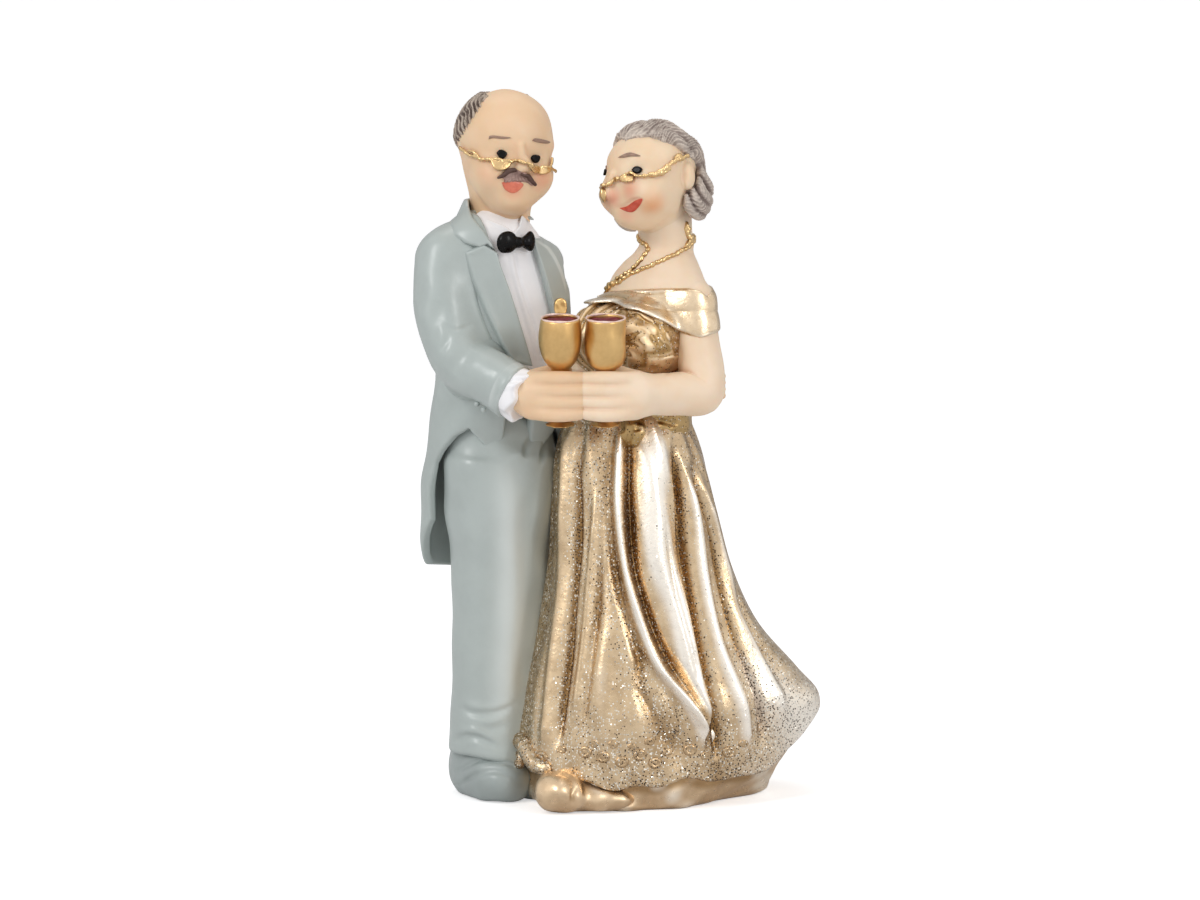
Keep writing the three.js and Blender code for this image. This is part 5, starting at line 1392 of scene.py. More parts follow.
opening_outline = flat_outline(OPENING, OPENING_LEFT)
right_lapel_outline = flat_outline(RIGHT_LAPEL, RIGHT_LAPEL_INNER)
left_lapel_outline = flat_outline(LEFT_LAPEL, LEFT_LAPEL_INNER)
leaf_outline = flat_outline(COLLAR_LEAF, COLLAR_LEAF_INNER)
opening_outline = np.vstack([opening_outline, [[3.2, 99], [-3.2, 99]]])


def on_front(outline):
    """The distance to a prism over an outline on his chest."""

    def field(p):
        q = MAN.local(p)
        return np.maximum(outline_distance(q[:, 0], q[:, 2], outline), q[:, 1] + 1)

    return field


in_opening = on_front(opening_outline)
# The rest of the hem, behind him, as degrees from his front and height, up to the top of the vent
UNSEEN_HEM = [(-84, 41), (-96, 37.4), (-112, 35.6), (-150, 35.0), (-176.5, 36.2), (-178.5, 58)]
# Millimetres to a degree, round his coat
COAT_DEGREE = 0.17


def hem_outline():
    """The coat's outline unrolled, as degrees from his front and height, the same on both sides."""
    points = MAN.local(seen(torso, HEM + TAIL_EDGE))
    right = np.column_stack([degrees_round(TORSO, points), points[:, 2]])
    right = np.vstack([right, UNSEEN_HEM])
    left = right[::-1] * (-1, 1)
    return np.vstack([left, right, [(-200, 58), (-200, 110), (200, 110), (200, 58)]])


coat_outline = hem_outline() * (COAT_DEGREE, 1)


def coat_region(p):
    q = MAN.local(p)
    return outline_distance(degrees_round(TORSO, q) * COAT_DEGREE, q[:, 2], coat_outline)


COAT_LINES = [
    ([(436, 236), (431, 255), (433, 275), (440, 300)], 0.5, 0.22),
    ([(470, 385), (458, 400), (448, 425)], 1.6, 0.4),
    ([(455, 400), (440, 425), (432, 450)], 1.4, 0.35),
]
coat_lines = lines_on(torso, COAT_LINES)


def coat(p):
    side = torso(p)
    top = sloped(MAN.local(p))[:, 2] - COAT_TOP + 0.6
    f = grooved(both(side, top, 1.4) + unevenness(p, 12, 0.13), p, coat_lines)
    hollow = both(side + COAT_THICKNESS, p[:, 2] - LINING_TOP, 0.5)
    f = without(f, hollow, 0.3)
    f = without(f, in_opening(p), 0.35)
    return both(f, coat_region(p), 0.45)


sculpt("tailcoat", coat, (-32, -9, 33), (-4, 15, 93), MEDIUM, GREY, ["man_tailcoat"])

PLACKETS = [
    [(514, 252), (520, 280), (528, 306), (538, 338), (545, 366)],
    [(507, 256), (514, 285), (522, 312), (531, 342), (538, 368)],
]


def bare_shirt(p):
    return torso(p) + 0.75


shirt_lines = [line_on(bare_shirt, pixels) for pixels in PLACKETS]


def shirt(p):
    f = both(bare_shirt(p), sloped(MAN.local(p))[:, 2] - COAT_TOP + 0.4, 0.6)
    f = f + groove(p, shirt_lines[0], 0.26, 0.42) + groove(p, shirt_lines[1], 0.26, 0.28)
    f = both(f, in_opening(p) - 0.6, 0.2)
    return both(f, MAN.local(p)[:, 1] + 2, 0.2)


sculpt("shirt", shirt, (-27, -10, 58), (-5, 3, 92), FINE, WHITE, ["man_shirt_front"])


def lapel(outline, thick, roll):
    region = on_front(outline)

    def field(p):
        edge = region(p)
        rise = thick + roll * np.exp(-((edge / 0.9) ** 2))
        return both(layer(torso(p), rise, 0.9, 0.2), edge, 0.5)

    return field


right_lapel = lapel(right_lapel_outline, 0.75, 0.3)
sculpt("right_lapel", right_lapel, (-28, -11, 58), (-6, 3, 92), FINE, GREY, ["man_right_lapel"])
left_lapel = lapel(left_lapel_outline, 0.6, 0.3)
# A painted highlight along the left lapel's outer edge, in pixels.
LAPEL_HIGHLIGHT = [(535, 240), (545, 246), (553, 255), (559, 266), (563, 277), (566, 291)]
lapel_highlight = line_on(left_lapel, LAPEL_HIGHLIGHT)


def along_lapel_highlight(points):
    """Where a highlight is painted along the left lapel's outer edge."""
    return {"pale": groove(points, lapel_highlight, 0.3, 1.8)}


sculpt(
    "left_lapel", left_lapel, (-20, -11, 58), (0, 6, 92), FINE, GREY, ["man_left_lapel"],
    marks=along_lapel_highlight,
)
NECK_AT = (0, -0.3)
COLLAR_RINGS = [(86.6, 8.6, 7.4), (88.6, 7.6, 6.9), (90.4, 6.7, 6.5), (91.8, 6.0, 6.1), (92.6, 5.6, 5.8)]
COAT_COLLAR = Loft([(*row, *NECK_AT) for row in COLLAR_RINGS], 0.4)
in_leaf = on_front(leaf_outline)
# Pixels round his neck and shirt between the coat collar's edges, and round his neck above the shirt collar
NECK_SHOWS = [
    (469, 190), (469, 206), (472, 216), (485, 232), (496, 250), (515, 264), (525, 240), (521, 222),
    (526, 190),
]
SKIN_SHOWS = [
    (464, 190), (468, 212), (476, 216.5), (490, 219.5), (504, 225), (513.5, 232), (519, 226), (522, 212),
    (526, 190),
]


def front_cut(p, outline, back):
    """What the camera sees inside an outline, as far back as a depth in the man's own place."""
    return both(in_view(p, outline), MAN.local(p)[:, 1] - back, 0.3)


def coat_collar(p):
    q = MAN.local(p)
    stand = both(COAT_COLLAR(q), -(COAT_COLLAR.side(q) + 1.3), 0.4)
    stand = without(stand, in_opening(p) - 0.1, 0.4)
    front = q[:, 1] + 1.5
    stand = both(stand, -both(front, q[:, 2] - 89.5, 0.3), 0.3)
    stand = both(stand, q[:, 2] - 92.6 + 0.9 * np.maximum(q[:, 0] + 0.5, 0), 0.3)
    leaf = both(layer(torso(p), 1.15, 1.6, 0.2), in_leaf(p), 0.55)
    return without(melt(stand, leaf, 0.8), front_cut(p, NECK_SHOWS, 3), 0.5)


sculpt("coat_collar", coat_collar, (-28, -9, 83), (-6, 12, 95), FINE, GREY, ["man_coat_collar"])
SHIRT_COLLAR_RINGS = [(84.6, 6.5, 6.3), (87.6, 5.8, 5.7), (90.3, 5.4, 5.3)]
SHIRT_COLLAR = Loft([(*row, *NECK_AT) for row in SHIRT_COLLAR_RINGS], 0.3)


def shirt_collar(p):
    q = MAN.local(p)
    f = both(SHIRT_COLLAR(q), -(SHIRT_COLLAR.side(q) + 0.9), 0.3)
    f = both(f, q[:, 2] - 90.3 + 0.9 * np.maximum(q[:, 0] - 1.2, 0), 0.3)
    return without(f, front_cut(p, SKIN_SHOWS, 1.5), 0.3) + unevenness(p, 5, 0.05)


sculpt("collar", shirt_collar, (-25, -7, 84), (-9, 11, 93), FINE, WHITE, ["man_collar"])

BOW_PIXEL = (516, 242)
bow_at = MAN.local(seen(torso, [BOW_PIXEL]))[0] + (0, -1.0, 0)


def bow_tie(p):
    q = MAN.local(p) - bow_at
    f = oval(q, (0, 0, 0), (0.75, 1.0, 0.85))
    right = oval(q, (-1.75, 0.1, 0.1), (1.55, 0.95, 1.65))
    right = melt(right, oval(q, (-2.4, 0.2, -0.1), (1.1, 0.8, 1.5)), 0.5)
    left = oval(q, (1.2, 0.1, 0), (0.9, 0.85, 0.9))
    left = melt(left, oval(q, (2.05, 0.3, 0.1), (0.75, 0.8, 1.55)), 0.9)
    f = melt(melt(f, right, 0.4), left, 0.4)
    for side, down in ((-1, -0.5), (1, -0.3), (1, 0.5)):
        path = [(side * 0.7, -0.9, 0.2 * down), (side * 1.5, -1.1, down), (side * 2.1, -1.0, 1.6 * down)]
        f = f + groove(q, path, 0.2, 0.22)
    return f


sculpt("bow_tie", bow_tie, (-20, -12, 85), (-9, -3, 92), FINE, BLACK, ["man_bow_tie"])

CUFF_WAY = unit(RIGHT_WRIST - RIGHT_ELBOW)


def right_cuff(p):
    start = SLEEVE_END - CUFF_WAY * 1.5
    d, _ = nearest(p, [start, SLEEVE_END + CUFF_WAY * 4])
    along = (p - SLEEVE_END) @ CUFF_WAY
    ripple = 0.16 * np.sin(p[:, 2] * 2.4 + 2 * np.sin(p[:, 2] * 0.9 + p[:, 1])) * np.clip(along, 0, 2)
    return both(d - 3.95 + ripple, along - 2.1 - 0.35 * np.sin(p[:, 2] * 1.7 + 1), 0.6)


sculpt("right_cuff", right_cuff, (-21, -19, 57), (-10, -6, 71), FINE, WHITE, ["man_right_cuff"])

# Goblets, wine and the hands around their stems

BOWL_RADIUS = 3.3
BOWL_HEIGHT = 8
BOWL_FOOT = TOAST_LEVEL + 3.9
BOWL_TOP = BOWL_FOOT + BOWL_HEIGHT
STEM_RADIUS = 0.85
GOBLET_FOOT = TOAST_LEVEL - 4.58
GOBLET_LEAN = math.radians(8)
BOWL_LEVELS = BOWL_FOOT + BOWL_HEIGHT * np.array([-0.1, 0.0, 0.1, 0.24, 0.42, 0.62, 0.82, 1.0])
# Each goblet's outline, as shares of the bowl's radius at those levels
BOWL_SHARES = {
    "man": (0.22, 0.36, 0.6, 0.82, 0.95, 1.0, 0.97, 0.9),
    "woman": (0.26, 0.46, 0.76, 0.93, 0.98, 0.97, 0.95, 0.93),
}
RIM_WALL = 0.36


def leaning(p, at):
    """Points in the frame of a goblet whose rim leans towards the front."""
    d = p - (*at, TOAST_LEVEL)
    y = d[:, 1] * math.cos(GOBLET_LEAN) + d[:, 2] * math.sin(GOBLET_LEAN)
    z = d[:, 2] * math.cos(GOBLET_LEAN) - d[:, 1] * math.sin(GOBLET_LEAN)
    return d[:, 0], y, z + TOAST_LEVEL


def goblet(who, at, dents):
    """A goblet. Its bowl is a little uneven, as if beaten."""
    radii = BOWL_RADIUS * np.array(BOWL_SHARES[who])
    outline = smoothed(np.column_stack([BOWL_LEVELS, radii]), 6)

    def field(p):
        x, y, z = leaning(p, at)
        angle = np.arctan2(y, x)
        uneven = dents * (np.sin(2 * angle + 1) * 0.6 + np.sin(3 * angle + z * 0.9) * 0.5)
        r = np.hypot(x, y) + uneven * np.clip((z - BOWL_FOOT) / 3, 0, 1)
        side = np.interp(z, outline[:, 0], outline[:, 1])
        bowl = both((r - side) * 0.88, np.maximum(z - BOWL_TOP, BOWL_LEVELS[0] - z), 0.3)
        bowl = without(bowl, both(r - side + RIM_WALL, BOWL_TOP - 1.6 - z, 0.2), 0.25)
        stem = both(r - STEM_RADIUS, np.maximum(z - BOWL_FOOT - 1, GOBLET_FOOT - z), 0.3)
        spread = STEM_RADIUS + 1.7 * np.exp(-np.clip(z - GOBLET_FOOT, 0, 9) / 0.55)
        foot = both(r - spread, np.maximum(GOBLET_FOOT - z, z - GOBLET_FOOT - 3), 0.3)
        ring = np.hypot(r - 0.95, z - BOWL_FOOT + 0.05) - 0.42
        return melt(melt(melt(bowl, stem, 0.5), foot, 0.3), ring, 0.4)

    return field


def wine(at, radius):
    def field(p):
        x, y, z = leaning(p, at)
        r = np.hypot(x, y)
        ripple = 0.06 * np.sin(x * 2.1 + y) + 0.05 * np.sin(3.3 * y - x)
        return both(r - radius, np.abs(z - BOWL_TOP + 0.9 + ripple) - 0.45, 0.15)

    return field


def rim(at, radius):
    """A thin pale ring on the rim's edge, which is a painted highlight."""

    def field(p):
        x, y, z = leaning(p, at)
        angle = np.arctan2(y, x)
        thin = 0.15 + 0.04 * np.sin(3 * angle + 1) + 0.03 * np.sin(7 * angle)
        return np.hypot(np.hypot(x, y) - radius, z - BOWL_TOP + 0.05) - thin

    return field


for who, at, dents in (("man", MAN_GOBLET, 0.08), ("woman", WOMAN_GOBLET, 0.2)):
    low = (at[0] - 4, at[1] - 6, GOBLET_FOOT - 1)
    high = (at[0] + 4, at[1] + 4, BOWL_TOP + 1)
    rim_radius = BOWL_RADIUS * BOWL_SHARES[who][-1]
    sculpt(f"{who}_cup", goblet(who, at, dents), low, high, FINE, CUP_GOLD, [f"{who}_goblet"])
    drink = wine(at, rim_radius - RIM_WALL * 0.7)
    sculpt(f"{who}_drink", drink, low, high, WINE_PITCH, WINE, [f"{who}_wine"])
    # The rim's painted highlight.
    edge = rim(at, rim_radius - 0.16)
    sculpt(f"{who}_rim", edge, low, high, RIM_PITCH, RIM_HIGHLIGHT, [f"{who}_goblet"])

FINGER_PITCH = 1.85


def fist(at, side):
    """A fist round a stem whose wrist lies on one side: palm, knuckles, four fingers and a thumb."""

    def field(p):
        q = (p - (*at, TOAST_LEVEL)) * (side, 1, 1)
        palm = oval(q, (2.6, 0.3, 0), (4.0, 3.1, 3.7))
        heel = oval(q, (4.6, 0.6, 0), (3.2, 2.9, 3.3))
        f = melt(palm, heel, 1.5)
        fingers = []
        for i in range(4):
            level = (1.5 - i) * FINGER_PITCH
            reach = -3.4 + 0.35 * abs(i - 1.2)
            knuckles = [(4.4, -0.9, level * 0.86), (2.2, -2.25, level * 0.97), (-0.6, -2.55, level)]
            path = smoothed([*knuckles, (reach, -1.5, level * 0.97)], 4)
            fingers.append(rod(q, path, (1.1, 1.12, 1.06, 0.98)))
        f = melt(f, melted(fingers, 0.45), 0.9)
        thumb = smoothed([(4.2, 0.6, 2.2), (1.8, 1.4, 3.3), (-0.9, 1.7, 3.4)], 4)
        f = melt(f, rod(q, thumb, (1.3, 1.1, 0.9)), 0.8)
        back = oval(q, (0.2, 1.4, 0), (3.0, 1.9, 3.3))
        return melt(f, back, 1.0)

    return field


man_fist = fist(MAN_GOBLET, -1)
sculpt("man_fist", man_fist, (-17, -18, 58.5), (-3.2, -8, 69), FINE, HIS_HANDS, ["man_right_hand"])

# The woman's arms

LEFT_SHOULDER_W = WOMAN.out((8.3, -0.24, 77.3))[0]
LEFT_ELBOW_W = WOMAN.out((10.96, -1.22, 63.9))[0]
LEFT_WRIST = np.array([WOMAN_GOBLET[0] + 5.4, WRIST_Y, TOAST_LEVEL])
upper_middle = (LEFT_SHOULDER_W + LEFT_ELBOW_W) / 2
fore_middle = LEFT_ELBOW_W + 0.42 * (LEFT_WRIST - LEFT_ELBOW_W)
fore_middle = (*fore_middle[:2], TOAST_LEVEL - 0.2)
WOMAN_LEFT_ARM = smoothed([LEFT_SHOULDER_W, upper_middle, LEFT_ELBOW_W, fore_middle, LEFT_WRIST], 7)
ELBOW_FOLD = [(664, 376), (672, 372), (679, 374)]
woman_fist = fist(WOMAN_GOBLET, 1)
elbow_fold = line_on(lambda p: rod(p, WOMAN_LEFT_ARM, (3.7, 3.55, 3.5, 3.35, 3.0)), ELBOW_FOLD)


def woman_arm(p):
    arm = rod(p, WOMAN_LEFT_ARM, (3.3, 3.4, 3.5, 3.35, 3.0))
    f = melt(arm, woman_fist(p), 1.4)
    return f + groove(p, elbow_fold, 0.5, 0.25) + unevenness(p, 9, 0.06)


sculpt(
    "woman_arm", woman_arm, (-5.5, -18, 58), (20, 4, 82), FINE, HER_ARMS,
    ["woman_left_hand", "woman_left_arm"],
)
RIGHT_SHOULDER_W = WOMAN.out((-7.64, 0, 74.5))[0]
RIGHT_HAND_AT = MAN.out((COAT_WIDTH * 0.5, -COAT_DEPTH * 0.34, TOAST_LEVEL + 1.5))[0]
right_elbow_w = (RIGHT_SHOULDER_W + RIGHT_HAND_AT) / 2 + (0.63, 0.98, -1.96)
right_wrist = RIGHT_HAND_AT + 0.2 * (right_elbow_w - RIGHT_HAND_AT)
WOMAN_RIGHT_ARM = smoothed([RIGHT_SHOULDER_W, right_elbow_w, right_wrist], 6)


def woman_right_arm(p):
    return rod(p, WOMAN_RIGHT_ARM, (3.15, 3.0, 2.45))


sculpt(
    "woman_right_arm_piece", woman_right_arm, (-14, -15, 55), (10, 9, 83), MEDIUM, HER_ARMS,
    ["woman_right_arm"],
)


def woman_right_hand(p):
    q = Place(RIGHT_HAND_AT, -34).local(p)
    f = oval(q, (0, 0, 0), (2.5, 2.5, 1.5))
    for i in range(4):
        path = [(-0.9 + 0.85 * i, -0.6, 0.1), (-1.2 + 0.85 * i, -2.4, 0)]
        f = melt(f, rod(q, path, (0.6, 0.45)), 0.4)
    return f


sculpt(
    "woman_right_hand_piece", woman_right_hand, (-14, -8, 61), (-4, 4, 69), FINE, HER_ARMS,
    ["woman_right_hand"],
)

# Her bodice, shoulders, drape and sash

BODICE_SHARES = [
    [0, 1.0, 1.02, -0.13, -0.12],
    [0.3, 0.98, 1.02, -0.06, -0.08],
    [0.65, 1.02, 1.06, 0, -0.03],
    [0.9, 1, 0.96, 0.03, 0],
    [1, 0.9, 0.82, 0.03, 0.01],
]
BODICE = body_of(BODICE_SHARES, 58.4, 19.6, 17.2, 14.4)
CHEST_SHARES = [
    [0, 0.84, 0.84, 0.02, 0],
    [0.22, 0.98, 0.98, 0.04, 0.02],
    [0.35, 0.96, 0.92, 0.05, 0.04],
    [0.47, 0.78, 0.78, 0.06, 0.08],
    [0.57, 0.56, 0.7, 0.08, 0.12],
    [0.68, 0.5, 0.68, 0.09, 0.14],
    [1, 0.5, 0.68, 0.04, 0.0],
]
CHEST = body_of(CHEST_SHARES, 73.63, 19, 16.6, 12.2)
BUST = [(side * 3.85, -6.6, 71.3) for side in (-1, 1)]
RIDGES = [
    [(582, 312), (600, 302), (622, 300), (645, 306), (662, 322)],
    [(590, 322), (612, 312), (634, 312), (652, 322), (664, 342)],
    [(630, 322), (646, 330), (656, 346), (656, 364)],
    [(634, 334), (644, 342), (648, 356), (646, 370)],
    [(662, 326), (669, 342), (672, 358), (666, 370)],
    [(578, 318), (592, 306), (610, 298)],
    [(640, 300), (655, 308), (668, 325)],
]


def bare_bodice(p):
    q = WOMAN.local(p)
    f = BODICE(q)
    for at in BUST:
        f = melt(f, oval(q, at, (5.5, 5.5, 5.5)), 2.0)
    return f


ridges = [line_on(bare_bodice, pixels) for pixels in RIDGES]
NEAR_BUST = BUST[1]


def engraving(p):
    """Fine ridges that circle the nearer side of her bust, a little wavy, with cross hatching between."""
    q = WOMAN.local(p) - NEAR_BUST
    away = length(q * (1, 0.7, 1))
    around = np.arctan2(q[:, 2], q[:, 0])
    wavy = away + 0.35 * np.sin(3 * around + 0.8 * away) + 0.2 * np.sin(9 * around)
    front = np.clip((7 - q[:, 1]) / 4, 0, 1)
    rings = np.sin(wavy * 4.6) * front
    fine = np.sin(wavy * 13 + 1.2 * np.sin(5 * around)) * np.sin(0.9 * away + 2 * around) * front
    gathers = np.abs(np.sin(1.3 * q[:, 0] + 0.25 * np.sin(q[:, 2]))) - 0.5
    return rings + 0.9 * gathers * (1 - front), fine


def bodice(p):
    rings, fine = engraving(p)
    f = bare_bodice(p) + unevenness(p, 6, 0.14) - 0.13 * rings - 0.07 * fine
    for line in ridges:
        f = f - groove(p, line, 0.36, 0.4)
    return f


def bodice_marks(points):
    rings, fine = engraving(points)
    # Painted highlight on the engraved ridges and painted shade in the grooves between them.
    return {
        "glitter": 0.5 - 0.3 * rings,
        "fleck": np.full(len(points), 0.5),
        "edge": np.clip(0.35 * rings + 0.35 * fine, 0, 1),
        "hollow": np.clip(0.16 - 0.42 * rings - 0.3 * fine, 0, 1),
    }


sculpt(
    "bodice", bodice, (-10, -16, 57), (16, 12, 80), FINE, BODICE_GOLD, ["woman_bodice"],
    marks=bodice_marks,
)


def shoulders(p):
    q = WOMAN.local(p)
    f = CHEST(q)
    f = melt(f, rod(p, WOMAN_LEFT_ARM[:6], (3.25, 3.3)) - 0.05, 1.8)
    return melt(f, oval(q, (1.0, 2.6, 89.6), (3.6, 3.4, 3.6)), 1.6)


sculpt("shoulders", shoulders, (-10, -14, 64), (19, 13, 96), FINE, HER_ARMS, ["woman_shoulders"])


def clothed_body(p):
    """What the drape lies on: bodice, chest and both upper arms."""
    f = melt(bare_bodice(p), CHEST(WOMAN.local(p)), 1.5)
    f = melt(f, rod(p, WOMAN_LEFT_ARM[:12], (3.3, 3.35, 3.4)), 1.8)
    return melt(f, rod(p, WOMAN_RIGHT_ARM[:7], (3.3, 3.2)), 1.5)


def round_her(q):
    """How far round her a point is, in degrees from her front towards her left."""
    return np.degrees(np.arctan2(q[:, 0] / 10.7, -q[:, 1] / 7.8))


DRAPE_TOP = [(600, 294), (615, 291), (640, 289), (665, 288), (688, 288), (699, 290), (706, 296)]
DRAPE_FOOT = [(600, 300), (618, 302), (640, 310), (660, 320), (676, 330), (690, 336), (700, 338), (709, 335)]
DRAPE_BACK = [(110, 79.6, 73.0), (140, 79.0, 74.2), (180, 78.6, 75.0)]


def drape_edge(pixels, back):
    points = WOMAN.local(seen(clothed_body, pixels))
    edge = np.column_stack([round_her(points), points[:, 2]])
    edge = edge[np.argsort(edge[:, 0])]
    front = edge[edge[:, 0] < 95]
    far_side = [(-60, front[0, 1] - 0.6), (-100, front[0, 1] - 1.5)]
    middle = [row for row in front if row[0] > -45]
    return np.array([(-180, back[-1][1]), (-140, back[-1][1]), *far_side, *middle, *back])


drape_top = drape_edge(DRAPE_TOP, [(a, top) for a, top, _ in DRAPE_BACK])
drape_foot = drape_edge(DRAPE_FOOT, [(a, foot) for a, _, foot in DRAPE_BACK])


def drape(p):
    """The off-shoulder band round her bust, back and upper arms, with soft pleats along it."""
    q = WOMAN.local(p)
    around = round_her(q)
    top = np.interp(around, drape_top[:, 0], drape_top[:, 1])
    foot = np.interp(around, drape_foot[:, 0], drape_foot[:, 1])
    up = (q[:, 2] - foot) / np.maximum(top - foot, 0.5)
    wide = np.clip((top - foot) / 6, 0, 1)
    pleats = 0.46 * wide * np.abs(np.sin(up * 6.4 + 0.7 * np.sin(around * 0.06) + 0.3)) ** 0.6
    body = clothed_body(p)
    tight = np.clip((around - 25) / 20, 0, 1)
    full = (0.55 + pleats + 0.35 * np.clip(0.5 - up, 0, 1)) * (1 - 0.68 * tight)
    sheet = both(body - 0.2 + 0.08 * tight - full, -body - 0.8, 0.3)
    return both(sheet, np.maximum(q[:, 2] - top, foot - q[:, 2]), 0.5)


sculpt("drape", drape, (-10, -16, 68), (19, 14, 83), FINE, DRAPE_GOLD, ["woman_drape"])
SASH_SHARES = [
    [0, 0.96, 0.96, 0, 0],
    [0.3, 1, 1, 0, 0],
    [0.7, 0.98, 0.98, 0, 0],
    [1, 0.9, 0.9, 0, 0],
]
SASH = body_of(SASH_SHARES, 56.3, 5.6, 19.4, 17, x=-2.41, y=-1.87)
SASH_KNOT = ((3.1, -9.4, 57.6), (3.0, 1.7, 2.4))
KNOT_RAYS = [
    [(622, 424), (606, 418), (590, 420)],
    [(622, 428), (606, 432), (594, 444)],
    [(630, 430), (628, 444), (624, 456)],
    [(636, 428), (650, 436), (662, 442)],
    [(638, 422), (655, 420), (675, 424)],
]


def bare_sash(p):
    q = WOMAN.local(p)
    return melt(SASH(q), oval(q, *SASH_KNOT), 1.8)


knot_rays = [line_on(bare_sash, pixels) for pixels in KNOT_RAYS]


def sash(p):
    f = bare_sash(p) + unevenness(p, 4, 0.12)
    for line in knot_rays:
        f = f + groove(p, line, 0.45, 0.5, taper=False)
    return f


sculpt(
    "sash", sash, (-12, -15, 54), (14, 12, 64), FINE, SASH_GOLD, ["woman_sash"],
    marks=lambda points: {"glitter": np.full(len(points), 0.4), "fleck": np.full(len(points), 0.6)},
)

# Heads

# How softly a head's balls melt together, as a share of its width
HEAD_MELT = 0.16
MAN_HEAD_SIZE = np.array([14.6, 16.4, 18.8])
WOMAN_HEAD_SIZE = np.array([13.8, 15.4, 17.0])
# Each ball's middle and size, as shares of the head's half width, depth and height
MAN_HEAD_BALLS = [
    ((0, 0.08, 0.22), (1, 0.94, 0.79)),
    ((0, -0.14, -0.36), (0.82, 0.74, 0.62)),
    ((0.48, -0.44, -0.36), (0.34, 0.32, 0.26)),
    ((-0.48, -0.44, -0.36), (0.34, 0.32, 0.26)),
    ((0, -0.5, -0.7), (0.36, 0.3, 0.24)),
]
WOMAN_HEAD_BALLS = [
    ((0, 0.08, 0.1), (1, 0.92, 0.7)),
    ((0, -0.16, -0.34), (0.88, 0.78, 0.62)),
    ((0.46, -0.5, -0.3), (0.4, 0.36, 0.3)),
    ((-0.46, -0.5, -0.3), (0.4, 0.36, 0.3)),
    ((0, -0.52, -0.68), (0.36, 0.3, 0.24)),
]


def bare_head(place, size, balls):
    half = size / 2

    def field(p):
        q = place.local(p)
        parts = [oval(q, np.array(at) * half, np.array(wide) * half) for at, wide in balls]
        return melted(parts, HEAD_MELT * half[0] * 2)

    return field


man_bare_head = bare_head(MAN_HEAD, MAN_HEAD_SIZE, MAN_HEAD_BALLS)
woman_bare_head = bare_head(WOMAN_HEAD, WOMAN_HEAD_SIZE, WOMAN_HEAD_BALLS)


def lifted(field, points, lift):
    """Points near a surface, moved onto it and then off it by a lift."""
    points = np.array(points, float)
    for _ in range(3):
        slope = gradient(field, points, 0.2)
        slope /= length(slope)[:, None]
        points -= field(points)[:, None] * slope * 0.9
    return points + slope * np.asarray(lift, float).reshape(-1, 1)


def skin_line(field, pixels, lift=0.0, steps=5):
    """A smooth line over a head through pixels."""
    return lifted(field, line_on(field, pixels, steps), lift)


def swelling(p, at, reach, height):
    """A soft rise round a point, or a dent where the height is negative."""
    d = length((p - at) / np.asarray(reach))
    return height * np.exp(-d * d)


def swollen(f, p, spots, table):
    """A field with the rises and dents of a table: spot, reach in each direction and height."""
    for name, reach, height in table:
        f = f - swelling(p, spots[name], reach, height)
    return f


def spots_on(head, pixels):
    return {name: seen(head, [pixel])[0] for name, pixel in pixels.items()}


def patch(head, outline, rise, below=0.5, soft=0.15):
    """A thin raised patch on a head, inside an outline of pixels."""
    closed = smoothed([*outline, outline[0]], 4)[:-1]
    centre = np.mean(outline, 0)
    middle = seen(head, [centre])[0]
    reach = length(np.array(outline) - centre).max() / PIXELS_PER_MM * 1.5 + 0.3

    def field(p):
        seen_edge = both(in_view(p, closed), length(p - middle) - reach, soft)
        return both(layer(head(p), rise, below, soft), seen_edge, soft)

    return field


def face_piece(name, field, pixels, paint, pitch=SMALLEST, reach=1.6):
    """A small piece on a face. It lies near the points where the camera meets the face at its pixels."""
    bare = man_bare_head if name.startswith("man") else woman_bare_head
    sculpt(name + "_piece", field, *box_round(seen(bare, pixels), reach), pitch, paint, [name])


def eye_field(head, outline):
    """A glossy bead of an eye, with a domed front."""
    middle = seen(head, [np.mean(outline, 0)])[0]
    inside = patch(head, outline, 0.32, soft=0.35)

    def field(p):
        return both(inside(p) - 0.12, length(p - middle) - 1.05, 0.4)

    return field


def eyes_and_brows(who, face, eyes, brows):
    for side in ("right", "left"):
        face_piece(f"{who}_{side}_eye", eye_field(face, eyes[side]), eyes[side], BLACK)
        face_piece(f"{who}_{side}_eyebrow", patch(face, brows[side], 0.2), brows[side], BROW)


def glasses(head, lenses, wires):
    """Cast eyeglasses: half-moon lenses that lie on the cheeks, and wires a little uneven in thickness."""
    plates = [patch(head, outline, 0.62, 0.2, 0.18) for outline in lenses]
    lines = [(skin_line(head, pixels, 0.5), radius) for pixels, radius in wires]

    def field(p):
        f = np.full(len(p), FAR)
        for plate in plates:
            f = melt(f, plate(p), 0.2)
        for line, radius in lines:
            uneven = 0.04 + 0.06 * np.sin(p[:, 0] * 4.1 + p[:, 2] * 3.3) + 0.03 * np.sin(p[:, 0] * 9)
            f = melt(f, nearest(p, line)[0] - radius + uneven, 0.15)
        return f

    return field


def blush_points(field, table):
    """Where blush is brushed on: point, reach, strength and colour."""
    return [(seen(field, [pixel])[0], *rest) for pixel, *rest in table]


# The man's face, in pixels

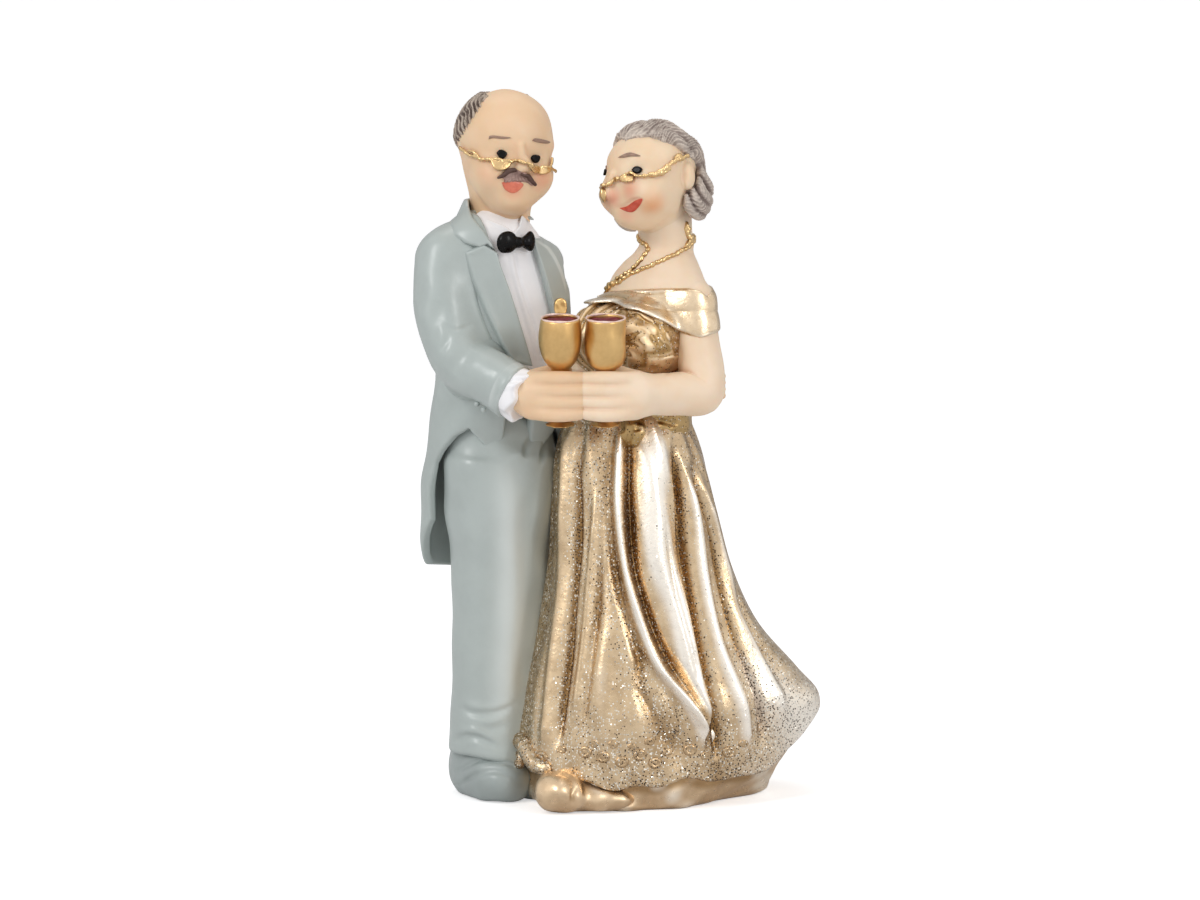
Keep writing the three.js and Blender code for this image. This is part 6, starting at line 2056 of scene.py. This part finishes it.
MAN_NOSE = [(521, 146), (522, 156), (525, 165.5)]
MAN_EYES = {
    "right": [(497, 153), (499.5, 150.6), (503, 150.8), (506.5, 153.5), (504, 157.6), (500.5, 157.6)],
    "left": [(530.5, 158), (533, 155.8), (537, 155.6), (540, 157), (538, 161.6), (534, 162)],
}
MAN_BROWS = {
    "right": [(488.6, 139.5), (490, 135.6), (500, 136.2), (511, 137.6), (503, 139), (493, 138)],
    "left": [(532, 140.5), (535, 138.3), (542, 139.2), (550, 141.5), (548, 143.6), (538, 142.6)],
}
MAN_MOUTH = [(501.5, 182.5), (505, 189.5), (512.5, 193.2), (519, 190.5), (523.5, 184), (513, 181)]
MAN_LIP_LINE = [(503.5, 184.5), (507, 188.8), (512.5, 191), (517.5, 189.4), (521.5, 185.4)]
MAN_MOUSTACHE = [
    (497, 177.3), (503, 174), (508, 170.5), (515, 169.4), (522, 171.8), (528, 173.8), (534.5, 183.5),
    (531.5, 185.8), (526, 182.5), (514, 182), (505, 183), (503, 178.5),
]
MOUSTACHE_STROKES = [
    [(498, 177.3), (503, 175), (508, 171.2), (515, 170)],
    [(521.5, 172.5), (526.5, 174), (529, 179), (534, 184)],
]
EYEGLASS_REACH = 2.6
MAN_LENSES = {
    "right": [(490, 159.8), (500, 161.2), (510.8, 161.8), (509, 167.4), (502, 170.4), (494, 168)],
    "left": [(528, 165), (539, 167), (549, 167.4), (551.5, 171.5), (543, 174.4), (533, 172)],
}
MAN_WIRES = [
    (
        [
            (463, 147.5), (469, 152), (474, 156), (481, 159.5), (487, 161), (494, 160.8), (504, 162),
            (511, 162.3),
        ],
        0.3,
    ),
    ([(511, 162.3), (515, 160.6), (520, 161), (525, 163), (530, 166)], 0.3),
    ([(530, 166), (540, 168.2), (547, 168.2), (549, 163), (549.5, 158.8)], 0.26),
    ([(547, 168.2), (551, 170.6), (552.5, 172)], 0.3),
    ([(471, 150.5), (476, 152.5), (480, 157)], 0.22),
]
MAN_BLUSH = [
    ((488, 174), 3.2, 0.35, (0.80, 0.42, 0.26)),
    ((541, 178), 2.8, 0.7, (0.80, 0.36, 0.22)),
    ((513, 190), 2.2, 0.75, (0.84, 0.36, 0.22)),
    ((528, 168), 1.6, 0.3, (0.80, 0.42, 0.28)),
    ((511, 152), 1.6, 0.3, (0.76, 0.44, 0.27)),
]
NECK = Loft([(84, 4.7, 4.7, 0, 0), (88, 4.5, 4.5, 0, 0), (92, 4.7, 4.6, 0, 0), (97, 4.9, 4.8, 0, 0.4)], 0.3)

man_nose = skin_line(man_bare_head, MAN_NOSE, 0.1)
man_spots = spots_on(
    man_bare_head,
    {
        "right_eye": (502, 154),
        "left_eye": (535, 159),
        "brow_bulge": (551, 147),
        "right_cheek": (490, 176),
        "left_cheek": (543, 180),
        "chin": (514, 203),
        "mouth": (512.5, 187),
        "right_wing": (520.5, 168.5),
        "left_wing": (530, 169.2),
        "temple": (478, 143),
    },
)
# The rises of his face, and its dents, which are negative
MAN_SWELLINGS = [
    ("right_cheek", (2.6, 2.6, 2.2), 0.4),
    ("left_cheek", (2.4, 2.4, 2.0), 0.4),
    ("chin", (2.3, 2.3, 1.5), 0.45),
    ("brow_bulge", (1.6, 2.4, 1.1), 0.4),
    ("right_eye", (2.0, 2.0, 1.3), -0.3),
    ("left_eye", (1.8, 2.0, 1.3), -0.3),
    ("temple", (2.2, 2.2, 2.6), -0.2),
]
man_lip_line = skin_line(man_bare_head, MAN_LIP_LINE)
MAN_JAW_FOLD = [(467, 178), (473, 191), (482, 203), (494, 211), (507, 215)]
man_jaw_fold = line_on(man_bare_head, MAN_JAW_FOLD)


def man_face(p):
    f = man_bare_head(p) + unevenness(p, 7, 0.06)
    f = swollen(f, p, man_spots, MAN_SWELLINGS)
    f = melt(f, rod(p, man_nose, (0.35, 0.6, 1.05)), 0.9)
    for wing in ("right_wing", "left_wing"):
        f = melt(f, length(p - man_spots[wing]) - 0.65, 0.5)
    return f - swelling(p, man_spots["mouth"], (2.3, 2.3, 1.5), 0.25)


def man_head(p):
    return melt(man_face(p), NECK(MAN.local(p)), 1.8) + groove(p, man_jaw_fold, 1.0, 0.4)


man_mouth = patch(man_face, MAN_MOUTH, 0.14)


def man_mouth_lined(p):
    return man_mouth(p) + groove(p, man_lip_line, 0.14, 0.16, taper=False)


MAN_SKIN = (skin_paint("man_skin_paint", HIS_FLESH, blush_points(man_bare_head, MAN_BLUSH)), "skin")
sculpt("man_head_piece", man_head, (-27, -12, 82), (-6, 11, 112), HEAD_PITCH, MAN_SKIN, ["man_head"])

eyes_and_brows("man", man_face, MAN_EYES, MAN_BROWS)
face_piece("man_mouth", man_mouth_lined, MAN_MOUTH, LIPS)

moustache_strokes = [skin_line(man_face, pixels, 0.45) for pixels in MOUSTACHE_STROKES]
moustache_body = patch(man_face, MAN_MOUSTACHE, 0.42, soft=0.4)
# Pixels from the top to the foot of each groove between the hairs
HAIR_GROOVES = [[(509 + 2.0 * i, 171.5), (503 + 4.0 * i, 182.5)] for i in range(7)]
moustache_hairs = [skin_line(man_face, pixels, 0.3, 4) for pixels in HAIR_GROOVES]


def moustache(p):
    f = moustache_body(p)
    for hair in moustache_hairs:
        f = f + groove(p, hair, 0.2, 0.14, taper=False)
    return f


def strokes(p):
    f = rod(p, moustache_strokes[0], (0.18, 0.36, 0.42, 0.3))
    return np.minimum(f, rod(p, moustache_strokes[1], (0.2, 0.36, 0.4, 0.26)))


face_piece("man_moustache", moustache, MAN_MOUSTACHE, MOUSTACHE)
sculpt(
    "man_moustache_strokes", strokes, *box_round(np.vstack(moustache_strokes), 1), SMALLEST, DARK_HAIR,
    ["man_moustache"],
)
man_glasses = glasses(man_face, MAN_LENSES.values(), MAN_WIRES)
wire_pixels = [pixel for pixels, _ in MAN_WIRES for pixel in pixels]
face_piece("man_eyeglasses", man_glasses, wire_pixels, GOLD_LEAF, WIRE_PITCH, EYEGLASS_REACH)

# Hair: a combed cap on each head, the same on both sides

# Millimetres to a degree, over a head
HEAD_DEGREE = 0.14
MAN_HAIRLINE = [(490, 95), (481, 108), (474.5, 117), (469, 126), (464, 135), (459, 144)]


def round_head(place, p):
    """A point's directions from a head's middle, in degrees: from the front round either side, and up."""
    q = place.local(p)
    azimuth = np.degrees(np.arctan2(np.abs(q[:, 0]), -q[:, 1]))
    elevation = np.degrees(np.arctan2(q[:, 2], np.hypot(q[:, 0], q[:, 1])))
    return q, azimuth, elevation


def hairline(place, head, pixels, front, back):
    """The closed edge of the hair in those directions, from pixels on the side that is seen."""
    _, azimuth, elevation = round_head(place, seen(head, pixels))
    return np.vstack([*front, *np.column_stack([azimuth, elevation]), *back])


ABOVE_HAIR = [(200, 62)]
BELOW_HAIR = [(112, 12), (125, 4), (150, -12), (180, -24), (200, -24)]
man_hairline = hairline(MAN_HEAD, man_bare_head, MAN_HAIRLINE, ABOVE_HAIR, BELOW_HAIR)


def man_hair(p):
    """Short hair combed forwards and down, in ragged streaks."""
    q, azimuth, elevation = round_head(MAN_HEAD, p)
    azimuth = azimuth - 34 * np.clip(q[:, 0] / 3, 0, 1)
    combed = elevation - 0.75 * azimuth + 3 * np.sin(azimuth / 8) + 3 * np.sin(elevation / 5 + azimuth / 9)
    streaks = np.sin(combed * 0.85)
    fine = np.sin(combed * 2.3 + np.sin(azimuth / 6))
    inside = -outline_distance(azimuth, elevation, man_hairline) * HEAD_DEGREE
    inside = inside + 0.3 * streaks + 0.12 * fine - 0.25
    head = man_bare_head(p)
    thick = np.clip(inside / 0.8, 0, 1) ** 0.5 * (0.36 + 0.27 * streaks + 0.07 * fine)
    return both(layer(head, thick, 0.8, 0.1), -inside, 0.3) / 1.2


sculpt("man_locks", man_hair, (-28, -9, 90), (-5, 12, 112), HAIR_PITCH, MAN_HAIR, ["man_hair"])

# The woman's face, in pixels

WOMAN_NOSE = [(613, 174), (611, 184), (610.5, 193)]
WOMAN_EYES = {
    "right": [(600.5, 172), (603, 169.5), (606.5, 170), (606, 174), (602, 175)],
    "left": [(632, 169.6), (635.5, 167), (640, 167.6), (642, 170), (638.5, 172.8), (634.5, 172.2)],
}
WOMAN_BROWS = {
    "right": [(600, 168.5), (603, 165.6), (609, 165.8), (608, 169), (603, 171)],
    "left": [(617.5, 157.6), (624, 154), (631, 152.4), (641, 156), (631, 156.4), (624, 157.6)],
}
WOMAN_MOUTH = [(619, 208), (627, 206), (635, 200.5), (642.5, 198.8), (639.5, 206), (633, 212), (626, 211.5)]
WOMAN_SMILE = [(617.5, 207.5), (626, 205.4), (634, 199.8), (642, 198.4), (645.5, 201.5)]
WOMAN_LENSES = {
    "right": [(600, 188.5), (604.5, 188.6), (606.6, 193), (605.5, 200.5), (601.6, 202.5), (598.8, 196)],
    "left": [(619, 177), (626, 175.5), (633, 176.5), (632, 181), (625, 182.2), (620, 181)],
}
WOMAN_WIRES = [
    ([(603.5, 188.5), (608, 185.8), (612, 182.4), (617, 179.2), (623, 178.4)], 0.34),
    ([(623, 178.4), (628, 175), (632, 174.4), (637, 177.2), (643, 178), (650.6, 176.4)], 0.28),
    ([(650.6, 176.4), (656, 175.2), (661, 171.8), (666, 167.4)], 0.42),
    ([(659, 175.5), (664, 173), (668, 169)], 0.3),
    ([(666, 167.4), (670, 163.6), (675, 160.8), (681, 158.2), (685, 156.8)], 0.36),
    ([(674, 158.5), (678, 155.8), (680.5, 159)], 0.34),
]
WOMAN_BLUSH = [
    ((613, 197), 2.4, 0.9, (0.80, 0.33, 0.22)),
    ((630, 190), 2.6, 0.75, (0.82, 0.36, 0.23)),
    ((652, 204), 3.2, 0.9, (0.86, 0.44, 0.22)),
    ((627, 214), 2.4, 0.6, (0.82, 0.40, 0.26)),
    ((606, 205), 2.0, 0.5, (0.84, 0.42, 0.28)),
]
woman_spots = spots_on(
    woman_bare_head,
    {
        "left_eye": (637, 170),
        "right_eye": (604, 171),
        "near_cheek": (650, 197),
        "far_cheek": (609, 198),
        "chin": (624, 222),
        "ear": (687, 175),
        "ear_hollow": (683.5, 175),
    },
)
# The rises of her face, and its dents, which are negative
WOMAN_SWELLINGS = [
    ("near_cheek", (2.8, 2.8, 2.4), 0.5),
    ("far_cheek", (2.2, 2.4, 2.2), 0.3),
    ("chin", (2.2, 2.2, 1.5), 0.5),
    ("left_eye", (2.2, 2.0, 1.4), -0.32),
    ("right_eye", (1.6, 2.0, 1.4), -0.3),
]
woman_nose = skin_line(woman_bare_head, WOMAN_NOSE, 0.2)
woman_smile = skin_line(woman_bare_head, WOMAN_SMILE)
EAR = Place(woman_spots["ear"] + (-0.2, 0.3, 0), WOMAN_HEAD_TURN + 70, WOMAN_HEAD_TILT)
WOMAN_NECK_END = 86.2


def woman_face(p):
    f = woman_bare_head(p) + unevenness(p, 6, 0.05)
    f = swollen(f, p, woman_spots, WOMAN_SWELLINGS)
    f = melt(f, rod(p, woman_nose, (0.3, 0.55, 0.95)), 0.9)
    return f + groove(p, woman_smile, 0.35, 0.3)


def woman_head(p):
    ear = oval(EAR.local(p), (0, 0, 0), (1.35, 1.6, 2.3))
    f = melt(woman_face(p), ear, 0.3)
    f = f + swelling(p, woman_spots["ear_hollow"] + (0, -1.0, 0), (0.55, 1.2, 1.0), 0.8)
    f = melt(f, CHEST(WOMAN.local(p)) + 0.1, 1.3)
    return both(f, WOMAN_NECK_END - p[:, 2], 0.3)


WOMAN_SKIN = (skin_paint("woman_skin_paint", HER_FLESH, blush_points(woman_bare_head, WOMAN_BLUSH)), "skin")
sculpt("woman_head_piece", woman_head, (-6, -13, 83), (18, 12, 109), HEAD_PITCH, WOMAN_SKIN, ["woman_head"])
eyes_and_brows("woman", woman_face, WOMAN_EYES, WOMAN_BROWS)
face_piece("woman_mouth", patch(woman_face, WOMAN_MOUTH, 0.12), WOMAN_MOUTH, RED_LIPS)
woman_glasses = glasses(woman_face, WOMAN_LENSES.values(), WOMAN_WIRES)
wire_pixels = [*(pixel for pixels, _ in WOMAN_WIRES for pixel in pixels), (599, 202)]
face_piece("woman_eyeglasses", woman_glasses, wire_pixels, GOLD_LEAF, WIRE_PITCH, EYEGLASS_REACH)

# The woman's hair, in pixels

WOMAN_HAIRLINE = [
    (636, 137.5), (650, 137), (663, 142), (673, 145), (680, 149), (684, 156), (691, 158), (696, 166),
    (697, 178), (694, 187), (688, 191.5), (683.5, 196), (685, 205), (690, 212), (698, 217),
]
NAPE_ROLL = ((0, 3.5, -4.0), (6.7, 5.0, 5.2))
CURLS = [
    ([(614, 134), (612.5, 128.5), (617, 125.5), (621, 128.5), (618.5, 132)], 0.6),
    ([(621, 134.5), (625, 127.5), (633, 122.5), (642, 120.5), (649, 124)], 0.85),
    ([(627, 136), (633, 130), (641, 127), (647, 129), (648, 134)], 0.75),
    ([(649, 131), (652, 123.5), (659, 122.5), (668, 127), (677, 134)], 0.9),
    ([(656, 138), (664, 137.5), (673, 141), (681, 148), (686, 154)], 0.8),
    ([(666, 131), (677, 136), (686, 144), (693, 154), (698, 164)], 0.85),
    ([(684, 137), (693, 143), (699, 153), (703, 164), (704, 174)], 0.8),
    ([(697, 166), (700, 177), (705, 185), (709, 193)], 0.75),
    ([(697, 180), (699, 190), (704, 198), (710, 203)], 0.8),
    ([(691, 190), (694, 199), (700, 206), (708, 210)], 0.8),
    ([(685, 196), (688, 206), (695, 213), (704, 216)], 0.75),
]
HAIR_GAP = [(649, 134.5), (656, 134.5), (663, 132)]
FAR_LOCK = [(614, 221), (619, 226), (626, 231), (634, 237)]
PARTING = [(-20, 92), (-20, 50)]
NAPE = [(150, -50), (180, -48), (200, -48), (200, 92)]
woman_hairline = hairline(WOMAN_HEAD, woman_bare_head, WOMAN_HAIRLINE, PARTING, NAPE)


def under_hair(p):
    """Her head with the fuller roll at the nape that her hair lies on."""
    return melt(woman_bare_head(p), oval(WOMAN_HEAD.local(p), *NAPE_ROLL), 1.5)


curls = [(skin_line(under_hair, pixels, 0.4), radius) for pixels, radius in CURLS]
curl_radii = [radius * np.array((0.5, 1, 1.05, 1, 0.55)) for _, radius in curls]
curl_field = strand_field([path for path, _ in curls], curl_radii, 2.4)
far_lock_field = strand_field([skin_line(woman_bare_head, FAR_LOCK)], [(0.3, 0.5, 0.5, 0.25)], 1.6)
hair_gap = skin_line(under_hair, HAIR_GAP, 0.7)


def woman_hair(p):
    """Wavy hair combed from the face round the ears to the nape, in locks that are ridged along."""
    q, azimuth, elevation = round_head(WOMAN_HEAD, p)
    turn = np.degrees(np.arctan2(q[:, 2] + 1, -q[:, 1])) % 360
    side = np.degrees(np.arctan2(np.abs(q[:, 0]), np.hypot(q[:, 1], q[:, 2] + 1)))
    combed = side + 4 * np.sin(np.radians(turn * 7 + side * 4)) + 0.1 * turn
    lock = np.sqrt(np.maximum(1 - (2 * (combed / 14 % 1) - 1) ** 2, 0.02))
    strands = np.cos(np.radians(combed * 360 / 3.5))
    inside = -outline_distance(azimuth, elevation, woman_hairline) * HEAD_DEGREE + 0.35 * lock - 0.2
    full = np.clip(inside / 1.2, 0, 1) ** 0.5
    cap = under_hair(p) - full * (0.25 + 0.6 * lock)
    cap = both(cap, -inside, 0.35)
    f = melt(cap, curl_field(p), 0.3) - 0.1 * strands * np.clip(full + 0.5, 0, 1)
    f = np.minimum(f + groove(p, hair_gap, 0.4, 1.3), far_lock_field(p))
    return both(f, -woman_bare_head(p) - 0.8, 0.1) / 1.25


sculpt("woman_locks", woman_hair, (-6, -11, 86), (17, 12, 108), HAIR_PITCH, WOMAN_HAIR, ["woman_hair"])

# Jewellery and small trims, in pixels

NECKLACE_NEAR = [(619, 283), (628, 276), (640, 270.5), (655, 264), (672, 256), (683, 250), (689, 246)]
NECKLACE_FAR = [(648, 247), (644, 256), (637, 265), (628, 273), (616, 281)]
NECKLACE_LEVEL = 86.8
PENDANT = [(616, 283), (609, 288), (602, 292), (594, 297)]


def necklace_path():
    """Once round her neck: up the near side, behind the nape and down the far side."""
    near = seen(shoulders, NECKLACE_NEAR)
    far = seen(shoulders, NECKLACE_FAR)
    _, half_y, x, y = [float(v) for v in CHEST.sizes(NECKLACE_LEVEL)]
    middle = WOMAN.out((x, y, NECKLACE_LEVEL))[0]
    turns = np.radians(np.arange(15, 171, 22))
    outward = np.column_stack([np.cos(turns), np.sin(turns), np.zeros(len(turns))])
    behind = lifted(shoulders, middle + outward * half_y, 0.0)
    return smoothed(np.vstack([near, behind, far, near[:1]]), 6)


def beaded(path, radius, beads, size):
    """A cast chain: a thin rod with beads along it."""
    spans = length(np.diff(path, axis=0))
    along = np.concatenate([[0], np.cumsum(spans)])

    def field(p):
        d, share = nearest(p, path)
        far = np.interp(share, np.linspace(0, 1, len(along)), along)
        return d - radius - size * np.abs(np.sin(far * beads)) + 0.04 * np.sin(p[:, 2] * 7)

    return field


def chain(name, line, lift, radius, beads, size):
    """A beaded piece of her necklace along a line on her skin."""
    field = beaded(lifted(shoulders, line, lift), radius, beads, size)
    sculpt(name, field, *box_round(line, 1), SMALL, GOLD_LEAF, ["woman_necklace"])


chain("necklace", necklace_path(), 0.12, 0.25, 3.6, 0.13)
chain("pendant", line_on(shoulders, PENDANT), 0.2, 0.28, 2.6, 0.25)

EARRING = [(686.5, 223), (687, 230), (688.5, 236), (690, 240), (686, 247)]
earring_line = line_on(shoulders, EARRING)


def earring(p):
    f = rod(p, earring_line, (0.3, 0.62, 0.5, 0.75, 0.6, 0.4))
    return f + 0.12 * np.sin(p[:, 2] * 4.3) * np.sin(p[:, 0] * 5 + 1)


sculpt("earring", earring, *box_round(earring_line, 1.4), WIRE_PITCH, GOLD_LEAF, ["woman_earring"])

BOUTONNIERE = [
    (554.5, 303), (557, 299), (562, 298), (566, 301), (567, 307), (566, 313), (562, 317), (559, 314),
    (556, 315), (554, 309),
]
disc_outline = smoothed([*BOUTONNIERE, BOUTONNIERE[0]], 4)[:-1]
boutonniere_at = seen(torso, [(558, 308)])


def boutonniere(p):
    """A flat gilt disc on the lapel, with its back sunk in the cloth."""
    behind = (p - boutonniere_at) @ FORWARD
    petals = 0.06 * np.sin(p[:, 2] * 3.6 + p[:, 0] * 2) * np.sin(p[:, 0] * 3.1)
    return both(both(-behind - 2.5 + petals, behind - 1.6, 0.3), in_view(p, disc_outline), 0.3)


sculpt("boutonniere", boutonniere, *box_round(boutonniere_at, 3.2), SMALL, CUP_GOLD, ["man_boutonniere"])

BUTTONS = [(477, 404), (483.5, 409.5)]
button_points = seen(bare_right_sleeve, BUTTONS)


def buttons(p):
    return np.minimum(*[length(p - point) - 0.42 for point in button_points])


sculpt("sleeve_buttons", buttons, *box_round(button_points, 1), SMALLEST, GREY, ["man_right_sleeve"])

# Stage: floor, backdrop, light and camera

WORLD_LIGHT = 0.46
FLOOR_GLOW = 0.52
# Softboxes: where each stands and how wide it is, in metres, and how bright it is
SOFTBOXES = [
    ("key", (-0.56, -0.58, 0.6), (0.24, 0.4), 2.9),
    ("side", (0.6, -0.62, 0.46), (0.15, 0.46), 2.0),
    ("top", (0.05, 0.15, 0.9), (0.5, 0.4), 1.2),
]
# The floor and its backdrop, in metres
FLOOR_FRONT = -1.6
FLOOR_BACK = 0.9
FLOOR_HALF_WIDTH = 2
BEND = 0.5
BEND_STEPS = 12
BACKDROP_TOP = 1.8


def white_surroundings():
    """White to the camera and in reflections, and moderate as light on the object."""
    world = bpy.data.worlds.new("studio")
    world.use_nodes = True
    tree = world.node_tree
    rays = tree.nodes.new("ShaderNodeLightPath")
    sees_white = rays.outputs["Is Camera Ray"]
    for kind in ("Is Glossy Ray", "Is Transmission Ray"):
        either = tree.nodes.new("ShaderNodeMath")
        either.operation = "MAXIMUM"
        tree.links.new(sees_white, either.inputs[0])
        tree.links.new(rays.outputs[kind], either.inputs[1])
        sees_white = either.outputs[0]
    strength = tree.nodes.new("ShaderNodeMapRange")
    strength.inputs["To Min"].default_value = WORLD_LIGHT
    strength.inputs["To Max"].default_value = 1
    tree.links.new(sees_white, strength.inputs["Value"])
    background = tree.nodes["Background"]
    tree.links.new(strength.outputs[0], background.inputs["Strength"])
    background.inputs["Color"].default_value = (1, 1, 1, 1)
    bpy.context.scene.world = world


def softbox(name, at, size, power):
    data = bpy.data.lights.new(name, "AREA")
    data.shape = "RECTANGLE"
    data.size, data.size_y = size
    data.energy = power
    lamp = new_object(name, data)
    lamp.location = at
    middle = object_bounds()[0].lerp(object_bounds()[1], 0.5)
    lamp.rotation_euler = (middle - lamp.location).to_track_quat("-Z", "Y").to_euler()


def floor_paint():
    """A pale floor that the camera sees as white, and that keeps the object's shadow."""
    n = Nodes("floor_paint")
    rays = n.tree.nodes.new("ShaderNodeLightPath")
    return n.set(
        Base_Color=(0.86, 0.86, 0.87),
        Roughness=n.ramp(n.noise(30, 3, 0.5), 0.3, 0.7, 0.7, 0.85),
        Specular_IOR_Level=0.2,
        Emission_Color=(1.0, 1.0, 1.0),
        Emission_Strength=n.math("MULTIPLY", rays.outputs["Is Camera Ray"], FLOOR_GLOW),
    )


def sweep():
    """The floor, curving up behind into a backdrop."""
    profile = [(FLOOR_FRONT, 0), (FLOOR_BACK, 0)]
    for i in range(1, BEND_STEPS + 1):
        a = i / BEND_STEPS * math.pi / 2
        profile.append((FLOOR_BACK + BEND * math.sin(a), BEND - BEND * math.cos(a)))
    profile.append((FLOOR_BACK + BEND, BACKDROP_TOP))
    mesh = bpy.data.meshes.new("sweep")
    points = [(x, y, z) for y, z in profile for x in (-FLOOR_HALF_WIDTH, FLOOR_HALF_WIDTH)]
    faces = [(2 * i, 2 * i + 1, 2 * i + 3, 2 * i + 2) for i in range(len(profile) - 1)]
    mesh.from_pydata(points, [], faces)
    for polygon in mesh.polygons:
        polygon.use_smooth = True
    mesh.materials.append(floor_paint())
    new_object("sweep", mesh)


def place_camera():
    data = bpy.data.cameras.new("camera")
    data.sensor_width = SENSOR
    data.lens = FOCAL_PIXELS / PHOTO_WIDTH * SENSOR
    camera = new_object("camera", data)
    camera.location = tuple((EYE + SHIFT) / 1000)
    camera.rotation_euler = (math.pi / 2 - ELEVATION, 0, 0)
    bpy.context.scene.camera = camera


white_surroundings()
for row in SOFTBOXES:
    softbox(*row)
sweep()
place_camera()
bpy.context.scene.view_settings.view_transform = "Standard"
